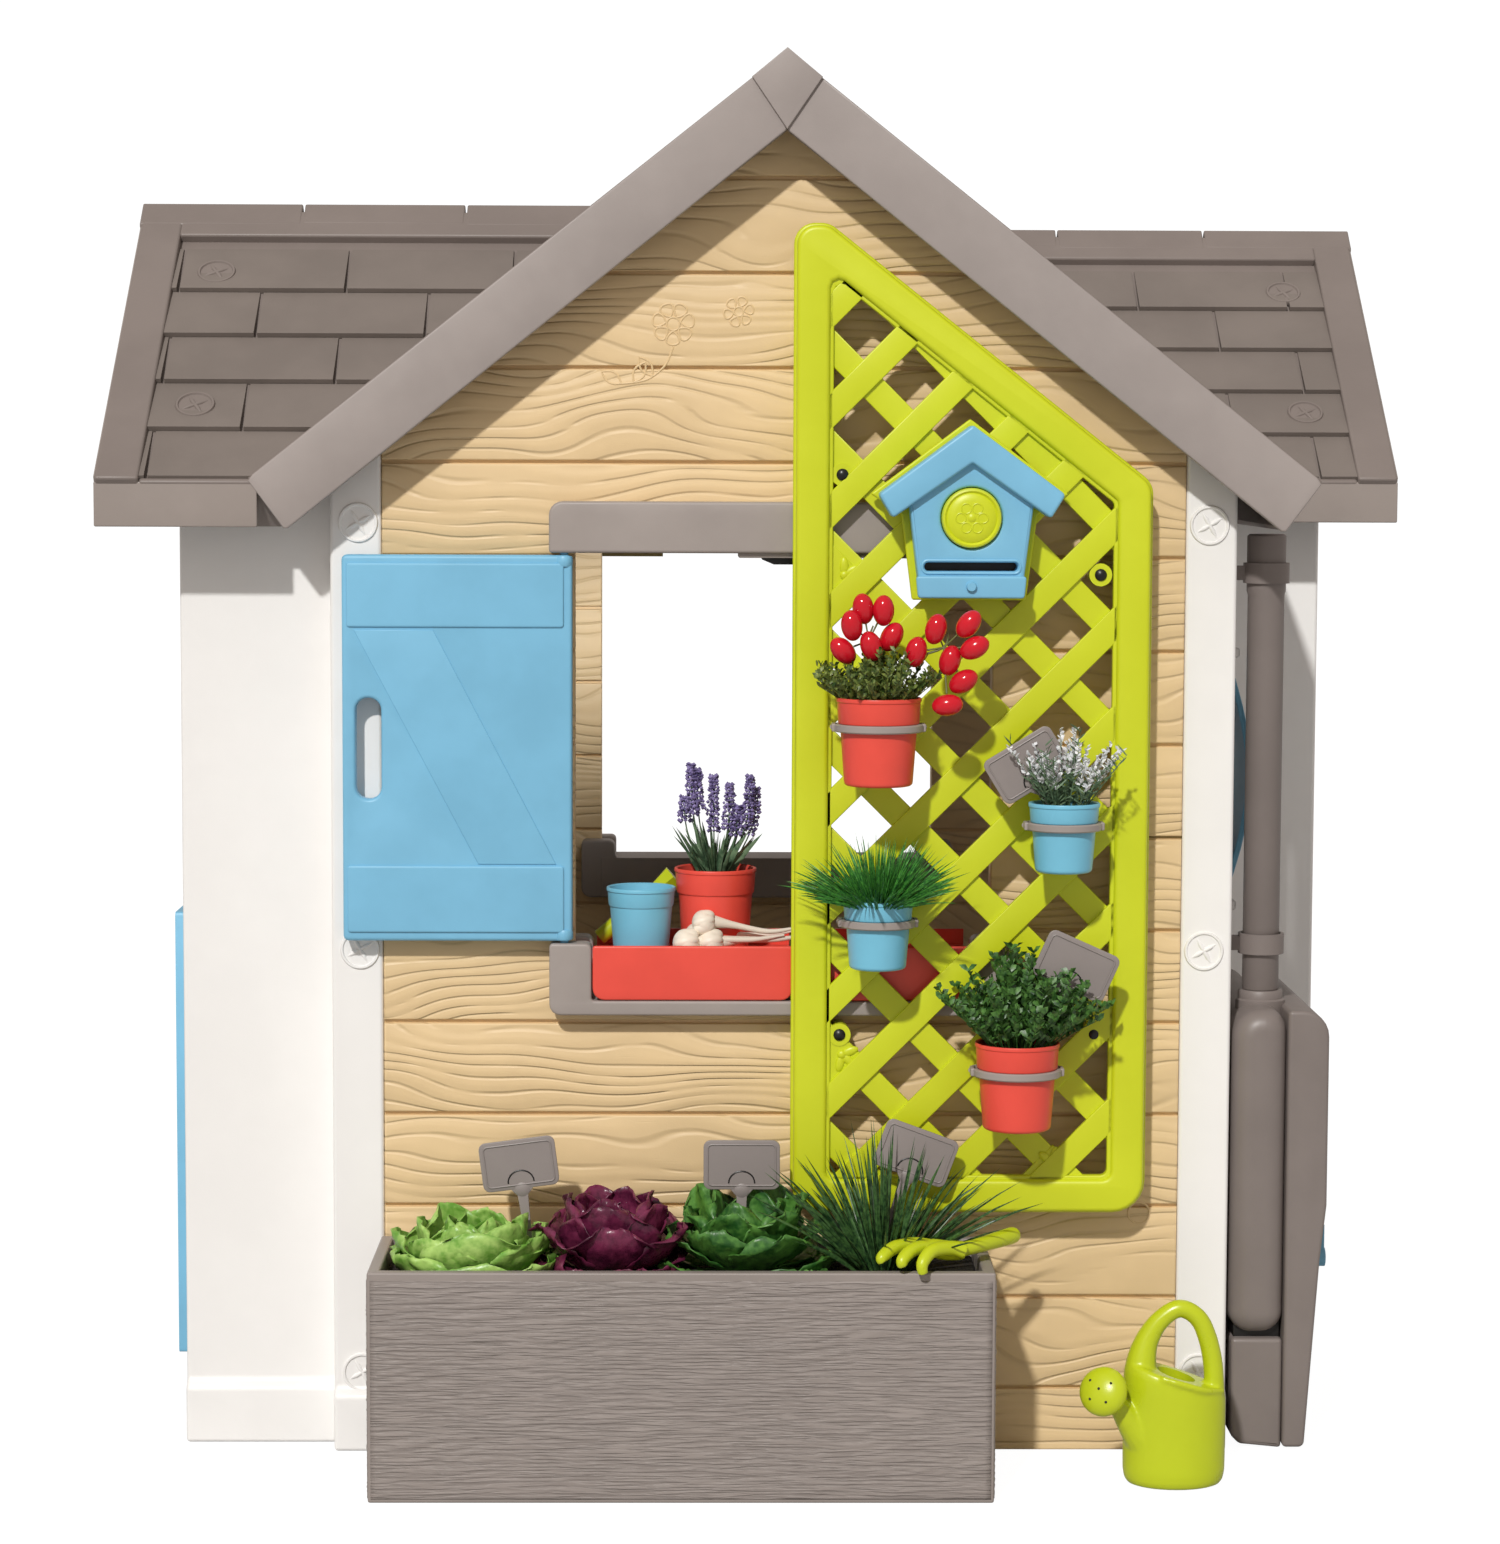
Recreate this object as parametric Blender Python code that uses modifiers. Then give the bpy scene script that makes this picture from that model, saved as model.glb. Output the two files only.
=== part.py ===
# Plastic playhouse for children, with planter, trellis, water tank and garden toys.
# Metres, +Z up. In the house frame Y = 0 is the outer face of the front wall, +Y runs
# towards the back and X = 0 is the middle. Both halves of the cabin are the same shape,
# turned half a turn about the vertical line through its centre.
import math

import bmesh
import bpy
from mathutils import Vector

CLEARANCE = 0.0003  # gap kept between pieces that touch
BURY = 0.0015  # how far a joined shape reaches into its base
STEP = 0.0005  # keeps the faces of joined shapes out of one plane

# Cabin
HOUSE_DEPTH = 1.0
CABIN_HALF_WIDTH = 0.44
WALL = 0.03
POST_WIDTH = 0.05
WING_REACH = 0.15  # how far a wing stands out from the cabin's side
WING_DEPTH = 0.528
WING_SETBACK = 0.034
SKIRT_HEIGHT = 0.063
SKIRT_PROUD = 0.008

# Roof
ROOF_SLOPE = 0.79
EAVE_HEIGHT = 0.9495
EAVE_OVERHANG = 0.068
VERGE_OVERHANG = 0.05
WING_OVERHANG = 0.0685
OVERRUN = 0.008  # how far a roof panel is drawn past its seams before it is trimmed
ROOF_SKIN = 0.006
FASCIA_DEPTH = 0.05

# Window
WINDOW_WIDTH = 0.406
WINDOW_SILL = 0.478
WINDOW_HEAD = 0.886
FRAME_PROUD = 0.027  # how far the grey window pieces stand out of the wall
FRAME_LAP = 0.024  # how far they reach past the opening on each side
LINTEL_HEIGHT = 0.0495
LEDGE_SKIN = 0.0077
LEDGE_DROP = 0.041
LEDGE_BAND = 0.0145
LEDGE_HORN_WIDTH = 0.041
LEDGE_HORN_RISE = 0.029
INNER_LEDGE_DEPTH = 0.03

# Ledge trays
TRAY_SKIN = 0.003
TRAY_APRON_THICKNESS = 0.012
TRAY_LIP = 0.016
TRAY_REACH = 0.112
TRAY_SPLIT = 0.0118
TRAY_SPLIT_GAP = 0.0044

# Front shutter
SHUTTER_WIDTH = 0.222
SHUTTER_THICKNESS = 0.018
SHUTTER_STAND_OFF = 0.007
SHUTTER_PIN_INSET = 0.008
SHUTTER_PIN_RADIUS = 0.004
SHUTTER_PIN_LENGTH = 0.008
SHUTTER_END_GAP = 0.0022
SHUTTER_CORNER = 0.006
SHUTTER_PIN_ROOT = 0.01
SHUTTER_PIN_SHARE = 0.4  # of the frame's side strip, from the opening to the pin
FINGER_SLOT_INSET = 0.0255  # from the free edge to the slot's middle
HINGE_PLAY = 0.0006
FINGER_SLOT = (0.0245, 0.098)

# Side window with its bowed sliding shutter
SIDE_WINDOW_LENGTH = 0.2
SIDE_WINDOW_HEIGHT = 0.205
SIDE_WINDOW_SILL = 0.558
SIDE_WINDOW_SETBACK = 0.09  # from the corner post to the opening
SIDE_SHUTTER_LENGTH = 0.15
SIDE_SHUTTER_THICKNESS = 0.006
SIDE_SHUTTER_BOW = 0.024
SIDE_SHUTTER_LAP = 0.017
RAIL_DEPTH = 0.014
RAIL_HEIGHT = 0.01
RAIL_PLAY = 0.0015
RAIL_FRONT_END = 0.03
RAIL_REAR_END = 0.02
SIDE_SHUTTER_SETBACK = 0.04
SIDE_SHUTTER_STEPS = 10

# Wing gable openings
DOOR_WIDTH = 0.34
DOOR_HEAD = 0.86
WING_WINDOW_WIDTH = 0.3
WING_WINDOW_SILL = 0.5
WING_WINDOW_HEAD = 0.86

# Half door
HALF_DOOR_HEIGHT = 0.45
HALF_DOOR_THICKNESS = 0.018
HALF_DOOR_LAP = 0.015
HALF_DOOR_RISE = 0.007
KNUCKLE_RADIUS = 0.009
HINGE_ROD_RADIUS = 0.004
HINGE_ARM = 0.012
HINGE_STAND_OFF = 0.0005
HINGE_REACH = 0.03  # of an arm, past the rod
HINGE_GAP = 0.001  # between the knuckle and an arm
KNUCKLE_PAST_OPENING = 0.003
DOOR_GRIP = (0.024, 0.08)
DOOR_GRIP_SETBACK = 0.04
DOOR_GRIP_DROP = 0.05

# Trellis
TRELLIS_LEFT = 0.0102
TRELLIS_WIDTH = 0.3405
TRELLIS_BOTTOM = 0.248
TRELLIS_TALL = 0.9505
TRELLIS_SHORT = 0.706
TRELLIS_PEAK_CUT = 0.0237  # height cut off the sharp top corner
TRELLIS_BAR = 0.032
TRELLIS_FACE = 0.048  # distance of its front face from the wall
TRELLIS_THICKNESS = 0.016
TRELLIS_CORNER = 0.03
TRELLIS_TOP_CORNER = 0.012
SLAT_WIDTH = 0.0255
SLAT_PITCH = 0.0675
LATTICE_INSET = 0.004
LATTICE_THICKNESS = 0.009
SMALLEST_GAP = 0.006
BOSS_RADIUS = 0.009

# Bird-box door bell
BELL_X = 0.1755
BELL_BODY_BOTTOM = 0.849
BELL_BODY_TOP = 0.945
BELL_BODY_TOP_WIDTH = 0.118
BELL_BODY_BOTTOM_WIDTH = 0.097
BELL_APEX = 1.0096
BELL_ROOF_HALF_WIDTH = 0.0885
BELL_ROOF_THICKNESS = 0.026
BELL_DEPTH = 0.028
BELL_ROOF_DEPTH = 0.037
BELL_PLATE = 0.008
BELL_BUTTON_HEIGHT = 0.9218
BELL_BUTTON_RADIUS = 0.0285
BELL_BUTTON_PLAY = 0.0008
BELL_BUTTON_DEPTH = 0.02
BELL_BUTTON_PROUD = 0.005
LETTER_SLOT = (0.0886, 0.0082)
LETTER_SLOT_HEIGHT = 0.8756

# Pots: top radius, bottom radius, height, collar height
LARGE_POT = (0.0407, 0.0327, 0.0838, 0.0245)
SMALL_POT = (0.0342, 0.0272, 0.0665, 0.0185)
POT_WALL = 0.002
CLIP_HEIGHT = 0.0075
CLIP_BAND = 0.003
CLIP_PLAY = 0.0006
CLIP_PLATE = 0.003
CLIP_FOOT = (0.03, 0.02)
CLIP_ARM_HALF_WIDTH = 0.008
CLIP_STAND_OFF = 0.005  # from the foot to the band
POT_COLLAR_TAPER = 0.0015
TRELLIS_POTS = (
    ("trellis_pot_upper_left", LARGE_POT, 0.088, 0.7525),
    ("trellis_pot_right", SMALL_POT, 0.2653, 0.6526),
    ("trellis_pot_middle_left", SMALL_POT, 0.0888, 0.5596),
    ("trellis_pot_lower_right", LARGE_POT, 0.2223, 0.4236),
)
LEDGE_BLUE_POT_X = -0.1389
LEDGE_RED_POT_X = -0.0657
LEDGE_BLUE_POT_IN = 0.0375  # from the front wall's outer face to the pot's axis
LEDGE_RED_POT_IN = 0.055

# Planter
PLANTER_LEFT = -0.391
PLANTER_LENGTH = 0.588
PLANTER_DEPTH = 0.167
PLANTER_HEIGHT = 0.2195
PLANTER_GAP = 0.024
PLANTER_WALL = 0.012
INSERT_DROP = 0.016
INSERT_WALL = 0.003

# Plant labels
LABEL_SIZE = (0.0735, 0.048)
LABEL_THICKNESS = 0.003
LABEL_CORNER = 0.007
STAKE_WIDTH = 0.011

# Water tank and downpipe
TANK_GAP = 0.012  # between the side wall and the tank
TANK_WIDTH = 0.086
TANK_LENGTH = 0.335
TANK_HEIGHT = 0.4395
TANK_FRONT = -0.005
TANK_CORNER = 0.045
TANK_FOOT_HEIGHT = 0.115
TANK_FOOT_INSET = 0.015
TANK_LUG = 0.03
TANK_LUG_LOW = 0.06  # above the foot
TANK_LUG_HIGH = 0.12  # below the top
TANK_FOOT_SETBACK = 0.012
TANK_FOOT_LAP = 0.03
COLLAR_ROOT = 0.012
COLLAR_HEIGHT = 0.012
COLLAR_RADIUS = 0.0215
PIPE_RADIUS = 0.0193
PIPE_SET_BACK = 0.065  # from the front wall's face to the pipe's axis
PIPE_FROM_WALL = 0.038
PIPE_TOP_GAP = 0.006
PIPE_CLIP_HEIGHT = 0.02
PIPE_CLIP_BAND = 0.003
PIPE_CLIP_ARM_HALF_WIDTH = 0.006
PIPE_CLIP_HEIGHTS = (("pipe_clip_upper", 0.866), ("pipe_clip_lower", 0.498))
TAP_HEIGHT = 0.16
TAP_SET_BACK = 0.16
TAP_RADIUS = 0.011
TAP_LENGTH = 0.016
TAP_NOZZLE_DROP = 0.032
TAP_LEVER = (0.008, 0.014, 0.034)

# Watering can
CAN_X = 0.3745
CAN_SET_FORWARD = 0.118  # from the front wall's face to the can's axis
CAN_WIDTH = 0.098
CAN_DEPTH = 0.07
CAN_BODY_HEIGHT = 0.112
CAN_WALL = 0.003
CAN_HANDLE_RADIUS = 0.0095
CAN_HANDLE_TOP = 0.181
CAN_LOOP_RADIUS = 0.029
CAN_LOOP_SHIFT = 0.006  # from the body's axis to the loop's middle
# From the middle of the floor inside, over the open top and down: shares of the half width and of the height.
CAN_PROFILE = ((0.95, 0.5), (0.74, 0.96), (0.66, 1.0), (0.75, 1.0), (0.84, 0.95), (1.0, 0.78))
CAN_ROUND = 0.006
CAN_FLOOR_SHARE = 0.88
CAN_BASE_SHARE = 0.94
SPOUT_ROOT = (0.8, -0.004, 0.42)  # share of the half width, forward shift, share of the height
SPOUT_NECK = (0.012, -0.02, 0.88)  # beyond the half width, forward shift, share of the height
ROSE_CENTRE = (0.0235, -0.034, 0.0055)  # beyond the half width, forward shift, above the body
ROSE_FACING = (-0.30, -0.90, 0.28)
SPOUT_RADIUS = 0.011
ROSE_RADIUS = 0.0245
ROSE_LENGTH = 0.016

# Hand rake and trowel
RAKE_HANDLE_RADIUS = 0.0095
RAKE_OVERHANG = 0.012
RAKE_TINE_RADIUS = 0.005
RAKE_TINE_PITCH = 0.023
RAKE_X = 0.122
RAKE_HEAD_SETBACK = 0.014
RAKE_HEAD_HEIGHT = 0.014
RAKE_HEAD_FRONT = 0.006
RAKE_HEAD_BACK = 0.012
RAKE_TINE_DROP = 0.8  # height of a tine's bend as a share of its reach
RAKE_HANDLE_ROUTE = ((0.01, 0.006, 0), (0.045, 0.03, 0.001))  # from the head's middle
RAKE_HANDLE_END = (0.027, 0.075, 0.008)  # beyond the planter's right side, then from the head
TROWEL_RADIUS = 0.008
TROWEL_BLADE = (0.03, 0.036)
TROWEL_HANDLE = 0.07
TROWEL_LAP = 0.004
TROWEL_INSET = 0.022  # from the window's left side
TROWEL_IN = 0.086  # from the front wall's face
TROWEL_WAY = (0.74, 0.02, 0.62)

COLOURS = {
    "beige": (0.735, 0.550, 0.305),
    "white": (0.86, 0.85, 0.84),
    "stone": (0.80, 0.78, 0.75),
    "roof_grey": (0.180, 0.150, 0.136),
    "frame_grey": (0.350, 0.310, 0.280),
    "tank_grey": (0.222, 0.191, 0.181),
    "sky_blue": (0.209, 0.485, 0.680),
    "lime": (0.617, 0.638, 0.022),
    "red": (0.768, 0.100, 0.073),
    "planter_grey": (0.270, 0.235, 0.216),
    "soil_black": (0.020, 0.016, 0.012),
}


def clear_scene():
    for item in list(bpy.data.objects):
        bpy.data.objects.remove(item, do_unlink=True)


def new_collection(name):
    collection = bpy.data.collections.new(name)
    bpy.context.scene.collection.children.link(collection)
    return collection


def make_material(name, colour):
    material = bpy.data.materials.new(name)
    material.use_nodes = True
    shader = material.node_tree.nodes["Principled BSDF"]
    shader.inputs["Base Color"].default_value = (*colour, 1.0)
    shader.inputs["Roughness"].default_value = 0.45
    shader.inputs["Metallic"].default_value = 0.0
    return material


clear_scene()
playhouse = new_collection("playhouse")
cutters = new_collection("cutters")
materials = {name: make_material(name, colour) for name, colour in COLOURS.items()}


def add_object(name, data, finish, parent, collection=None):
    piece = bpy.data.objects.new(name, data)
    (collection or playhouse).objects.link(piece)
    data.materials.append(materials[finish])
    piece.parent = parent
    return piece


def empty(name, location, turn, parent=None):
    helper = bpy.data.objects.new(name, None)
    playhouse.objects.link(helper)
    helper.location = location
    helper.rotation_euler = (0, 0, turn)
    helper.parent = parent
    return helper


def mesh_from(name, shape, finish, parent):
    """Turns a bmesh into an object."""
    bmesh.ops.recalc_face_normals(shape, faces=shape.faces)
    data = bpy.data.meshes.new(name)
    shape.to_mesh(data)
    shape.free()
    return add_object(name, data, finish, parent)


def box(name, low, high, finish, parent):
    shape = bmesh.new()
    bmesh.ops.create_cube(shape, size=1)
    low, high = Vector(low), Vector(high)
    bmesh.ops.scale(shape, vec=high - low, verts=shape.verts)
    bmesh.ops.translate(shape, vec=(low + high) / 2, verts=shape.verts)
    return mesh_from(name, shape, finish, parent)


def rod(name, start, end, radius, finish, parent, sides=16, end_radius=None):
    """A straight round bar between two points, or a cone when end_radius is given."""
    start, end = Vector(start), Vector(end)
    shape = bmesh.new()
    bmesh.ops.create_cone(
        shape, cap_ends=True, segments=sides, radius1=radius,
        radius2=radius if end_radius is None else end_radius, depth=(end - start).length,
    )
    turn = Vector((0, 0, 1)).rotation_difference(end - start)
    bmesh.ops.rotate(shape, cent=(0, 0, 0), matrix=turn.to_matrix(), verts=shape.verts)
    bmesh.ops.translate(shape, vec=(start + end) / 2, verts=shape.verts)
    return mesh_from(name, shape, finish, parent)


PLANE_TURNS = {
    "front": ((math.pi / 2, 0, 0), Vector((0, 1, 0))),
    "side": ((math.pi / 2, 0, math.pi / 2), Vector((1, 0, 0))),
    "flat": ((0, 0, 0), Vector((0, 0, 1))),
}


def plate(name, loops, plane, near, far, finish, parent):
    """A flat outline with holes. The first loop is the outline and the others are holes."""
    turn, normal = PLANE_TURNS[plane]
    outline = bpy.data.curves.new(name, "CURVE")
    outline.dimensions = "2D"
    outline.fill_mode = "BOTH"
    outline.extrude = (far - near) / 2
    for loop in loops:
        spline = outline.splines.new("POLY")
        spline.points.add(len(loop) - 1)
        for point, (across, up) in zip(spline.points, loop):
            point.co = (across, up, 0, 1)
        spline.use_cyclic_u = True
    piece = add_object(name, outline, finish, parent)
    piece.rotation_euler = turn
    piece.location = normal * (near + far) / 2
    return piece


def tube(name, points, radius, finish, parent, rings=2):
    """A round bar along a smooth route."""
    path = bpy.data.curves.new(name, "CURVE")
    path.dimensions = "3D"
    path.bevel_depth = radius
    path.bevel_resolution = rings
    path.use_fill_caps = True
    spline = path.splines.new("POLY")
    spline.points.add(len(points) - 1)
    for point, place in zip(spline.points, points):
        point.co = (*place, 1)
    return add_object(name, path, finish, parent)


def turned(name, profile, place, finish, parent, steps=20):
    """A turned shape. The profile (radius, height) runs up the inside and down the outside."""
    data = bpy.data.meshes.new(name)
    edges = [(i, i + 1) for i in range(len(profile) - 1)]
    if profile[0][0] > 0:
        edges.append((len(profile) - 1, 0))
    data.from_pydata([(radius, 0, height) for radius, height in profile], edges, [])
    piece = add_object(name, data, finish, parent)
    piece.location = place
    screw = piece.modifiers.new("turn", "SCREW")
    screw.axis = "Z"
    screw.steps = steps
    screw.render_steps = steps
    screw.use_merge_vertices = True
    screw.merge_threshold = 0.00005
    return piece


def as_mesh(piece):
    """Replaces a curve, or an object with modifiers, by its own mesh."""
    bpy.context.view_layer.update()
    evaluated = piece.evaluated_get(bpy.context.evaluated_depsgraph_get())
    data = bpy.data.meshes.new_from_object(evaluated)
    data.transform(piece.matrix_local)
    shape = bmesh.new()
    shape.from_mesh(data)
    bmesh.ops.remove_doubles(shape, verts=shape.verts, dist=0.00001)
    shape.to_mesh(data)
    shape.free()
    name, parent = piece.name, piece.parent
    bpy.data.objects.remove(piece, do_unlink=True)
    solid = bpy.data.objects.new(name, data)
    playhouse.objects.link(solid)
    solid.parent = parent
    return solid


def combine(base, tools, operation):
    """Joins tools to the base, or cuts them from it. The tools become hidden cutters."""
    base = as_mesh(base)
    for tool in tools:
        tool = as_mesh(tool)
        playhouse.objects.unlink(tool)
        cutters.objects.link(tool)
        tool.hide_render = True
        tool.display_type = "WIRE"
        change = base.modifiers.new(tool.name, "BOOLEAN")
        change.operation = operation
        change.object = tool
    return base


def join(base, *tools):
    return combine(base, tools, "UNION")


def cut(base, *tools):
    return combine(base, tools, "DIFFERENCE")


def rectangle(left, right, bottom, top):
    return [(left, bottom), (right, bottom), (right, top), (left, top)]


def rounded(corners, radii, steps=4):
    """An outline with each corner rounded by an arc: one radius for all, or a list."""
    points = []
    count = len(corners)
    if not isinstance(radii, list):
        radii = [radii] * count
    for index, (corner, radius) in enumerate(zip(corners, radii)):
        here = Vector(corner)
        before = (Vector(corners[index - 1]) - here).normalized()
        after = (Vector(corners[(index + 1) % count]) - here).normalized()
        half = before.angle(after) / 2
        centre = here + (before + after).normalized() * (radius / math.sin(half))
        start = here + before * (radius / math.tan(half)) - centre
        end = here + after * (radius / math.tan(half)) - centre
        sweep = start.angle_signed(end)
        for step in range(steps + 1):
            turn = -sweep * step / steps
            points.append((
                centre.x + start.x * math.cos(turn) - start.y * math.sin(turn),
                centre.y + start.x * math.sin(turn) + start.y * math.cos(turn),
            ))
    return points


# ---- places that follow from the driving dimensions ----
steep = math.sqrt(1 + ROOF_SLOPE**2)
fascia_in = FASCIA_DEPTH * ROOF_SLOPE / steep
fascia_down = FASCIA_DEPTH / steep
main_reach = CABIN_HALF_WIDTH + EAVE_OVERHANG
ridge_height = EAVE_HEIGHT + ROOF_SLOPE * main_reach
wing_middle = WING_SETBACK + WING_DEPTH / 2
wing_run = wing_middle + VERGE_OVERHANG
wing_ridge_height = EAVE_HEIGHT + ROOF_SLOPE * wing_run
wing_back = WING_SETBACK + WING_DEPTH
wing_face = CABIN_HALF_WIDTH + WING_REACH
roof_end = wing_face + WING_OVERHANG
valley_start = (ridge_height - wing_ridge_height) / ROOF_SLOPE
half_window = WINDOW_WIDTH / 2
frame_half = half_window + FRAME_LAP
ledge_top = WINDOW_SILL + CLEARANCE + LEDGE_SKIN
tray_floor = ledge_top + CLEARANCE + TRAY_SKIN
wall_inside = CABIN_HALF_WIDTH - POST_WIDTH - CLEARANCE
nook_start = POST_WIDTH + CLEARANCE


def under_main_roof(x):
    return ridge_height - ROOF_SLOPE * abs(x) - (ROOF_SKIN + CLEARANCE) * steep


def under_wing_roof(y):
    return wing_ridge_height - ROOF_SLOPE * abs(y - wing_middle) - (ROOF_SKIN + CLEARANCE) * steep


# The datum puts the middle of the whole footprint at the origin.
front_reach = PLANTER_GAP + PLANTER_DEPTH + RAKE_OVERHANG
datum = empty("house_datum", (0, (front_reach - HOUSE_DEPTH - VERGE_OVERHANG) / 2, 0), 0)
rear = empty("rear_datum", (0, HOUSE_DEPTH, 0), math.pi, datum)


def gable_wall(name, parent):
    top = [(x, under_main_roof(x)) for x in (wall_inside, 0, -wall_inside)]
    outline = [(-wall_inside, 0), (wall_inside, 0), *top]
    window = rectangle(-half_window, half_window, WINDOW_SILL, WINDOW_HEAD)
    return plate(name, [outline, window], "front", 0, WALL, "beige", parent)


def corner_post(name, side, parent):
    """A square post with a foot that stands proud at the front."""
    top = under_main_roof(CABIN_HALF_WIDTH)
    section = [(-SKIRT_PROUD, 0), (POST_WIDTH, 0), (POST_WIDTH, top), (0, top),
               (0, SKIRT_HEIGHT), (-SKIRT_PROUD, SKIRT_HEIGHT - SKIRT_PROUD)]
    near, far = sorted((side * (CABIN_HALF_WIDTH - POST_WIDTH), side * CABIN_HALF_WIDTH))
    return plate(name, [section], "side", near, far, "white", parent)


def wing_front_panel(name, parent):
    """The wing's panel that faces the front, with a proud foot."""
    front = WING_SETBACK
    back = front + WALL
    section = [(front - SKIRT_PROUD, 0), (back, 0), (back, under_wing_roof(back)),
               (front, under_wing_roof(front)), (front, SKIRT_HEIGHT),
               (front - SKIRT_PROUD, SKIRT_HEIGHT - SKIRT_PROUD)]
    far = -CABIN_HALF_WIDTH - CLEARANCE
    return plate(name, [section], "side", -wing_face, far, "white", parent)


def wing_rear_panel(name, parent):
    back = wing_back
    front = back - WALL
    section = [(front, 0), (back + SKIRT_PROUD, 0), (back + SKIRT_PROUD, SKIRT_HEIGHT - SKIRT_PROUD),
               (back, SKIRT_HEIGHT), (back, under_wing_roof(back)), (front, under_wing_roof(front))]
    far = -CABIN_HALF_WIDTH - CLEARANCE
    return plate(name, [section], "side", -wing_face, far, "white", parent)


def wing_gable_wall(name, opening, parent):
    low = WING_SETBACK + WALL + CLEARANCE
    high = wing_back - WALL - CLEARANCE
    top = [(y, under_wing_roof(y)) for y in (high, wing_middle, low)]
    outline = [(low, 0), (high, 0), *top]
    return plate(name, [outline, opening], "side", -wing_face, -wing_face + WALL, "white", parent)


def side_wall(name, parent):
    """The wall beside the wing, with its small window and two rails for the bowed shutter."""
    low = wing_back - WALL
    high = HOUSE_DEPTH - nook_start
    outer = -CABIN_HALF_WIDTH
    window_end = high - SIDE_WINDOW_SETBACK
    opening = rectangle(window_end - SIDE_WINDOW_LENGTH, window_end,
                        SIDE_WINDOW_SILL, SIDE_WINDOW_SILL + SIDE_WINDOW_HEIGHT)
    outline = rectangle(low, high, 0, under_main_roof(outer))
    wall = plate(name, [outline, opening], "side", outer, outer + WALL, "stone", parent)
    lower = SIDE_WINDOW_SILL - SIDE_SHUTTER_LAP - RAIL_PLAY
    upper = SIDE_WINDOW_SILL + SIDE_WINDOW_HEIGHT + SIDE_SHUTTER_LAP + RAIL_PLAY
    rails = [
        box(f"{name}_rail_{end}", (outer - RAIL_DEPTH, wing_back + RAIL_FRONT_END, bottom),
            (outer + BURY, high - RAIL_REAR_END, bottom + RAIL_HEIGHT), "stone", parent)
        for end, bottom in (("low", lower - RAIL_HEIGHT), ("high", upper))
    ]
    return join(wall, *rails)


def side_shutter(name, parent):
    """A bowed board that slides between the two rails of the side wall."""
    low = SIDE_WINDOW_SILL - SIDE_SHUTTER_LAP
    high = SIDE_WINDOW_SILL + SIDE_WINDOW_HEIGHT + SIDE_SHUTTER_LAP
    face = -CABIN_HALF_WIDTH - CLEARANCE * 2
    outer = []
    for index in range(SIDE_SHUTTER_STEPS + 1):
        share = index / SIDE_SHUTTER_STEPS
        bulge = SIDE_SHUTTER_BOW * math.sin(math.pi * share)
        outer.append((face - SIDE_SHUTTER_THICKNESS - bulge, low + (high - low) * share))
    inner = [(across + SIDE_SHUTTER_THICKNESS, up) for across, up in reversed(outer)]
    start = HOUSE_DEPTH - nook_start - SIDE_SHUTTER_SETBACK
    return plate(name, [outer + inner], "front", start - SIDE_SHUTTER_LENGTH, start, "sky_blue", parent)


def roof_shell(name, corners, faces, parent):
    """An open shell of roof and fascia faces, given a skin on its inner side."""
    shape = bmesh.new()
    verts = {key: shape.verts.new(place) for key, place in corners.items()}
    for face in faces:
        shape.faces.new([verts[key] for key in face])
    bmesh.ops.recalc_face_normals(shape, faces=shape.faces)
    top = max(shape.faces, key=lambda face: face.calc_center_median().z)
    if top.normal.z < 0:
        bmesh.ops.reverse_faces(shape, faces=shape.faces)
    data = bpy.data.meshes.new(name)
    shape.to_mesh(data)
    shape.free()
    piece = add_object(name, data, "roof_grey", parent)
    skin = piece.modifiers.new("skin", "SOLIDIFY")
    skin.thickness = ROOF_SKIN
    skin.offset = -1
    skin.solidify_mode = "NON_MANIFOLD"
    skin.nonmanifold_thickness_mode = "CONSTRAINTS"
    return piece


def trim_roof(piece, low, high):
    """Cuts a roof panel off squarely at the ridge and at the middle of the wing."""
    far = 2.0
    past_ridge = box(f"{piece.name}_ridge_trim", (-CLEARANCE, -far, 0), (1, far, far),
                     "roof_grey", piece.parent)
    past_middle = box(f"{piece.name}_middle_trim", (-far, low, 0), (1.5, high, far),
                      "roof_grey", piece.parent)
    return cut(piece, past_ridge, past_middle)


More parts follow.
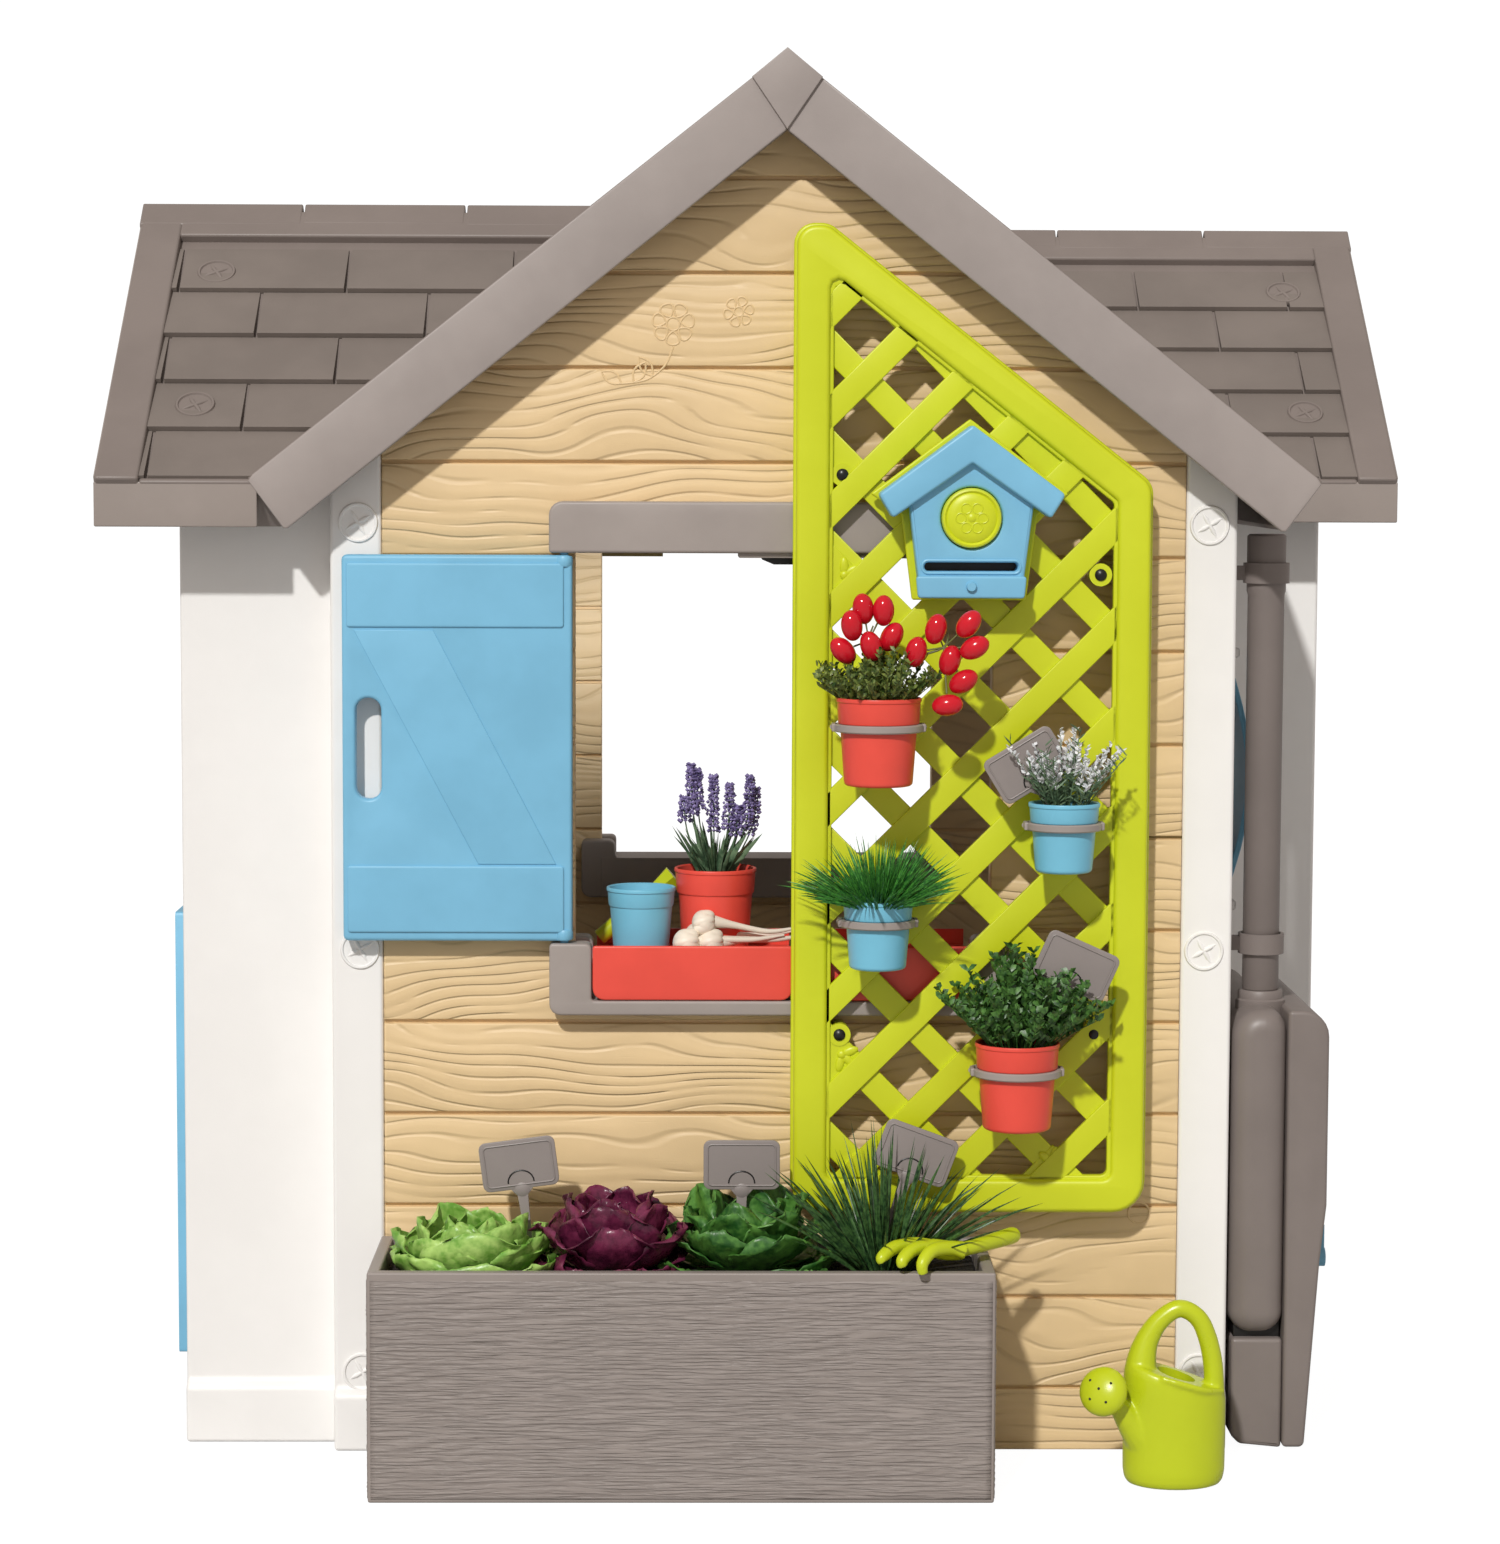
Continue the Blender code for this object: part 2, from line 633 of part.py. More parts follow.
def front_roof(name, parent):
    """The quarter of the roof that holds the front gable's left verge and the wing's front slope."""
    front = -VERGE_OVERHANG
    back = wing_middle + OVERRUN
    rise = ROOF_SLOPE * OVERRUN
    verge_drop = FASCIA_DEPTH * steep
    verge_end = main_reach - fascia_in
    eave_low = EAVE_HEIGHT - fascia_down
    corners = {
        "ridge_front": (OVERRUN, front, ridge_height + rise),
        "ridge_back": (OVERRUN, back, ridge_height + rise),
        "valley_top": (OVERRUN - valley_start, back, wing_ridge_height + rise),
        "corner": (-main_reach, front, EAVE_HEIGHT),
        "wing_ridge": (-roof_end, back, wing_ridge_height + rise),
        "wing_eave": (-roof_end, front, EAVE_HEIGHT),
        "ridge_front_low": (OVERRUN, front, ridge_height + rise - verge_drop),
        "corner_low": (-verge_end, front, eave_low),
        "eave_low": (-verge_end - 0.004, front + fascia_in, eave_low),
        "wing_eave_low": (-roof_end, front + fascia_in, eave_low),
        "wing_ridge_low": (-roof_end, back, wing_ridge_height + rise - verge_drop),
    }
    faces = (
        ("ridge_front", "ridge_back", "valley_top", "corner"),
        ("corner", "valley_top", "wing_ridge", "wing_eave"),
        ("ridge_front", "corner", "corner_low", "ridge_front_low"),
        ("corner", "eave_low", "corner_low"),
        ("corner", "wing_eave", "wing_eave_low", "eave_low"),
        ("wing_eave", "wing_ridge", "wing_ridge_low", "wing_eave_low"),
    )
    shell = roof_shell(name, corners, faces, parent)
    return trim_roof(shell, wing_middle - CLEARANCE, wing_middle + 0.5)


def rear_roof(name, parent):
    """The quarter behind it: the wing's rear slope and the cabin's slope up to the far verge."""
    front = wing_middle - OVERRUN
    back = HOUSE_DEPTH + VERGE_OVERHANG
    rise = ROOF_SLOPE * OVERRUN
    verge_drop = FASCIA_DEPTH * steep
    valley_end = 2 * wing_middle + VERGE_OVERHANG
    eave_low = EAVE_HEIGHT - fascia_down
    corners = {
        "ridge_front": (OVERRUN, front, ridge_height + rise),
        "ridge_back": (OVERRUN, back, ridge_height + rise),
        "valley_top": (OVERRUN - valley_start, front, wing_ridge_height + rise),
        "valley_end": (-main_reach, valley_end, EAVE_HEIGHT),
        "eave_back": (-main_reach, back, EAVE_HEIGHT),
        "wing_ridge": (-roof_end, front, wing_ridge_height + rise),
        "wing_eave": (-roof_end, valley_end, EAVE_HEIGHT),
        "ridge_back_low": (OVERRUN, back, ridge_height + rise - verge_drop),
        "eave_back_low": (-main_reach + fascia_in, back, eave_low),
        "valley_low": (-main_reach + fascia_in, valley_end - fascia_in, eave_low),
        "wing_eave_low": (-roof_end, valley_end - fascia_in, eave_low),
        "wing_ridge_low": (-roof_end, front, wing_ridge_height + rise - verge_drop),
    }
    faces = (
        ("ridge_front", "valley_top", "valley_end", "eave_back", "ridge_back"),
        ("valley_top", "wing_ridge", "wing_eave", "valley_end"),
        ("ridge_back", "eave_back", "eave_back_low", "ridge_back_low"),
        ("eave_back", "valley_end", "valley_low", "eave_back_low"),
        ("valley_end", "wing_eave", "wing_eave_low", "valley_low"),
        ("wing_eave", "wing_ridge", "wing_ridge_low", "wing_eave_low"),
    )
    shell = roof_shell(name, corners, faces, parent)
    return trim_roof(shell, wing_middle - 0.5, wing_middle + CLEARANCE)


pin_x = -half_window - (frame_half - half_window) * SHUTTER_PIN_SHARE
pin_y = -SHUTTER_STAND_OFF - SHUTTER_THICKNESS / 2
shutter_low = ledge_top + LEDGE_HORN_RISE - LEDGE_SKIN + SHUTTER_END_GAP
shutter_high = WINDOW_HEAD - SHUTTER_END_GAP


def window_lintel(name, with_pin_hole, parent):
    outline = rounded(
        rectangle(-frame_half, frame_half, WINDOW_HEAD, WINDOW_HEAD + LINTEL_HEIGHT), 0.008)
    lintel = plate(name, [outline], "front", -FRAME_PROUD, -CLEARANCE, "frame_grey", parent)
    if not with_pin_hole:
        return lintel
    bore = rod("lintel_bore", (pin_x, pin_y, WINDOW_HEAD - BURY),
               (pin_x, pin_y, WINDOW_HEAD + SHUTTER_PIN_LENGTH), SHUTTER_PIN_RADIUS + HINGE_PLAY,
               "frame_grey", parent)
    return cut(lintel, bore)


def window_ledge(name, with_pin_hole, parent):
    """A saddle over the sill, with a band below and a horn at each end, outside and inside."""
    bottom = WINDOW_SILL - LEDGE_DROP
    horn_top = shutter_low - SHUTTER_END_GAP
    inner = frame_half - LEDGE_HORN_WIDTH
    low = bottom + STEP
    outer_back = -CLEARANCE - STEP
    inner_front = WALL + CLEARANCE + STEP
    saddle_section = [
        (-TRAY_APRON_THICKNESS, low), (outer_back, low), (outer_back, WINDOW_SILL + CLEARANCE),
        (inner_front, WINDOW_SILL + CLEARANCE), (inner_front, low),
        (WALL + INNER_LEDGE_DEPTH, low), (WALL + INNER_LEDGE_DEPTH, ledge_top),
        (-TRAY_APRON_THICKNESS, ledge_top),
    ]
    saddle = plate(name, [saddle_section], "side", -half_window + CLEARANCE,
                   half_window - CLEARANCE, "frame_grey", parent)
    u_outline = [
        (-frame_half, bottom), (frame_half, bottom), (frame_half, horn_top), (inner, horn_top),
        (inner, bottom + LEDGE_BAND), (-inner, bottom + LEDGE_BAND), (-inner, horn_top),
        (-frame_half, horn_top),
    ]
    outside = plate(f"{name}_outside", [u_outline], "front", -FRAME_PROUD,
                    -CLEARANCE, "frame_grey", parent)
    inside = plate(f"{name}_inside", [u_outline], "front", WALL + CLEARANCE,
                   WALL + INNER_LEDGE_DEPTH - BURY, "frame_grey", parent)
    ledge = join(saddle, outside, inside)
    if not with_pin_hole:
        return ledge
    bore = rod("ledge_bore", (pin_x, pin_y, horn_top - SHUTTER_PIN_LENGTH),
               (pin_x, pin_y, horn_top + BURY), SHUTTER_PIN_RADIUS + HINGE_PLAY,
               "frame_grey", parent)
    return cut(ledge, bore)


def half_cabin(prefix, far_prefix, left, opening, parent):
    """One half of the cabin. The other is the same, turned about the centre of the house."""
    right = {"left": "right", "right": "left"}[left]
    front = prefix == "front"
    gable_wall(f"{prefix}_wall", parent)
    corner_post(f"corner_post_{prefix}_{left}", -1, parent)
    corner_post(f"corner_post_{prefix}_{right}", 1, parent)
    wing_front_panel(f"{left}_wing_{prefix}_panel", parent)
    wing_rear_panel(f"{left}_wing_{far_prefix}_panel", parent)
    wing_gable_wall(f"{left}_wing_gable_wall", opening, parent)
    side_wall(f"{left}_side_wall", parent)
    side_shutter(f"{left}_side_shutter", parent)
    front_roof(f"roof_panel_{prefix}_{left}", parent)
    rear_roof(f"roof_panel_{far_prefix}_{left}", parent)
    window_lintel(f"{prefix}_window_lintel", front, parent)
    window_ledge(f"{prefix}_window_ledge", front, parent)


def ledge_tray(name, left, right):
    """A shallow tray: an apron in front, a floor over the sill and a low lip behind."""
    back = TRAY_REACH
    front = -FRAME_PROUD
    apron_low = WINDOW_SILL - LEDGE_DROP + LEDGE_BAND + CLEARANCE * 2
    apron_back = -TRAY_APRON_THICKNESS - CLEARANCE
    under = tray_floor - TRAY_SKIN
    section = [
        (front, apron_low), (apron_back, apron_low), (apron_back, under), (back, under),
        (back, tray_floor + TRAY_LIP), (back - TRAY_SKIN, tray_floor + TRAY_LIP),
        (back - TRAY_SKIN, tray_floor), (front + TRAY_SKIN, tray_floor),
        (front + TRAY_SKIN, tray_floor + TRAY_LIP), (front, tray_floor + TRAY_LIP),
    ]
    return plate(name, [section], "side", left, right, "red", datum)


def front_shutter():
    """The shutter, drawn open and flat against the wall, with a pin at each end of its hinge edge."""
    edge = pin_x + SHUTTER_PIN_INSET
    free = edge - SHUTTER_WIDTH
    slot_middle = (free + FINGER_SLOT_INSET, (shutter_low + shutter_high) / 2)
    wide, tall = FINGER_SLOT
    slot = rounded(rectangle(slot_middle[0] - wide / 2, slot_middle[0] + wide / 2,
                             slot_middle[1] - tall / 2, slot_middle[1] + tall / 2), wide * 0.49)
    outline = rounded(rectangle(free, edge, shutter_low, shutter_high), SHUTTER_CORNER, 3)
    near = -SHUTTER_STAND_OFF - SHUTTER_THICKNESS
    board = plate("front_shutter", [outline, slot], "front", near, -SHUTTER_STAND_OFF,
                  "sky_blue", datum)
    reach = SHUTTER_PIN_LENGTH + SHUTTER_END_GAP - 0.001
    pins = [
        rod(f"shutter_pin_{end}", (pin_x, pin_y, start), (pin_x, pin_y, stop),
            SHUTTER_PIN_RADIUS, "sky_blue", datum)
        for end, start, stop in (
            ("low", shutter_low - reach, shutter_low + SHUTTER_PIN_ROOT),
            ("high", shutter_high - SHUTTER_PIN_ROOT, shutter_high + reach),
        )
    ]
    return join(board, *pins)


door_low = SKIRT_HEIGHT + HALF_DOOR_RISE
door_rear = wing_middle + DOOR_WIDTH / 2
hinge_x = -wing_face - KNUCKLE_RADIUS - HINGE_STAND_OFF
hinge_y = door_rear + KNUCKLE_RADIUS + KNUCKLE_PAST_OPENING


def half_door():
    """The door leaf on the wing's outer face, with a long knuckle at its rear edge."""
    front = wing_middle - DOOR_WIDTH / 2 - HALF_DOOR_LAP
    high = door_low + HALF_DOOR_HEIGHT
    outline = rounded(rectangle(front, hinge_y, door_low, high), 0.004, 2)
    outer = hinge_x + KNUCKLE_RADIUS - HALF_DOOR_THICKNESS
    grip_y = front + DOOR_GRIP_SETBACK
    wide, tall = DOOR_GRIP
    grip = rounded(rectangle(grip_y - wide / 2, grip_y + wide / 2, high - DOOR_GRIP_DROP - tall,
                             high - DOOR_GRIP_DROP), wide * 0.48)
    leaf = plate("half_door", [outline, grip], "side", outer, hinge_x + KNUCKLE_RADIUS,
                 "sky_blue", datum)
    knuckle = rod("door_knuckle", (hinge_x, hinge_y, door_low), (hinge_x, hinge_y, high),
                  KNUCKLE_RADIUS, "sky_blue", datum, 20)
    bore = rod("door_bore", (hinge_x, hinge_y, door_low - 0.01), (hinge_x, hinge_y, high + 0.01),
               HINGE_ROD_RADIUS + HINGE_PLAY, "sky_blue", datum, 16)
    return cut(join(leaf, knuckle), bore)


def half_door_hinge():
    """The rod that the door turns on, held to the wall by an arm above and an arm below."""
    high = door_low + HALF_DOOR_HEIGHT
    low_arm = door_low - HINGE_GAP - HINGE_ARM
    rod_piece = rod("half_door_hinge_post", (hinge_x, hinge_y, low_arm + BURY),
                    (hinge_x, hinge_y, high + HINGE_GAP + HINGE_ARM - BURY), HINGE_ROD_RADIUS,
                    "frame_grey", datum)
    arms = [
        box(f"hinge_arm_{end}", (hinge_x - KNUCKLE_RADIUS, hinge_y - KNUCKLE_RADIUS, bottom),
            (-wing_face - CLEARANCE, hinge_y + HINGE_REACH, bottom + HINGE_ARM), "frame_grey", datum)
        for end, bottom in (("low", low_arm), ("high", high + HINGE_GAP))
    ]
    return join(rod_piece, *arms)


def clip_polygon(points, edge_start, edge_end):
    """The part of a convex polygon on the left of a line."""
    start, end = Vector(edge_start), Vector(edge_end)
    along = end - start
    result = []
    for index, point in enumerate(points):
        here, there = Vector(point), Vector(points[(index + 1) % len(points)])
        a = along.cross(here - start)
        b = along.cross(there - start)
        if a >= 0:
            result.append(tuple(here))
        if (a > 0) != (b > 0) and abs(a - b) > 1e-12:
            result.append(tuple(here + (there - here) * (a / (a - b))))
    return result


def polygon_width(points):
    """The smallest extent of a polygon, measured square to each of its sides."""
    widths = []
    for index, point in enumerate(points):
        here, there = Vector(point), Vector(points[(index + 1) % len(points)])
        if (there - here).length < 0.001:
            continue
        across = Vector((-(there - here).y, (there - here).x)).normalized()
        spread = [across.dot(Vector(other)) for other in points]
        widths.append(max(spread) - min(spread))
    return min(widths)


trellis_right = TRELLIS_LEFT + TRELLIS_WIDTH
trellis_corners = [
    (TRELLIS_LEFT, TRELLIS_BOTTOM), (trellis_right, TRELLIS_BOTTOM),
    (trellis_right, TRELLIS_BOTTOM + TRELLIS_SHORT),
    (TRELLIS_LEFT, TRELLIS_BOTTOM + TRELLIS_TALL + TRELLIS_PEAK_CUT),
]


def inset(corners, distance):
    """A convex outline, running anticlockwise, moved inwards by a distance."""
    count = len(corners)
    result = []
    for index in range(count):
        before, here = Vector(corners[index - 1]), Vector(corners[index])
        after = Vector(corners[(index + 1) % count])
        first, second = (here - before).normalized(), (after - here).normalized()
        bend = first.angle(second)
        inward = Vector((-first.y - second.y, first.x + second.x)).normalized()
        result.append(tuple(here + inward * (distance / math.cos(bend / 2))))
    return result


def trellis():
    """A frame with a lattice of crossing slats, on bosses that hold it off the wall."""
    face = -TRELLIS_FACE
    opening = inset(trellis_corners, TRELLIS_BAR)
    top = TRELLIS_BOTTOM + TRELLIS_TALL
    outline = clip_polygon(trellis_corners, (trellis_right, top), (TRELLIS_LEFT, top))
    radii = [TRELLIS_CORNER] * 2 + [TRELLIS_TOP_CORNER] * 3
    frame = plate("trellis", [rounded(outline, radii), rounded(opening, 0.006, 2)],
                  "front", face, face + TRELLIS_THICKNESS, "lime", datum)
    hole = SLAT_PITCH - SLAT_WIDTH
    diagonal = math.sqrt(0.5)
    holes = []
    middle = Vector((TRELLIS_LEFT + TRELLIS_BAR, TRELLIS_BOTTOM + TRELLIS_TALL / 2))
    reach = 14
    inner = inset(opening, -0.0005)
    for row in range(-reach, reach + 1):
        for column in range(-reach, reach + 1):
            centre = middle + Vector((row + column + 1, row - column)) * (SLAT_PITCH * diagonal)
            diamond = [centre + Vector(corner) * (hole * diagonal)
                       for corner in ((1, 0), (0, 1), (-1, 0), (0, -1))]
            for index, corner in enumerate(inner):
                if diamond:
                    diamond = clip_polygon(diamond, corner, inner[(index + 1) % len(inner)])
            if len(diamond) > 2 and polygon_width(diamond) > SMALLEST_GAP:
                holes.append(diamond)
    border = inset(trellis_corners, TRELLIS_BAR - 0.005)
    lattice = plate("lattice", [border, *holes], "front", face + LATTICE_INSET,
                    face + LATTICE_INSET + LATTICE_THICKNESS, "lime", datum)
    left = TRELLIS_LEFT + TRELLIS_BAR - 0.006
    right = trellis_right - TRELLIS_BAR + 0.006
    bosses = [
        rod(f"boss_{index}", (x, face + LATTICE_INSET + 0.003, z), (x, -CLEARANCE, z),
            BOSS_RADIUS, "lime", datum, 10)
        for index, (x, z) in enumerate((
            (left, WINDOW_HEAD + LINTEL_HEIGHT + 0.03), (right, WINDOW_HEAD + 0.015),
            (left, WINDOW_SILL - LEDGE_DROP - 0.025), (right, WINDOW_SILL - LEDGE_DROP - 0.02),
        ))
    ]
    return join(frame, lattice, *bosses)


bell_back = -TRELLIS_FACE - CLEARANCE - BELL_PLATE
bell_near = bell_back - CLEARANCE


def bell_roof_outline(half_width, apex, thickness, drop):
    """A chevron with square-cut ends."""
    slope = 0.74
    low = apex - slope * half_width
    cut_in = thickness * 0.55
    return [
        (BELL_X, apex), (BELL_X - half_width, low), (BELL_X - half_width + cut_in, low - thickness * 0.86),
        (BELL_X, apex - drop), (BELL_X + half_width - cut_in, low - thickness * 0.86),
        (BELL_X + half_width, low),
    ]


def bell():
    """A bird box that serves as the door bell: plate, box with a letter slot, and push button."""
    edge = 0.006
    half_top = BELL_BODY_TOP_WIDTH / 2
    half_low = BELL_BODY_BOTTOM_WIDTH / 2
    roof = bell_roof_outline(BELL_ROOF_HALF_WIDTH, BELL_APEX, BELL_ROOF_THICKNESS,
                             BELL_ROOF_THICKNESS * 1.38)
    eave = roof[1][1]
    plate_outline = [
        (BELL_X - half_low - edge, BELL_BODY_BOTTOM - edge),
        (BELL_X + half_low + edge, BELL_BODY_BOTTOM - edge),
        (BELL_X + half_top + edge, eave - 0.02),
        (BELL_X + BELL_ROOF_HALF_WIDTH + edge, eave), (BELL_X, BELL_APEX + edge),
        (BELL_X - BELL_ROOF_HALF_WIDTH - edge, eave), (BELL_X - half_top - edge, eave - 0.02),
    ]
    plate("bell_back_plate", [plate_outline], "front", bell_back, bell_back + BELL_PLATE,
          "lime", datum)
    body_outline = [
        (BELL_X - half_low, BELL_BODY_BOTTOM), (BELL_X + half_low, BELL_BODY_BOTTOM),
        (BELL_X + half_top, BELL_BODY_TOP), (BELL_X, BELL_BODY_TOP + half_top * 0.6),
        (BELL_X - half_top, BELL_BODY_TOP),
    ]
    hole_radius = BELL_BUTTON_RADIUS + BELL_BUTTON_PLAY
    steps = 28
    hole = [(BELL_X + hole_radius * math.cos(2 * math.pi * i / steps),
             BELL_BUTTON_HEIGHT + hole_radius * math.sin(2 * math.pi * i / steps))
            for i in range(steps)]
    wide, tall = LETTER_SLOT
    slot = rounded(rectangle(BELL_X - wide / 2, BELL_X + wide / 2, LETTER_SLOT_HEIGHT - tall / 2,
                             LETTER_SLOT_HEIGHT + tall / 2), tall * 0.45, 3)
    box_piece = plate("bell_box", [body_outline, hole, slot], "front", bell_near - BELL_DEPTH,
                      bell_near, "sky_blue", datum)
    roof_piece = plate("bell_roof", [roof], "front", bell_near - BELL_ROOF_DEPTH,
                       bell_near - BURY, "sky_blue", datum)
    join(box_piece, roof_piece)
    front = bell_near - BELL_DEPTH - BELL_BUTTON_PROUD
    rod("bell_button", (BELL_X, front, BELL_BUTTON_HEIGHT),
        (BELL_X, front + BELL_BUTTON_DEPTH, BELL_BUTTON_HEIGHT), BELL_BUTTON_RADIUS, "lime", datum, 28)


def pot(name, size, place, finish):
    """A tapered pot with a wider collar round its top. The place is the middle of its base."""
    top, bottom, height, collar = size
    shoulder_height = height - collar
    body_top = bottom + (top - bottom) * 0.5
    shoulder = top - POT_COLLAR_TAPER
    profile = [
        (0, POT_WALL), (bottom - POT_WALL, POT_WALL), (body_top - POT_WALL, shoulder_height + POT_WALL),
        (shoulder - POT_WALL, shoulder_height + POT_WALL), (top - POT_WALL, height),
        (top, height), (shoulder, shoulder_height), (body_top, shoulder_height),
        (bottom, 0), (0, 0),
    ]
    return turned(name, profile, place, finish, datum)


def pot_clip(name, size, x, pot_top, middle_y):
    """A band round the pot below its collar, with a foot on the face of the trellis."""
    top, bottom, height, collar = size
    upper = pot_top - collar - CLEARANCE
    inner = bottom + (top - bottom) * 0.5 + CLIP_PLAY
    outer = max(inner, top) + CLIP_BAND - 0.001
    band = turned(name, [(inner, upper - CLIP_HEIGHT), (inner, upper), (outer, upper),
                         (outer, upper - CLIP_HEIGHT)], (x, middle_y, 0), "frame_grey", datum, 24)
    wide, tall = CLIP_FOOT
    face = -TRELLIS_FACE - CLEARANCE
    foot = box(f"{name}_foot", (x - wide / 2, face - CLIP_PLATE, upper - tall),
               (x + wide / 2, face, upper), "frame_grey", datum)
    arm = box(f"{name}_arm", (x - CLIP_ARM_HALF_WIDTH, middle_y + inner + 0.001,
                                upper - CLIP_HEIGHT * 0.8),
              (x + CLIP_ARM_HALF_WIDTH, face - 0.001, upper - CLIP_HEIGHT * 0.2), "frame_grey", datum)
    return join(band, foot, arm)


def plant_label(name, centre, lean, stake_end, stand_y):
    """A blank name board on a stake, leaning by an angle in its own plane."""
    wide, tall = LABEL_SIZE
    board = rounded(rectangle(-wide / 2, wide / 2, -tall / 2, tall / 2), LABEL_CORNER, 3)
    stake_length = (centre[1] - stake_end - STAKE_WIDTH / 2 * abs(math.sin(lean))) / math.cos(lean)
    half = STAKE_WIDTH / 2
    below = [point for point in board if point[1] < 0 and point[0] < 0]
    outline = below[:]
    outline += [(-half, -tall / 2), (-half * 0.5, -stake_length), (half * 0.5, -stake_length),
                (half, -tall / 2)]
    outline += [point for point in board if point not in below]
    turned_points = [
        (centre[0] + x * math.cos(lean) - y * math.sin(lean),
         centre[1] + x * math.sin(lean) + y * math.cos(lean)) for x, y in outline
    ]
    return plate(name, [turned_points], "front", stand_y - LABEL_THICKNESS / 2,
                 stand_y + LABEL_THICKNESS / 2, "frame_grey", datum)


def open_box(name, low, high, wall, floor, finish, opens_down=False):
    """A box with one open side, at its top or at its bottom."""
    low, high = Vector(low), Vector(high)
    shape = bmesh.new()
    bmesh.ops.create_cube(shape, size=1)
    bmesh.ops.scale(shape, vec=high - low, verts=shape.verts)
    bmesh.ops.translate(shape, vec=(low + high) / 2, verts=shape.verts)
    shape.faces.ensure_lookup_table()
    side = -1 if opens_down else 1
    mouth = max(shape.faces, key=lambda face: side * face.calc_center_median().z)
    bmesh.ops.inset_region(shape, faces=[mouth], thickness=wall, use_even_offset=True)
    extruded = bmesh.ops.extrude_face_region(shape, geom=[mouth])
    verts = [item for item in extruded["geom"] if isinstance(item, bmesh.types.BMVert)]
    bmesh.ops.translate(shape, vec=(0, 0, side * (floor - (high.z - low.z))), verts=verts)
    bmesh.ops.delete(shape, geom=[mouth], context="FACES")
    return mesh_from(name, shape, finish, datum)


planter_front = -PLANTER_GAP - PLANTER_DEPTH
planter_right = PLANTER_LEFT + PLANTER_LENGTH
insert_top = PLANTER_HEIGHT - INSERT_DROP


def planter():
    open_box("planter_box", (PLANTER_LEFT, planter_front, 0),
             (planter_right, -PLANTER_GAP, PLANTER_HEIGHT), PLANTER_WALL, PLANTER_WALL,
             "planter_grey")
    inside = PLANTER_WALL + CLEARANCE
    open_box("planting_insert", (PLANTER_LEFT + inside, planter_front + inside, inside),
             (planter_right - inside, -PLANTER_GAP - inside, insert_top), INSERT_WALL,
             INSERT_WALL, "soil_black", opens_down=True)
    for name, centre, lean, stand_y in (
        ("plant_label_left", (-0.257, 0.300), 0.13, -PLANTER_GAP - 0.055),
        ("plant_label_middle", (-0.04, 0.2985), 0.0, -PLANTER_GAP - 0.055),
        ("plant_label_right", (0.132, 0.3114), -0.35, -PLANTER_GAP - 0.05),
    ):
        plant_label(name, centre, lean, insert_top + CLEARANCE, stand_y)


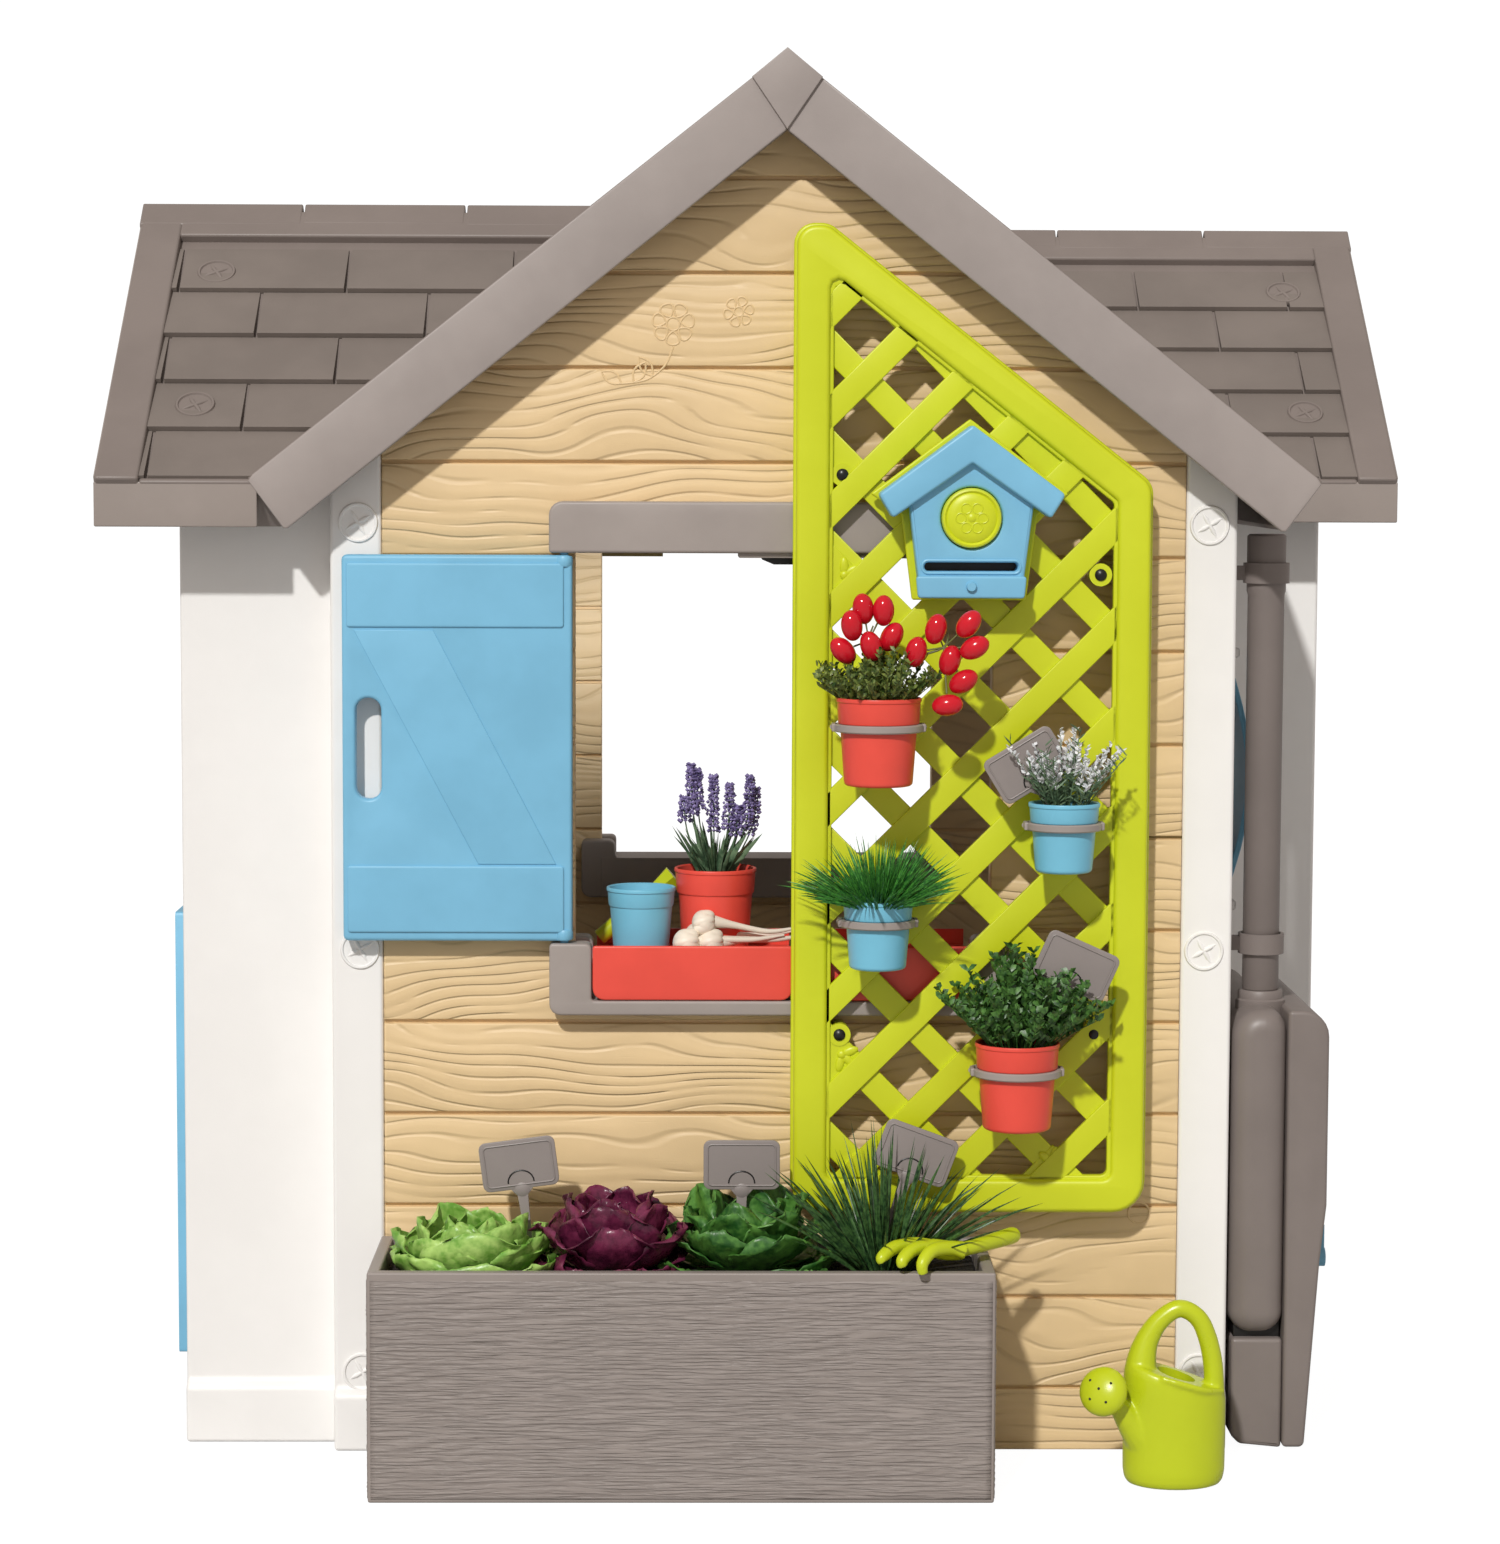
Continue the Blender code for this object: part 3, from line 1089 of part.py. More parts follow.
def tank_and_pipe():
    """The water tank beside the cabin, with its tap, and the downpipe that feeds it."""
    inner = CABIN_HALF_WIDTH + TANK_GAP
    outer = inner + TANK_WIDTH
    back = TANK_FRONT + TANK_LENGTH
    split = TANK_FOOT_HEIGHT
    body = plate("water_tank", [rounded([(TANK_FRONT, split), (back, split), (back, TANK_HEIGHT),
                                         (TANK_FRONT, TANK_HEIGHT)], TANK_CORNER)],
                 "side", inner, outer, "tank_grey", datum)
    body = as_mesh(body)
    soft = body.modifiers.new("soft_edge", "BEVEL")
    soft.width = TANK_CORNER * 0.35
    soft.segments = 2
    soft.angle_limit = math.radians(60)
    body = as_mesh(body)
    foot = box("tank_foot", (inner + TANK_FOOT_INSET, TANK_FRONT + TANK_FOOT_SETBACK, 0),
               (outer - TANK_FOOT_INSET, back - TANK_FOOT_SETBACK, split + TANK_FOOT_LAP), "tank_grey", datum)
    pipe_x = CABIN_HALF_WIDTH + PIPE_FROM_WALL
    collar_top = TANK_HEIGHT + COLLAR_HEIGHT
    collar = rod("tank_collar", (pipe_x, PIPE_SET_BACK, TANK_HEIGHT - COLLAR_ROOT),
                 (pipe_x, PIPE_SET_BACK, collar_top), COLLAR_RADIUS, "tank_grey", datum, 20)
    lugs = [
        box(f"tank_lug_{index}", (CABIN_HALF_WIDTH + CLEARANCE, TANK_LENGTH * 0.5 - TANK_LUG / 2, z),
            (inner + 0.004, TANK_LENGTH * 0.5 + TANK_LUG / 2, z + TANK_LUG), "tank_grey", datum)
        for index, z in enumerate((split + TANK_LUG_LOW, TANK_HEIGHT - TANK_LUG_HIGH))
    ]
    join(body, foot, collar, *lugs)

    eave_low = EAVE_HEIGHT - fascia_down
    tube("downpipe", [(pipe_x, PIPE_SET_BACK, collar_top + CLEARANCE),
                      (pipe_x, PIPE_SET_BACK, eave_low - PIPE_TOP_GAP)],
         PIPE_RADIUS, "tank_grey", datum, 4)
    for name, height in PIPE_CLIP_HEIGHTS:
        inside = PIPE_RADIUS + CLEARANCE * 2
        band = turned(name, [(inside, 0), (inside, PIPE_CLIP_HEIGHT),
                             (inside + PIPE_CLIP_BAND, PIPE_CLIP_HEIGHT), (inside + PIPE_CLIP_BAND, 0)],
                      (pipe_x, PIPE_SET_BACK, height - PIPE_CLIP_HEIGHT / 2), "tank_grey", datum, 24)
        arm = box(f"{name}_arm", (CABIN_HALF_WIDTH + CLEARANCE, PIPE_SET_BACK - PIPE_CLIP_ARM_HALF_WIDTH,
                                  height - PIPE_CLIP_HEIGHT * 0.35),
                  (pipe_x - inside - 0.001, PIPE_SET_BACK + PIPE_CLIP_ARM_HALF_WIDTH,
                   height + PIPE_CLIP_HEIGHT * 0.35),
                  "tank_grey", datum)
        join(band, arm)

    spout_end = outer + CLEARANCE + TAP_LENGTH
    spout = rod("tap_spout", (outer + CLEARANCE, TAP_SET_BACK, TAP_HEIGHT),
                (spout_end, TAP_SET_BACK, TAP_HEIGHT), TAP_RADIUS, "tank_grey", datum)
    nozzle_x = outer + TAP_LENGTH * 0.55
    nozzle = rod("tap_nozzle", (nozzle_x, TAP_SET_BACK, TAP_HEIGHT - TAP_NOZZLE_DROP),
                 (nozzle_x, TAP_SET_BACK, TAP_HEIGHT), TAP_RADIUS * 0.55, "tank_grey", datum, 12)
    join(spout, nozzle)
    thick, half_width, length = TAP_LEVER
    lever_near = spout_end + CLEARANCE
    hub = rod("tap_lever", (lever_near, TAP_SET_BACK, TAP_HEIGHT),
              (lever_near + thick, TAP_SET_BACK, TAP_HEIGHT), TAP_RADIUS * 0.9, "sky_blue", datum)
    blade = box("tap_blade", (lever_near + 0.001, TAP_SET_BACK - half_width / 3, TAP_HEIGHT),
                (lever_near + thick - 0.001, TAP_SET_BACK + half_width / 3, TAP_HEIGHT + length),
                "sky_blue", datum)
    join(hub, blade)


def arc_points(centre, radius, start, stop, count, along, up):
    """Points on an arc in the plane of two directions."""
    points = []
    for index in range(count):
        angle = start + (stop - start) * index / (count - 1)
        points.append(Vector(centre) + Vector(along) * (radius * math.cos(angle))
                      + Vector(up) * (radius * math.sin(angle)))
    return points


can_y = -CAN_SET_FORWARD


def watering_can():
    """An oval can with a loop handle over its open top and a short spout with a rose."""
    profile = [(0, CAN_WALL), (CAN_FLOOR_SHARE, CAN_WALL)]
    profile += [(radius, CAN_BODY_HEIGHT * height) for radius, height in CAN_PROFILE]
    profile += [(1.0, CAN_ROUND), (CAN_BASE_SHARE, 0), (0, 0)]
    outer = CAN_WIDTH / 2
    body = turned("watering_can", [(radius * outer, height) for radius, height in profile],
                  (CAN_X, can_y, 0), "lime", datum, 24)
    body.scale = (1, CAN_DEPTH / CAN_WIDTH, 1)
    loop_x = CAN_X + CAN_LOOP_SHIFT
    loop_middle = CAN_HANDLE_TOP - CAN_HANDLE_RADIUS - CAN_LOOP_RADIUS
    route = [(loop_x - CAN_LOOP_RADIUS - 0.004, can_y, CAN_BODY_HEIGHT - 0.006)]
    route += arc_points((loop_x, can_y, loop_middle), CAN_LOOP_RADIUS, math.pi, 0, 9,
                        (1, 0, 0), (0, 0, 1))
    route += [(loop_x + CAN_LOOP_RADIUS + 0.006, can_y, CAN_BODY_HEIGHT - 0.012)]
    handle = tube("can_handle", route, CAN_HANDLE_RADIUS, "lime", datum, 2)
    root = (CAN_X - outer * SPOUT_ROOT[0], can_y + SPOUT_ROOT[1], CAN_BODY_HEIGHT * SPOUT_ROOT[2])
    neck = Vector((CAN_X - outer - SPOUT_NECK[0], can_y + SPOUT_NECK[1],
                   CAN_BODY_HEIGHT * SPOUT_NECK[2]))
    way = (neck - Vector(root)).normalized()
    spout = rod("can_spout", root, neck, SPOUT_RADIUS * 1.25, "lime", datum, 14, SPOUT_RADIUS * 0.8)
    tip = Vector((CAN_X - outer - ROSE_CENTRE[0], can_y + ROSE_CENTRE[1],
                  CAN_BODY_HEIGHT + ROSE_CENTRE[2]))
    face = Vector(ROSE_FACING).normalized()
    bell_piece = rod("can_rose", tip - face * 0.012, tip + face * ROSE_LENGTH, SPOUT_RADIUS * 0.9,
                     "lime", datum, 20, ROSE_RADIUS)
    elbow = rod("can_elbow", neck - way * 0.008, tip + face * 0.002, SPOUT_RADIUS * 0.85, "lime", datum, 14)
    join(body, handle, spout, elbow, bell_piece)


def hand_rake():
    """A three-tine hand rake that lies across the planter's front rim."""
    rim = PLANTER_HEIGHT + CLEARANCE
    radius = RAKE_TINE_RADIUS
    head_y = planter_front + RAKE_HEAD_SETBACK
    head = box("hand_rake", (RAKE_X - RAKE_TINE_PITCH - RAKE_HEAD_FRONT, head_y - RAKE_HEAD_FRONT, rim),
               (RAKE_X + RAKE_TINE_PITCH + RAKE_HEAD_BACK, head_y + RAKE_HEAD_BACK,
                rim + RAKE_HEAD_HEIGHT), "lime", datum)
    tines = []
    for index in (-1, 0, 1):
        x = RAKE_X + index * RAKE_TINE_PITCH
        reach = head_y - (planter_front - RAKE_OVERHANG + radius)
        bend_z = rim + RAKE_HEAD_HEIGHT - 0.002 - reach * RAKE_TINE_DROP
        bend = arc_points((x, head_y, bend_z), reach, math.pi / 2, math.pi, 6,
                          (0, 1, 0), (0, 0, RAKE_TINE_DROP))
        tines.append(tube(f"rake_tine_{index + 1}", bend, radius, "lime", datum))
    middle = rim + RAKE_HANDLE_RADIUS
    route = [(RAKE_X + along, head_y + back, middle + up) for along, back, up in RAKE_HANDLE_ROUTE]
    along, back, up = RAKE_HANDLE_END
    route += [(planter_right + along, head_y + back, middle + up)]
    handle = tube("rake_handle", route, RAKE_HANDLE_RADIUS, "lime", datum, 3)
    join(head, *tines, handle)


def hand_trowel():
    """A small trowel that leans in the left end of the ledge, behind the pots."""
    base = Vector((-half_window + TROWEL_INSET, TROWEL_IN, tray_floor + TROWEL_RADIUS + 0.002))
    way = Vector(TROWEL_WAY).normalized()
    handle = rod("hand_trowel", base, base + way * TROWEL_HANDLE, TROWEL_RADIUS, "lime", datum, 14)
    long, wide = TROWEL_BLADE
    start = base + way * (TROWEL_HANDLE - TROWEL_LAP)
    blade = rod("trowel_blade", start, start + way * long, wide * 0.2, "lime", datum, 6, wide * 0.34)
    join(handle, blade)


def pots():
    face = -TRELLIS_FACE - CLEARANCE - CLIP_PLATE
    colours = ("red", "sky_blue", "sky_blue", "red")
    for (name, size, x, top), finish in zip(TRELLIS_POTS, colours):
        middle_y = face - CLIP_STAND_OFF - size[0] - CLIP_BAND
        pot(name, size, (x, middle_y, top - size[2]), finish)
        pot_clip(name.replace("trellis_pot", "pot_clip"), size, x, top, middle_y)
    pot("ledge_pot_blue", SMALL_POT, (LEDGE_BLUE_POT_X, LEDGE_BLUE_POT_IN, tray_floor + CLEARANCE),
        "sky_blue")
    pot("ledge_pot_red", LARGE_POT, (LEDGE_RED_POT_X, LEDGE_RED_POT_IN, tray_floor + CLEARANCE), "red")
    upper = TRELLIS_POTS[1]
    lower = TRELLIS_POTS[3]
    for name, spot, lean, offset in (
        ("plant_label_right_pot", upper, 0.55, (-0.04, 0.036)),
        ("plant_label_lower_pot", lower, -0.42, (0.06, 0.073)),
    ):
        _, size, x, top = spot
        stand_y = face - 0.003 - CLIP_BAND - size[0]
        plant_label(name, (x + offset[0], top + offset[1]), lean, top - size[3] * 0.85, stand_y)


door_opening = rectangle(wing_middle - DOOR_WIDTH / 2, door_rear, SKIRT_HEIGHT, DOOR_HEAD)
window_opening = rectangle(wing_middle - WING_WINDOW_WIDTH / 2, wing_middle + WING_WINDOW_WIDTH / 2,
                           WING_WINDOW_SILL, WING_WINDOW_HEAD)
half_cabin("front", "rear", "left", door_opening, datum)
half_cabin("rear", "front", "right", window_opening, rear)
ledge_tray("ledge_tray_left", -half_window + FRAME_LAP * 0.75, TRAY_SPLIT - TRAY_SPLIT_GAP / 2)
ledge_tray("ledge_tray_right", TRAY_SPLIT + TRAY_SPLIT_GAP / 2, half_window - FRAME_LAP * 0.75)
front_shutter()
half_door()
half_door_hinge()
trellis()
bell()
pots()
planter()
tank_and_pipe()
watering_can()
hand_rake()
hand_trowel()
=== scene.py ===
# Garden playhouse for children: the detailed pieces and their finishes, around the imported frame.
import math
import random

import bmesh
import bpy
from mathutils import Matrix, Vector, noise


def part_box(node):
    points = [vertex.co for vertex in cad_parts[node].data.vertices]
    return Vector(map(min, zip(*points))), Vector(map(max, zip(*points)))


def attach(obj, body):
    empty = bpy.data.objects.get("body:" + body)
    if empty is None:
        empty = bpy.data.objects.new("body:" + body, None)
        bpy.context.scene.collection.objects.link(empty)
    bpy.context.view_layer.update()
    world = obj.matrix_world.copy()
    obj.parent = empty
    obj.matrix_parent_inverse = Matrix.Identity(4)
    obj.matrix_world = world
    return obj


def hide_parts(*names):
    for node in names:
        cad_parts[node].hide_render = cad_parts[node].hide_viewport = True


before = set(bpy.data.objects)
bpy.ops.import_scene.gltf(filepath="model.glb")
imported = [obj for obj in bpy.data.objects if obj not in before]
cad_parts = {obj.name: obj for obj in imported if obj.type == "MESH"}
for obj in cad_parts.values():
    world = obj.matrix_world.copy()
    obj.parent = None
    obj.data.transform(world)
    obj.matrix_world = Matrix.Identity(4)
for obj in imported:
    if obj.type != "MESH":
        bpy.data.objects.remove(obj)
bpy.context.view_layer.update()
print("frame loaded")

house = {
    "roofSlope": 0.79,
    "eaveHeight": 0.9495,
    "eaveOverhang": 0.068,
    "vergeOverhang": 0.05,
    "fasciaDepth": 0.05,
    "panelLap": 0.008,
}
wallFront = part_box("front_wall")[0].y
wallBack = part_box("rear_wall")[1].y
middleY = (wallFront + wallBack) / 2
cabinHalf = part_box("corner_post_front_right")[1].x
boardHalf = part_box("front_wall")[1].x
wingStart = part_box("left_wing_front_panel")[0].y + house["panelLap"]
wingMid = (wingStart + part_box("left_wing_rear_panel")[1].y - house["panelLap"]) / 2
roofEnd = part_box("roof_panel_front_left")[0].x
slope = house["roofSlope"]
steep = math.hypot(1, slope)
eaveHalf = cabinHalf + house["eaveOverhang"]
ridgeZ = house["eaveHeight"] + slope * eaveHalf
vergeY = wallFront - house["vergeOverhang"]
wingRidgeZ = house["eaveHeight"] + slope * (wingMid - vergeY)
valleyX = (ridgeZ - wingRidgeZ) / slope
fasciaIn = house["fasciaDepth"] * slope / steep
fasciaDown = house["fasciaDepth"] / steep
shell = "house_shell"


# Distance behind the front wall's outer face.
def atHouse(depth):
    return wallFront + depth


def linear(red, green, blue):
    def one(value):
        value /= 255
        return value / 12.92 if value <= 0.04045 else ((value + 0.055) / 1.055) ** 2.4
    return (one(red), one(green), one(blue), 1.0)


def newGroup(name, inputs, outputs):
    group = bpy.data.node_groups.new(name, "ShaderNodeTree")
    for label, default in inputs:
        socket = group.interface.new_socket(label, in_out="INPUT", socket_type="NodeSocketFloat")
        socket.default_value = default
    for label, kind in outputs:
        group.interface.new_socket(label, in_out="OUTPUT", socket_type=kind)
    return group, group.nodes.new("NodeGroupInput"), group.nodes.new("NodeGroupOutput")


def mathNode(tree, kind, first, second=None, third=None):
    node = tree.nodes.new("ShaderNodeMath")
    node.operation = kind
    for slot, value in enumerate((first, second, third)):
        if value is None:
            continue
        if isinstance(value, (int, float)):
            node.inputs[slot].default_value = value
        else:
            tree.links.new(value, node.inputs[slot])
    return node.outputs[0]


def noiseNode(tree, vector, scale, detail=2.0, roughness=0.5):
    node = tree.nodes.new("ShaderNodeTexNoise")
    node.inputs["Detail"].default_value = detail
    node.inputs["Roughness"].default_value = roughness
    tree.links.new(vector, node.inputs["Vector"])
    if isinstance(scale, (int, float)):
        node.inputs["Scale"].default_value = scale
    else:
        tree.links.new(scale, node.inputs["Scale"])
    return node.outputs[0]


def rangeNode(tree, value, low, high, start=0.0, end=1.0, smooth=True):
    node = tree.nodes.new("ShaderNodeMapRange")
    if smooth:
        node.interpolation_type = "SMOOTHSTEP"
    tree.links.new(value, node.inputs["Value"])
    for label, number in (("From Min", low), ("From Max", high), ("To Min", start), ("To Max", end)):
        node.inputs[label].default_value = number
    return node.outputs["Result"]


# Fine skin and faint blotches of moulded plastic.
def buildMouldGroup():
    group, source, sink = newGroup(
        "mouldedSkin", (("Grain Scale", 900.0), ("Blotch Scale", 9.0)),
        (("Height", "NodeSocketFloat"), ("Blotch", "NodeSocketFloat")))
    place = group.nodes.new("ShaderNodeTexCoord").outputs["Object"]
    grain = noiseNode(group, place, source.outputs["Grain Scale"], 3.0, 0.6)
    wave = noiseNode(group, place, 35.0, 2.0)
    height = mathNode(group, "MULTIPLY_ADD", wave, 1.6, grain)
    group.links.new(height, sink.inputs["Height"])
    blotch = noiseNode(group, place, source.outputs["Blotch Scale"], 4.0, 0.6)
    group.links.new(rangeNode(group, blotch, 0.3, 0.7), sink.inputs["Blotch"])
    return group


# Wavy wood lines pressed into boards, different on each board.
def buildWoodGroup():
    group, source, sink = newGroup(
        "woodLines", (("Line Pitch", 0.0105), ("Board Pitch", 0.091), ("Board Start", 0.063)),
        (("Groove", "NodeSocketFloat"), ("Fibre", "NodeSocketFloat")))
    place = group.nodes.new("ShaderNodeTexCoord").outputs["Object"]
    parts = group.nodes.new("ShaderNodeSeparateXYZ")
    group.links.new(place, parts.inputs[0])
    x, y, z = parts.outputs
    along = mathNode(group, "ADD", x, y)
    board = mathNode(group, "FLOOR", mathNode(group, "DIVIDE", mathNode(
        group, "SUBTRACT", z, source.outputs["Board Start"]), source.outputs["Board Pitch"]))

    def warped(alongScale, acrossScale, detail):
        spot = group.nodes.new("ShaderNodeCombineXYZ")
        group.links.new(mathNode(group, "MULTIPLY", along, alongScale), spot.inputs[0])
        group.links.new(mathNode(group, "MULTIPLY", z, acrossScale), spot.inputs[1])
        group.links.new(mathNode(group, "MULTIPLY", board, 3.7), spot.inputs[2])
        return noiseNode(group, spot.outputs[0], 1.0, detail, 0.45)

    bend = warped(4.2, 11.0, 1.0)
    rows = mathNode(group, "DIVIDE", z, source.outputs["Line Pitch"])
    phase = mathNode(group, "MULTIPLY_ADD", bend, 9.0, rows)
    ridge = mathNode(group, "PINGPONG", phase, 0.5)
    broken = warped(9.0, 40.0, 2.0)
    crest = rangeNode(group, ridge, 0.0, 0.17, 0.7, 0.0)
    line = mathNode(group, "MULTIPLY", crest, rangeNode(group, broken, 0.36, 0.52))
    swell = rangeNode(group, ridge, 0.0, 0.5, 0.3, 0.0)
    group.links.new(mathNode(group, "ADD", line, swell), sink.inputs["Groove"])
    group.links.new(warped(25.0, 420.0, 3.0), sink.inputs["Fibre"])
    return group


mouldGroup = buildMouldGroup()
woodGroup = buildWoodGroup()


def useGroup(tree, group, **values):
    node = tree.nodes.new("ShaderNodeGroup")
    node.node_tree = group
    for label, number in values.items():
        node.inputs[label.replace("_", " ")].default_value = number
    return node


def mixColour(tree, factor, first, second):
    node = tree.nodes.new("ShaderNodeMix")
    node.data_type = "RGBA"
    tree.links.new(factor, node.inputs["Factor"])
    for label, value in (("A", first), ("B", second)):
        socket = [s for s in node.inputs if s.name == label and s.type == "RGBA"][0]
        if isinstance(value, tuple):
            socket.default_value = value
        else:
            tree.links.new(value, socket)
    return [s for s in node.outputs if s.type == "RGBA"][0]


def scaled(colour, amount):
    return tuple(min(1.0, channel * amount) for channel in colour[:3]) + (1.0,)


def newMaterial(name):
    material = bpy.data.materials.new(name)
    material.use_nodes = True
    return material, material.node_tree, material.node_tree.nodes["Principled BSDF"]


def bumpNode(tree, height, strength, distance, invert=False):
    node = tree.nodes.new("ShaderNodeBump")
    node.invert = invert
    node.inputs["Strength"].default_value = strength
    node.inputs["Distance"].default_value = distance
    tree.links.new(height, node.inputs["Height"])
    return node


# Moulded plastic. The relief is a mask that sinks into the surface and darkens it: painted shade in the
# sunken lines and hollows.
def plastic(name, colour, rough=0.42, grain=0.12, blotch=0.05, relief=None, reliefDepth=0.0, reliefShade=0.8):
    material, tree, shader = newMaterial(name)
    skin = useGroup(tree, mouldGroup)
    base = mixColour(tree, skin.outputs["Blotch"], scaled(colour, 1 - blotch), scaled(colour, 1 + blotch))
    roughness = rangeNode(tree, skin.outputs["Blotch"], 0.0, 1.0, rough - 0.05, rough + 0.06, False)
    tree.links.new(roughness, shader.inputs["Roughness"])
    bump = bumpNode(tree, skin.outputs["Height"], grain, 0.0006)
    if relief:
        groove = relief(tree)
        # Painted shade: the colour is darkened where the relief sinks.
        base = mixColour(tree, groove, base, scaled(colour, reliefShade))
        press = bumpNode(tree, groove, 1.0, reliefDepth, True)
        tree.links.new(bump.outputs[0], press.inputs["Normal"])
        bump = press
    tree.links.new(base, shader.inputs["Base Color"])
    tree.links.new(bump.outputs[0], shader.inputs["Normal"])
    return material


# Moulded leaves: patches from dark to light, with fine veins.
def leafy(name, dark, light, rough, patch, crinkle=0.0008, crinkleScale=160.0):
    material, tree, shader = newMaterial(name)
    place = tree.nodes.new("ShaderNodeTexCoord").outputs["Object"]
    patches = noiseNode(tree, place, patch, 3.0, 0.6)
    veins = noiseNode(tree, place, crinkleScale, 3.0, 0.6)
    share = rangeNode(tree, mathNode(tree, "MULTIPLY_ADD", veins, 0.35, patches), 0.45, 0.9)
    tree.links.new(mixColour(tree, share, dark, light), shader.inputs["Base Color"])
    roughness = rangeNode(tree, veins, 0.3, 0.7, rough - 0.08, rough + 0.1, False)
    tree.links.new(roughness, shader.inputs["Roughness"])
    tree.links.new(bumpNode(tree, veins, 0.6, crinkle).outputs[0], shader.inputs["Normal"])
    return material


def woodRelief(linePitch):
    def build(tree):
        lines = useGroup(tree, woodGroup, Line_Pitch=linePitch)
        fibre = rangeNode(tree, lines.outputs["Fibre"], 0.55, 0.8, 0.0, 0.06)
        return mathNode(tree, "MAXIMUM", lines.outputs["Groove"], fibre)
    return build


def rippleRelief(tree):
    lines = useGroup(tree, woodGroup, Line_Pitch=0.0042)
    return rangeNode(tree, lines.outputs["Fibre"], 0.4, 0.62)


def stoneRelief(tree):
    place = tree.nodes.new("ShaderNodeTexCoord").outputs["Object"]
    return rangeNode(tree, noiseNode(tree, place, 55.0, 5.0, 0.65), 0.4, 0.65)


# Each finish: its material's name, its colour from 0 to 255, and how it differs from plain plastic.
plastics = {
    "beige": ("beigeBoard", (226, 198, 152),
              dict(rough=0.5, relief=woodRelief(0.0145), reliefDepth=0.0013, reliefShade=0.93)),
    "beigePlain": ("beigePlain", (226, 198, 152), dict(rough=0.5)),
    "white": ("whitePanel", (240, 239, 237), dict(rough=0.45, blotch=0.015)),
    "stone": ("stonePanel", (240, 239, 237),
              dict(rough=0.6, relief=stoneRelief, reliefDepth=0.002, reliefShade=0.93)),
    "roof": ("roofGrey", (128, 118, 113), dict(rough=0.48, grain=0.2)),
    "shingle": ("shingleGrey", (122, 113, 107), dict(rough=0.55, grain=0.3, blotch=0.07)),
    "frameGrey": ("frameGrey", (157, 148, 143), dict(rough=0.45)),
    "blue": ("shutterBlue", (122, 186, 219), {}),
    "potBlue": ("potBlue", (120, 194, 222), dict(rough=0.35)),
    "lime": ("trellisLime", (204, 214, 30), dict(rough=0.4, blotch=0.03)),
    "toolLime": ("toolLime", (190, 204, 30), dict(rough=0.3, blotch=0.03)),
    "red": ("potRed", (232, 80, 66), dict(rough=0.36)),
    "planter": ("planterGrey", (146, 137, 132),
                dict(rough=0.5, relief=rippleRelief, reliefDepth=0.0007, reliefShade=0.92)),
    "planterRim": ("planterRim", (146, 137, 132), dict(rough=0.45)),
    "tank": ("tankGrey", (126, 117, 113), {}),
    "label": ("labelGrey", (142, 134, 131), dict(rough=0.45)),
    "soil": ("pottingSoil", (38, 30, 24),
             dict(rough=0.9, grain=1.0, blotch=0.3, relief=stoneRelief, reliefDepth=0.004, reliefShade=0.4)),
    # Near black for the screws and small dark marks, and for the plates of painted shade in the slots, bell
    # box, tank gap and rose holes.
    "dark": ("darkScrewAndShade", (22, 21, 21), dict(rough=0.35)),
    "fascia": ("fasciaGrey", (158, 149, 145), dict(rough=0.45, grain=0.15)),
    # The roof grey made lighter for the wing's tilted eave boards: painted light.
    "wingEdgePaintedLight": ("wingEdgePaintedLightGrey", (150, 140, 134), dict(rough=0.45, grain=0.15)),
    "slot": ("slotShade", (118, 104, 58), dict(rough=0.6)),
    "garlic": ("garlicSkin", (232, 222, 206), dict(rough=0.4, blotch=0.1)),
    "tomato": ("tomatoRed", (206, 22, 40), dict(rough=0.16, grain=0.03, blotch=0.08)),
    "twig": ("twigGreen", (110, 118, 70), dict(rough=0.5)),
}
# Each plant: dark colour, light colour, roughness and patch scale.
leaves = {
    "lettuce": ((104, 158, 56), (172, 208, 112), 0.38, 40.0),
    "radicchio": ((66, 16, 42), (122, 44, 78), 0.3, 50.0),
    "cabbage": ((34, 84, 32), (92, 146, 62), 0.4, 40.0),
    "grass": ((20, 82, 34), (84, 162, 62), 0.45, 260.0),
    "chive": ((26, 56, 30), (74, 112, 58), 0.4, 160.0),
    "thyme": ((24, 62, 26), (88, 134, 60), 0.42, 200.0),
    "sprigLeaf": ((34, 66, 22), (128, 142, 66), 0.42, 170.0),
    "sage": ((58, 88, 62), (116, 142, 108), 0.5, 120.0),
    "violet": ((72, 62, 108), (168, 154, 208), 0.6, 190.0),
    "petal": ((196, 202, 206), (248, 248, 250), 0.5, 240.0),
}
finish = {}
for key, (name, colour, changes) in plastics.items():
    finish[key] = plastic(name, linear(*colour), **changes)
for key, (dark, light, rough, patch) in leaves.items():
    finish[key] = leafy(key + "Leaf", linear(*dark), linear(*light), rough, patch)
print("materials ready")

planeTurns = {
    "front": ((math.pi / 2, 0, 0), Vector((0, 1, 0))),
    "side": ((math.pi / 2, 0, math.pi / 2), Vector((1, 0, 0))),
}


def shadeSoft(data, angle=40):
    data.shade_smooth()
    data.set_sharp_from_angle(angle=math.radians(angle))


def addObject(name, data):
    piece = bpy.data.objects.new(name, data)
    bpy.context.scene.collection.objects.link(piece)
    return piece


def linkPiece(name, data, material):
    piece = addObject(name, data)
    data.materials.clear()
    data.materials.append(finish[material])
    return piece


def meshPiece(name, shape, material, angle=40):
    bmesh.ops.recalc_face_normals(shape, faces=shape.faces)
    data = bpy.data.meshes.new(name)
    shape.to_mesh(data)
    shape.free()
    shadeSoft(data, angle)
    return linkPiece(name, data, material)


# An open sheet that takes its thickness from a modifier.
def sheetPiece(name, shape, material, thick, offset):
    data = bpy.data.meshes.new(name)
    shape.to_mesh(data)
    shape.free()
    data.shade_smooth()
    piece = linkPiece(name, data, material)
    skin = piece.modifiers.new("skin", "SOLIDIFY")
    skin.thickness = thick
    skin.offset = offset
    return piece


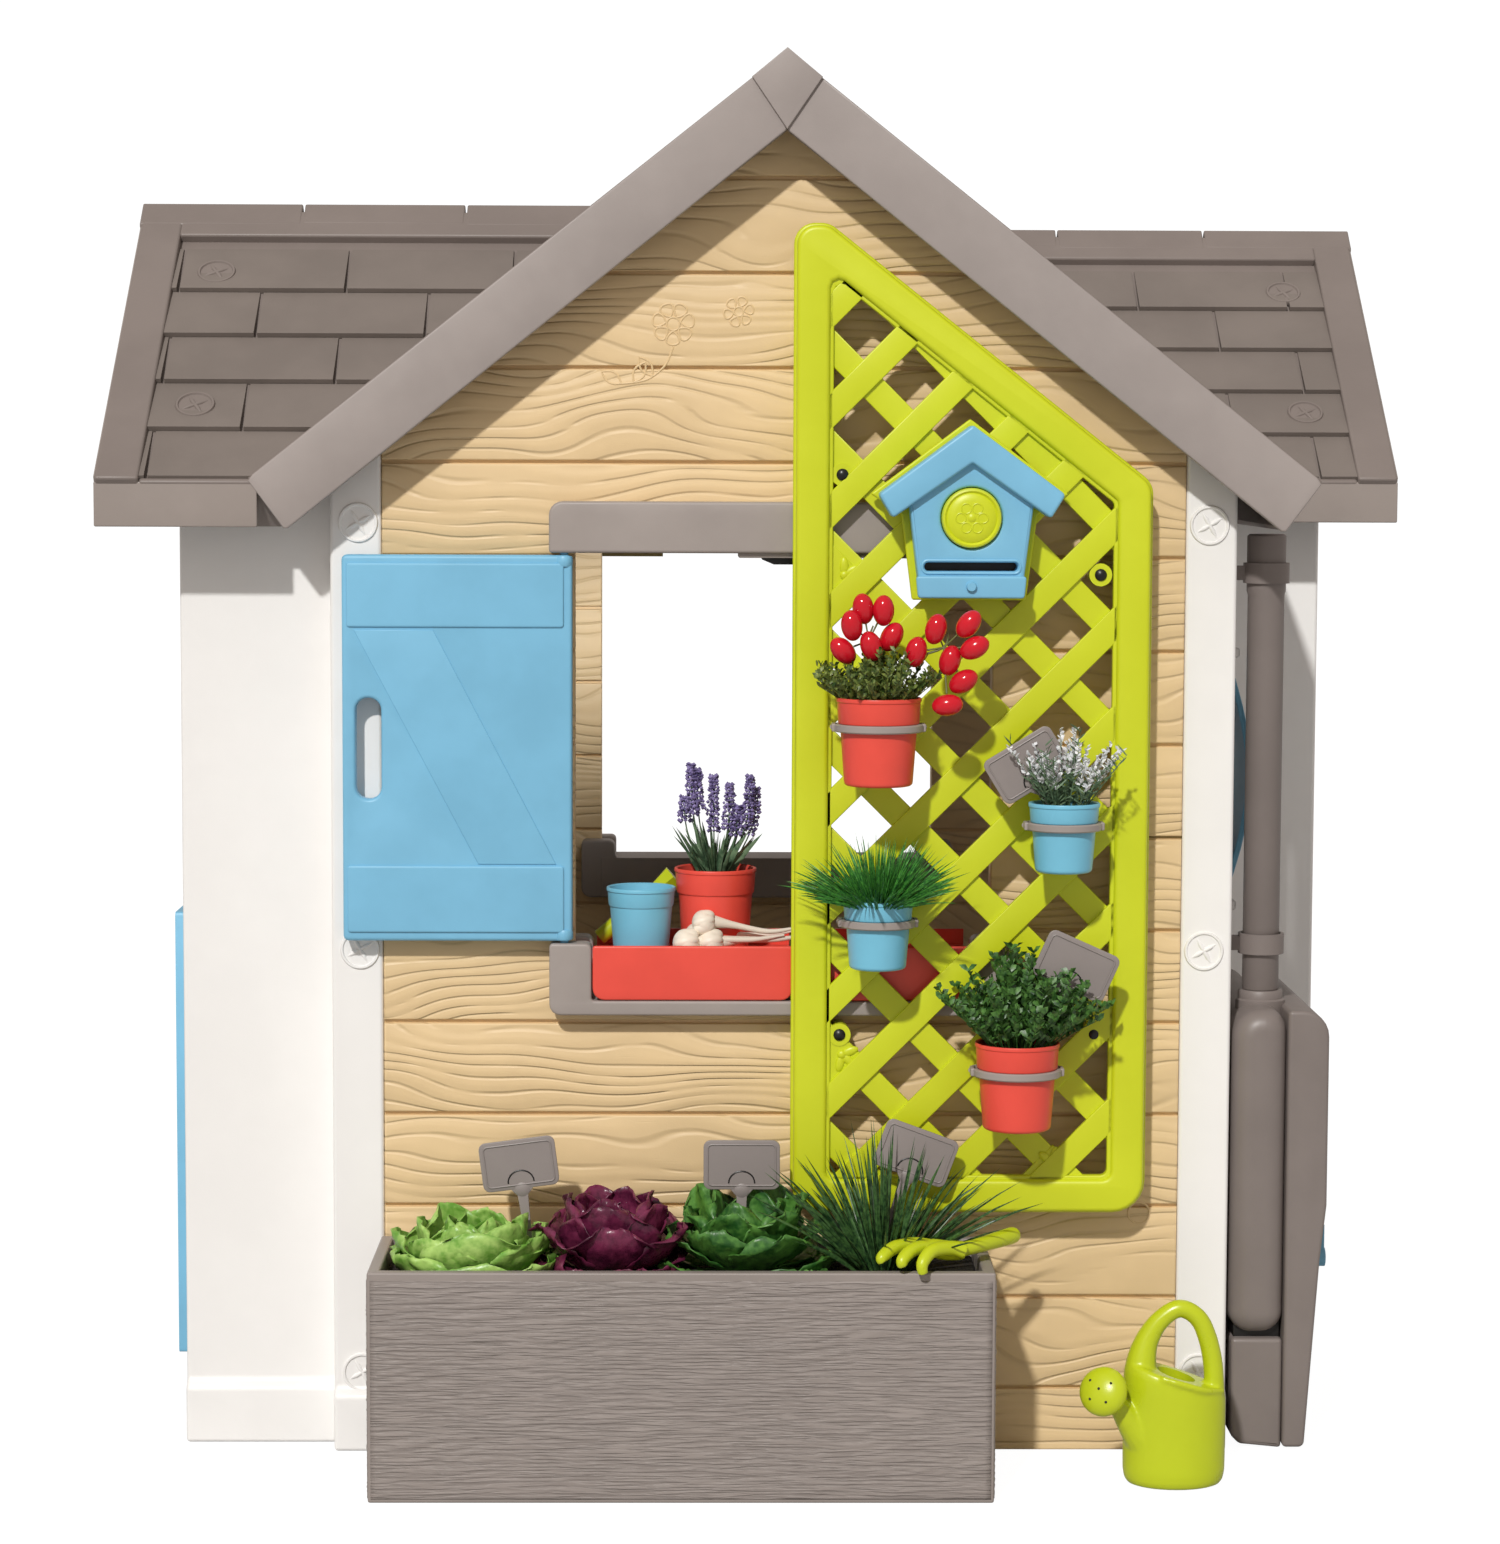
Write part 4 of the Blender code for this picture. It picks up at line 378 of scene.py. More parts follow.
def gridFaces(shape, grid):
    for lower, upper in zip(grid, grid[1:]):
        for column in range(len(lower) - 1):
            shape.faces.new((lower[column], lower[column + 1], upper[column + 1], upper[column]))


# Faces all the way round between two rings with the same count.
def sideFaces(shape, first, second):
    for index in range(len(first)):
        after = (index + 1) % len(first)
        shape.faces.new((first[index], first[after], second[after], second[index]))


def evaluatedMesh(piece):
    bpy.context.view_layer.update()
    return bpy.data.meshes.new_from_object(piece.evaluated_get(bpy.context.evaluated_depsgraph_get()))


def curveToMesh(piece, name, material):
    data = evaluatedMesh(piece)
    data.transform(piece.matrix_world)
    bpy.data.objects.remove(piece, do_unlink=True)
    shape = bmesh.new()
    shape.from_mesh(data)
    bmesh.ops.remove_doubles(shape, verts=shape.verts, dist=0.00002)
    return meshPiece(name, shape, material)


# A flat piece with rounded edges. Loops inside another are holes.
def softPlate(name, loops, plane, near, far, edge, material, rings=2):
    turn, normal = planeTurns[plane]
    outline = bpy.data.curves.new(name, "CURVE")
    outline.dimensions = "2D"
    outline.fill_mode = "BOTH"
    outline.extrude = max((far - near) / 2 - edge, 0)
    outline.bevel_depth = edge
    outline.bevel_resolution = rings
    outline.offset = -edge
    for loop in loops:
        spline = outline.splines.new("POLY")
        spline.points.add(len(loop) - 1)
        for point, (across, up) in zip(spline.points, loop):
            point.co = (across, up, 0, 1)
        spline.use_cyclic_u = True
    piece = addObject(name + "Outline", outline)
    piece.rotation_euler = turn
    piece.location = normal * (near + far) / 2
    return curveToMesh(piece, name, material)


def tubePiece(name, points, radius, material, radii=None, rings=4, closed=False):
    path = bpy.data.curves.new(name, "CURVE")
    path.dimensions = "3D"
    path.bevel_depth = radius
    path.bevel_resolution = rings
    path.use_fill_caps = True
    spline = path.splines.new("POLY")
    spline.points.add(len(points) - 1)
    for index, (point, place) in enumerate(zip(spline.points, points)):
        point.co = (*place, 1)
        point.radius = radii[index] if radii else 1.0
    spline.use_cyclic_u = closed
    return curveToMesh(addObject(name + "Path", path), name, material)


def turnTo(axis):
    return Vector((0, 0, 1)).rotation_difference(Vector(axis)).to_matrix()


def aimShape(shape, axis, centre):
    bmesh.ops.rotate(shape, cent=(0, 0, 0), matrix=turnTo(axis), verts=shape.verts)
    bmesh.ops.translate(shape, vec=centre, verts=shape.verts)


# Turns a profile of (radius, height) about the axis.
def lathe(name, profile, centre, material, steps=48, axis=(0, 0, 1), angle=35):
    shape = bmesh.new()
    ring = [shape.verts.new((radius, 0, height)) for radius, height in profile]
    edges = [shape.edges.new(pair) for pair in zip(ring, ring[1:])]
    bmesh.ops.spin(shape, geom=ring + edges, cent=(0, 0, 0), axis=(0, 0, 1), dvec=(0, 0, 0),
                   angle=2 * math.pi, steps=steps, use_merge=True)
    bmesh.ops.remove_doubles(shape, verts=shape.verts, dist=0.00002)
    aimShape(shape, axis, centre)
    return meshPiece(name, shape, material, angle)


def softEdge(piece, width, segments, angle):
    soft = piece.modifiers.new("soft edge", "BEVEL")
    soft.width = width
    soft.segments = segments
    soft.limit_method = "ANGLE"
    soft.angle_limit = math.radians(angle)
    return soft


# The CAD solid with its edges rounded.
def softCopy(node, width, material, segments=3, angle=35):
    shape = bmesh.new()
    shape.from_mesh(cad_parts[node].data)
    bmesh.ops.remove_doubles(shape, verts=shape.verts, dist=0.00002)
    bmesh.ops.dissolve_limit(shape, angle_limit=0.01, verts=shape.verts, edges=shape.edges)
    piece = meshPiece(node + "Soft", shape, material, angle)
    softEdge(piece, width, segments, angle).harden_normals = True
    return piece


# Rides the piece on its body and hides the CAD parts that it stands for.
def settle(piece, body, slotName, *nodes):
    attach(piece, body)
    if nodes:
        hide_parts(*nodes)
    return piece


def aboutMiddle(turn):
    centre = Vector((0, middleY, 0))
    return Matrix.Translation(centre) @ Matrix.Rotation(turn, 4, "Z") @ Matrix.Translation(-centre)


# Moves a piece to the other half of the house, which is the same shape turned half a turn.
def turnPiece(piece, turn):
    if turn:
        piece.data.transform(aboutMiddle(turn))
    return piece


# The angles of a sweep cut into equal steps, with both ends.
def fan(sweep, steps):
    return [sweep * step / steps for step in range(steps + 1)]


def circle(x, z, radius, steps=40):
    return [(x + radius * math.cos(turn), z + radius * math.sin(turn))
            for turn in fan(2 * math.pi, steps)[:-1]]


def rect(left, right, bottom, top):
    return [(left, bottom), (right, bottom), (right, top), (left, top)]


def rounded(corners, radii, steps=5):
    points = []
    count = len(corners)
    if not isinstance(radii, list):
        radii = [radii] * count
    for index, (corner, radius) in enumerate(zip(corners, radii)):
        here = Vector(corner)
        before = (Vector(corners[index - 1]) - here).normalized()
        after = (Vector(corners[(index + 1) % count]) - here).normalized()
        half = before.angle(after) / 2
        centre = here + (before + after).normalized() * (radius / math.sin(half))
        start = here + before * (radius / math.tan(half)) - centre
        end = here + after * (radius / math.tan(half)) - centre
        sweep = start.angle_signed(end)
        for step in range(steps + 1):
            turn = -sweep * step / steps
            points.append((centre.x + start.x * math.cos(turn) - start.y * math.sin(turn),
                           centre.y + start.x * math.sin(turn) + start.y * math.cos(turn)))
    return points


# What lies on the left of the line from start to end.
def clip(points, start, end):
    start, end = Vector(start), Vector(end)
    along = end - start
    kept = []
    for index, point in enumerate(points):
        here, there = Vector(point), Vector(points[(index + 1) % len(points)])
        a, b = along.cross(here - start), along.cross(there - start)
        if a >= 0:
            kept.append(tuple(here))
        if (a > 0) != (b > 0) and abs(a - b) > 1e-12:
            kept.append(tuple(here + (there - here) * (a / (a - b))))
    return kept


def clipTo(points, field):
    for index, corner in enumerate(field):
        if len(points) > 2:
            points = clip(points, corner, field[(index + 1) % len(field)])
    return points


def area(points):
    return sum(a[0] * b[1] - b[0] * a[1] for a, b in zip(points, points[1:] + points[:1])) / 2


def inset(corners, distance):
    count = len(corners)
    moved = []
    for index in range(count):
        before, here = Vector(corners[index - 1]), Vector(corners[index])
        after = Vector(corners[(index + 1) % count])
        first, second = (here - before).normalized(), (after - here).normalized()
        inward = Vector((-first.y - second.y, first.x + second.x)).normalized()
        moved.append(tuple(here + inward * (distance / math.cos(first.angle(second) / 2))))
    return moved


# Joins several meshes into one object.
def joinMeshes(name, pieces, material, angle=40):
    shape = bmesh.new()
    for piece in pieces:
        data = evaluatedMesh(piece)
        data.transform(piece.matrix_world)
        shape.from_mesh(data)
        bpy.data.meshes.remove(data)
        bpy.data.objects.remove(piece, do_unlink=True)
    return meshPiece(name, shape, material, angle)


# Melts several closed shapes into one smooth moulding.
def moulded(name, pieces, voxel, smooth, material):
    piece = joinMeshes(name, pieces, material)
    melt = piece.modifiers.new("melt", "REMESH")
    melt.mode = "VOXEL"
    melt.voxel_size = voxel
    melt.use_smooth_shade = True
    relax = piece.modifiers.new("relax", "SMOOTH")
    relax.factor = 0.5
    relax.iterations = smooth
    data = evaluatedMesh(piece)
    bpy.data.objects.remove(piece, do_unlink=True)
    data.shade_smooth()
    return linkPiece(name, data, material)


# A smooth curve through the points, which may carry a radius as a fourth number.
def smoothPath(points, steps=6):
    result = []
    count = len(points)
    for index in range(count - 1):
        p0, p1 = Vector(points[max(index - 1, 0)]), Vector(points[index])
        p2, p3 = Vector(points[index + 1]), Vector(points[min(index + 2, count - 1)])
        for step in range(steps):
            t = step / steps
            result.append(0.5 * (2 * p1 + (p2 - p0) * t + (2 * p0 - 5 * p1 + 4 * p2 - p3) * t * t +
                                 (3 * p1 - p0 - 3 * p2 + p3) * t ** 3))
    result.append(Vector(points[-1]))
    return result


def taperedTube(name, points, material, steps=6):
    route = smoothPath(points, steps)
    thick = max(point[3] for point in route)
    return tubePiece(name, [point.xyz for point in route], thick, material,
                     [point[3] / thick for point in route], 5)


def ellipsoid(name, centre, radii, axis, material):
    shape = bmesh.new()
    bmesh.ops.create_icosphere(shape, subdivisions=4, radius=1)
    bmesh.ops.scale(shape, vec=radii, verts=shape.verts)
    aimShape(shape, axis, centre)
    return meshPiece(name, shape, material)


opening = {"sill": 0.478, "head": 0.886, "half": 0.203}
boards = {
    "start": 0.063,
    "pitch": 0.091,
    "groove": 0.0032,
    "face": 0.012,
    "edge": 0.0022,
    "core": 0.01,
    "roofGap": 0.009,
    "slots": ((10, -0.177, -0.117), (2, -0.216, -0.117), (7, 0.352, 0.392)),
    "notch": 0.004,
}


# The gable as far up as the roof leaves room for it.
def gableOutline():
    def below(x):
        return ridgeZ - slope * abs(x) - boards["roofGap"] * steep
    return [(-boardHalf, 0), (boardHalf, 0), (boardHalf, below(boardHalf)), (0, below(0)),
            (-boardHalf, below(boardHalf))]


# One outline for each board, cut by the gable and by the window.
def boardLoops():
    loops = []
    sill, head, half = opening["sill"], opening["head"], opening["half"]
    count = math.ceil((ridgeZ - boards["start"]) / boards["pitch"])
    gap = boards["groove"] / 2
    for row in range(-1, count):
        low = 0.0 if row < 0 else boards["start"] + row * boards["pitch"] + gap
        high = boards["start"] + (row + 1) * boards["pitch"] - gap
        band = clipTo(gableOutline(), rect(-1, 1, low, high))
        if len(band) < 3 or area(band) < 0.0004:
            continue
        if high <= sill or low >= head:
            loops.append(notched(band, row, low))
        elif low >= sill and high <= head:
            loops.append(clipTo(band, rect(-1, -half, low, high)))
            loops.append(clipTo(band, rect(half, 1, low, high)))
        elif low < sill:
            loops.append([(-boardHalf, low), (boardHalf, low), (boardHalf, high), (half, high),
                          (half, sill), (-half, sill), (-half, high), (-boardHalf, high)])
        else:
            loops.append([(-boardHalf, low), (-half, low), (-half, head), (half, head),
                          (half, low), (boardHalf, low), (boardHalf, high), (-boardHalf, high)])
    return loops


# Cuts the short slots into a board's lower edge.
def notched(band, row, low):
    for slotRow, left, right in boards["slots"]:
        if slotRow == row + 1:
            start = [index for index, point in enumerate(band)
                     if abs(point[1] - low) < 1e-6 and point[0] < left]
            if start:
                spot = start[-1] + 1
                top = low + boards["notch"]
                cut = rounded([(left, low), (left, top), (right, top), (right, low)], 0.0015, 2)
                band = band[:spot] + cut + band[spot:]
    return band


def buildBoardedWall(name, node, turn):
    low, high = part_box(node)
    back = wallFront + high.y - low.y
    face, edge, core = boards["face"], boards["edge"], boards["core"] / 2
    skins = [softPlate(name + label, boardLoops(), "front", near, near + face, edge, "beige")
             for label, near in (("Boards", wallFront), ("InnerBoards", back - face))]
    hole = rect(-opening["half"], opening["half"], opening["sill"], opening["head"])
    middle = softPlate(name + "Core", [gableOutline(), hole], "front", wallFront + core, back - core,
                       0.0005, "beigePlain")
    settle(turnPiece(joinMeshes(name, skins, "beige"), turn), shell, "wall_beige", node)
    settle(turnPiece(middle, turn), shell, "wall_beige")


# A dark plate in each short slot: painted shade in the recess.
def buildSlots():
    plates = []
    near, far, margin, tall = wallFront + 0.0032, wallFront + 0.006, 0.0006, 0.0055
    for index, (row, left, right) in enumerate(boards["slots"]):
        low = boards["start"] + (row - 1) * boards["pitch"]
        slot = rect(left + margin, right - margin, low, low + tall)
        plates.append(softPlate(f"boardSlot{index}", [slot], "front", near, far, 0.0004, "slot"))
    settle(joinMeshes("boardSlots", plates, "slot"), shell, "wall_beige")


gableRelief = {
    "line": 0.0011,
    "flowers": ((-0.108, 1.106, 0.021, 7), (-0.045, 1.118, 0.015, 6)),
    "stem": ((-0.108, 1.084), (-0.116, 1.066), (-0.135, 1.052), (-0.165, 1.048)),
    "leaves": ((-0.128, 1.056, 125), (-0.146, 1.05, 60), (-0.158, 1.049, 150)),
    "leafLength": 0.022,
    "leafHalf": 0.0055,
    "ring": (0.352, 0.238, 0.0105),
}


# A plain flower and a sprig of leaves raised on the gable boards.
def buildGableRelief():
    y = wallFront + 0.0003
    strokes = []

    def ring(x, z, radius, steps):
        points = circle(x, z, radius, steps)
        strokes.append([(a, y, b) for a, b in points + points[:1]])

    # One half of a leaf as (out, aside), mirrored and turned about its root.
    def leaf(x, z, turn, half):
        ahead, up = math.cos(turn), math.sin(turn)
        outline = half + [(out, -side) for out, side in reversed(half)]
        strokes.append([(x + ahead * out - up * side, y, z + up * out + ahead * side)
                        for out, side in outline])

    for x, z, size, petals in gableRelief["flowers"]:
        ring(x, z, size * 0.3, 18)
        half = [(size * (0.34 + 0.62 * math.sin(share / 2) ** 1.2), size * 0.3 * math.sin(share))
                for share in fan(math.pi, 14)]
        for petal in range(petals):
            leaf(x, z, 2 * math.pi * petal / petals + 0.2, half)
    strokes.append([tuple(point) for point in smoothPath([(x, y, z) for x, z in gableRelief["stem"]], 5)])
    ring(*gableRelief["ring"], 24)
    half = [(gableRelief["leafLength"] * step / 8, gableRelief["leafHalf"] * math.sin(math.pi * step / 8))
            for step in range(9)]
    for x, z, angle in gableRelief["leaves"]:
        leaf(x, z, math.radians(angle), half)
    lines = [tubePiece(f"reliefLine{index}", stroke, gableRelief["line"], "beigePlain", None, 2)
             for index, stroke in enumerate(strokes)]
    settle(joinMeshes("gableRelief", lines, "beigePlain"), shell, "wall_beige")


buildBoardedWall("frontWallBoards", "front_wall", 0)
buildBoardedWall("rearWallBoards", "rear_wall", math.pi)
buildGableRelief()
buildSlots()
print("boarded walls")

screwCap = {
    "radius": 0.0195,
    "height": 0.0022,
    "root": 0.003,
    "ring": 0.0016,
    "arm": 0.0135,
    "armHalf": 0.0019,
    "turn": 30,
    "postX": 0.4125,
    "postHeights": (0.914, 0.498, 0.078),
    "roofX": -0.574,
    "roofHeights": (1.159, 1.023),
    "roofLift": 0.005,
}


# A round plug with a raised ring and a four-armed cross.
def buildScrewCap(name, centre, normal, material):
    r, h, ring, root = [screwCap[key] for key in ("radius", "height", "ring", "root")]
    profile = [(0.0, h * 0.25), (r - 2.2 * ring, h * 0.25), (r - 1.6 * ring, h), (r - 0.6 * ring, h),
               (r, h * 0.2), (r, -root), (0.0, -root)]
    pieces = [lathe(name + "Disc", profile, (0, 0, 0), material, 36)]
    base = Vector((0, 0, h * 0.1))
    for quarter in range(4):
        turn = math.radians(screwCap["turn"] + 90 * quarter)
        tip = Vector((math.cos(turn), math.sin(turn), 0)) * screwCap["arm"]
        pieces.append(tubePiece(f"{name}Arm{quarter}", [base, tip * 0.5 + base, tip], screwCap["armHalf"],
                                material, [1.0, 1.25, 0.45], 3))
    piece = joinMeshes(name, pieces, material, 50)
    piece.data.transform(Matrix.Translation(centre) @ turnTo(normal).to_4x4())
    return piece


def buildPosts():
    for side, label in ((-1, "Left"), (1, "Right")):
        for end, turn in (("Front", 0), ("Rear", math.pi)):
            for index, z in enumerate(screwCap["postHeights"]):
                cap = buildScrewCap(f"screwCap{end}{label}{index}", (side * screwCap["postX"], wallFront, z),
                                    (0, -1, 0), "white")
                settle(turnPiece(cap, turn), shell, "panel_white")
    for mark in ("corner_post", "_wing_"):
        for node in [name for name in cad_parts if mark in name]:
            settle(softCopy(node, 0.004, "white"), shell, "panel_white", node)


stoneLook = {
    "rows": 13,
    "lengths": (0.055, 0.11),
    "shortest": 0.03,
    "joint": 0.003,
    "corner": 0.012,
    "raised": 0.006,
    "edge": 0.0045,
    "window": (0.66, 0.86, 0.558, 0.763),
    "besideWindow": 0.012,
    "overWindow": 0.035,
}


# Rounded stones in rows on the outer face, round the small window.
def buildStoneWall(label, turn, node):
    random.seed(21)
    low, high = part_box("left_side_wall")
    face, joint = -cabinHalf, stoneLook["joint"]
    near, far, sill, head = stoneLook["window"]
    beside, over = stoneLook["besideWindow"], stoneLook["overWindow"]
    loops = []
    rowHeight = (high.z - 0.03) / stoneLook["rows"]
    for row in range(stoneLook["rows"]):
        y = low.y + 0.034
        z0, z1 = 0.01 + row * rowHeight, 0.01 + (row + 1) * rowHeight
        while y < high.y - 0.02:
            end = min(y + random.uniform(*stoneLook["lengths"]), high.y - 0.004)
            apart = (end < atHouse(near) - beside or y > atHouse(far) + beside
                     or z1 < sill - over or z0 > head + over)
            if apart and end - y > stoneLook["shortest"]:
                stone = rect(y + joint, end - joint, z0 + joint, z1 - joint)
                loops.append(rounded(stone, stoneLook["corner"], 3))
            y = end
    stones = softPlate(label + "Stones", loops, "side", face - stoneLook["raised"], face + 0.004,
                       stoneLook["edge"], "stone")
    settle(turnPiece(stones, turn), shell, "stone_wall")
    settle(softCopy(node, 0.003, "stone"), shell, "stone_wall", node)


buildPosts()
buildStoneWall("leftWall", 0, "left_side_wall")
buildStoneWall("rightWall", math.pi, "right_side_wall")
print("posts and panels")

roofing = {
    "rowPitch": 0.0756,
    "tile": 0.169,
    "gap": 0.0034,
    "firstRow": 0.006,
    "highEdge": 0.0075,
    "lowEdge": 0.0022,
    "rim": 0.042,
    "rimHeight": 0.0095,
    "lip": 0.0045,
    "lipWide": 0.007,
    "under": -0.004,
    "cap": 0.034,
    "capHeight": 0.0125,
    "capLength": 0.172,
    "capThick": 0.0055,
    "capJoint": 0.0022,
    "narrowCap": 0.94,
    "topBand": 0.046,
    "topRecess": 0.061,
    "phases": {"wingFront": 0.287, "wingRear": 0.467, "main": 0.25},
}
eave = house["eaveHeight"]
valleyEnd = 2 * wingMid - vergeY
farVerge = wallBack + house["vergeOverhang"]


# A roof plane with its own across and up-slope directions.
class Slope:
    def __init__(self, origin, across, up):
        self.origin = Vector(origin)
        self.across = Vector(across).normalized()
        self.up = Vector(up).normalized()
        self.normal = self.across.cross(self.up).normalized()

    def flat(self, place):
        offset = Vector(place) - self.origin
        return (offset.dot(self.across), offset.dot(self.up))

    def place(self, u, v, height):
        return self.origin + self.across * u + self.up * v + self.normal * height


wingFrontSlope = Slope((roofEnd, vergeY, eave), (1, 0, 0), (0, 1, slope))
wingRearSlope = Slope((-valleyX, valleyEnd, eave), (-1, 0, 0), (0, -1, slope))
mainSlope = Slope((-eaveHalf, farVerge, eave), (0, -1, 0), (1, 0, slope))


# A slab whose top height may change up the slope.
def addSlab(shape, plane, outline, top):
    if area(outline) < 0:
        outline = outline[::-1]
    base = [shape.verts.new(plane.place(u, v, roofing["under"])) for u, v in outline]
    lid = [shape.verts.new(plane.place(u, v, top(v))) for u, v in outline]
    shape.faces.new(lid)
    shape.faces.new(base[::-1])
    sideFaces(shape, base, lid)


# The shingled fields of the roof's left half, each with its plane and the shift of its rows.
def leftFields():
    rim, recess = roofing["rim"], roofing["topRecess"]
    capIn = recess / steep
    capZ, capTop = wingRidgeZ - recess * slope / steep, ridgeZ - slope * capIn
    rimX, foldX, frontY, backY = roofEnd + rim, -valleyX - capIn, wingMid - capIn, wingMid + capIn
    valley = (-valleyX, wingMid, ridgeZ - slope * valleyX)
    corner = eaveHalf - 0.012
    fields = (
        (wingFrontSlope, "wingFront", [(rimX, vergeY, eave), (-eaveHalf, vergeY, eave),
                                       (foldX, frontY, capZ), (rimX, frontY, capZ)]),
        (wingRearSlope, "wingRear", [(-eaveHalf, valleyEnd, eave), (rimX, valleyEnd, eave),
                                     (rimX, backY, capZ), (foldX, backY, capZ)]),
        (mainSlope, "main", [(-corner, vergeY + rim, ridgeZ - slope * corner), (-capIn, vergeY + rim, capTop),
                             (-capIn, wingMid, capTop), valley]),
        (mainSlope, "main", [valley, (-capIn, wingMid, capTop), (-capIn, farVerge - rim, capTop),
                             (-eaveHalf, farVerge - rim, eave), (-eaveHalf, valleyEnd, eave)]),
    )
    return [(plane, [plane.flat(point) for point in points], roofing["phases"][phase])
            for plane, phase, points in fields]


def settleRoof(name, shape, material, turn, edge, segments, angle=35):
    piece = meshPiece(name, shape, material, 30)
    softEdge(piece, edge, segments, angle)
    piece.data.transform(aboutMiddle(turn))
    settle(piece, shell, "roof_grey")


# Lapped shingles, each row thicker at its lower edge.
def buildShingles(name, turn):
    shape = bmesh.new()
    pitch, tile, gap = roofing["rowPitch"], roofing["tile"], roofing["gap"]
    thick, thin = roofing["highEdge"], roofing["lowEdge"]
    for plane, field, phase in leftFields():
        if area(field) < 0:
            field = field[::-1]
        us, vs = zip(*field)
        for row in range(math.ceil(max(vs) / pitch) + 1):
            low = roofing["firstRow"] + row * pitch
            shift = (phase + 0.5 * (row % 2)) * tile
            first = math.floor((min(us) - shift) / tile)
            last = math.ceil((max(us) - shift) / tile)
            for column in range(first, last + 1):
                left = shift + column * tile
                cell = rect(left + gap / 2, left + tile - gap / 2, low, low + pitch - 0.0006)
                outline = clipTo(cell, field)
                if len(outline) > 2 and area(outline) >= 0.00012:
                    addSlab(shape, plane, outline, lambda v: thick + (thin - thick) * (v - low) / pitch)
    settleRoof(name, shape, "shingle", turn, 0.0011, 2)


# Smooth raised borders along the verges, eaves and ridges.
def buildRims(name, turn):
    shape = bmesh.new()
    rim, band, lipWide = roofing["rim"], roofing["topBand"], roofing["lipWide"]
    full, wingFull = eaveHalf * steep, (wingMid - vergeY) * steep
    wide = -eaveHalf - roofEnd
    ends = wingRearSlope.flat((roofEnd, valleyEnd, eave))[0]
    start = mainSlope.flat((-eaveHalf, vergeY, eave))[0]
    top, low, lap, joint = wingFull - 0.003, wingFull - band, rim - 0.001, 0.002
    borders = (
        (wingFrontSlope, rect(0, rim, 0, wingFull - joint)),
        (wingRearSlope, rect(ends - rim, ends, 0, wingFull - joint)),
        (mainSlope, rect(start - rim, start, 0.0, full - joint)),
        (mainSlope, rect(0, rim, 0.0, full - joint)),
        (wingFrontSlope, [(lap, low), (rim + wide + wingFull - band, low),
                          (rim + wide + wingFull - 0.004, top), (lap, top)]),
        (wingRearSlope, [(ends - lap, low), (ends - lap, top), (0.004, top), (band, low)]),
        (mainSlope, rect(lap, start - lap, full - band, full - 0.003)),
    )
    for plane, outline in borders:
        addSlab(shape, plane, outline, lambda v: roofing["rimHeight"])
    lips = (
        (wingFrontSlope, rect(rim, rim + wide - 0.004, 0, lipWide)),
        (wingRearSlope, rect(ends - rim - wide + 0.004, ends - rim, 0, lipWide)),
        (mainSlope, rect(rim, farVerge - valleyEnd, 0, lipWide)),
    )
    for plane, outline in lips:
        addSlab(shape, plane, outline, lambda v: roofing["lip"])
    settleRoof(name, shape, "roof", turn, 0.0026, 3)


# One ridge cap: an angled saddle over the ridge line.
def addCap(shape, start, end, side, legs):
    (leftX, leftZ), (rightX, rightZ) = [(sign * leg / steep, -leg / steep * slope)
                                        for sign, leg in zip((-1, 1), legs)]
    lift, drop = roofing["capHeight"], roofing["capThick"] * 1.3
    outline = [(leftX, leftZ + lift), (0, lift + 0.001), (rightX, rightZ + lift),
               (rightX, rightZ + lift - drop), (0, lift - drop), (leftX, leftZ + lift - drop)]
    near, far = [[shape.verts.new(place + side * a + Vector((0, 0, b))) for a, b in outline]
                 for place in (start, end)]
    shape.faces.new(near)
    shape.faces.new(far[::-1])
    sideFaces(shape, far, near)


# Caps of nearly one length along both ridges, in turn wider to one side and to the other.
def buildRidgeCaps(name, turn):
    shape = bmesh.new()
    wide, narrow = roofing["cap"], roofing["narrowCap"]
    east, north, ahead, past, under = Vector((1, 0, 0)), Vector((0, 1, 0)), 0.0035, 0.002, 0.004
    ridges = (
        (Vector((0, vergeY - ahead, ridgeZ)), north, east, middleY - vergeY + ahead),
        (Vector((roofEnd - past, wingMid, wingRidgeZ)), east, north, -valleyX + under - roofEnd + past),
    )
    for origin, along, side, total in ridges:
        count = max(1, round(total / roofing["capLength"]))
        step = total / count
        for index in range(count):
            leg = wide if index % 2 == 0 else wide * narrow
            start = origin + along * (index * step)
            end = origin + along * ((index + 1) * step - roofing["capJoint"])
            addCap(shape, start, end, side, (leg, wide * (1 + narrow) - leg))
    settleRoof(name, shape, "roof", turn, 0.0018, 3, 25)


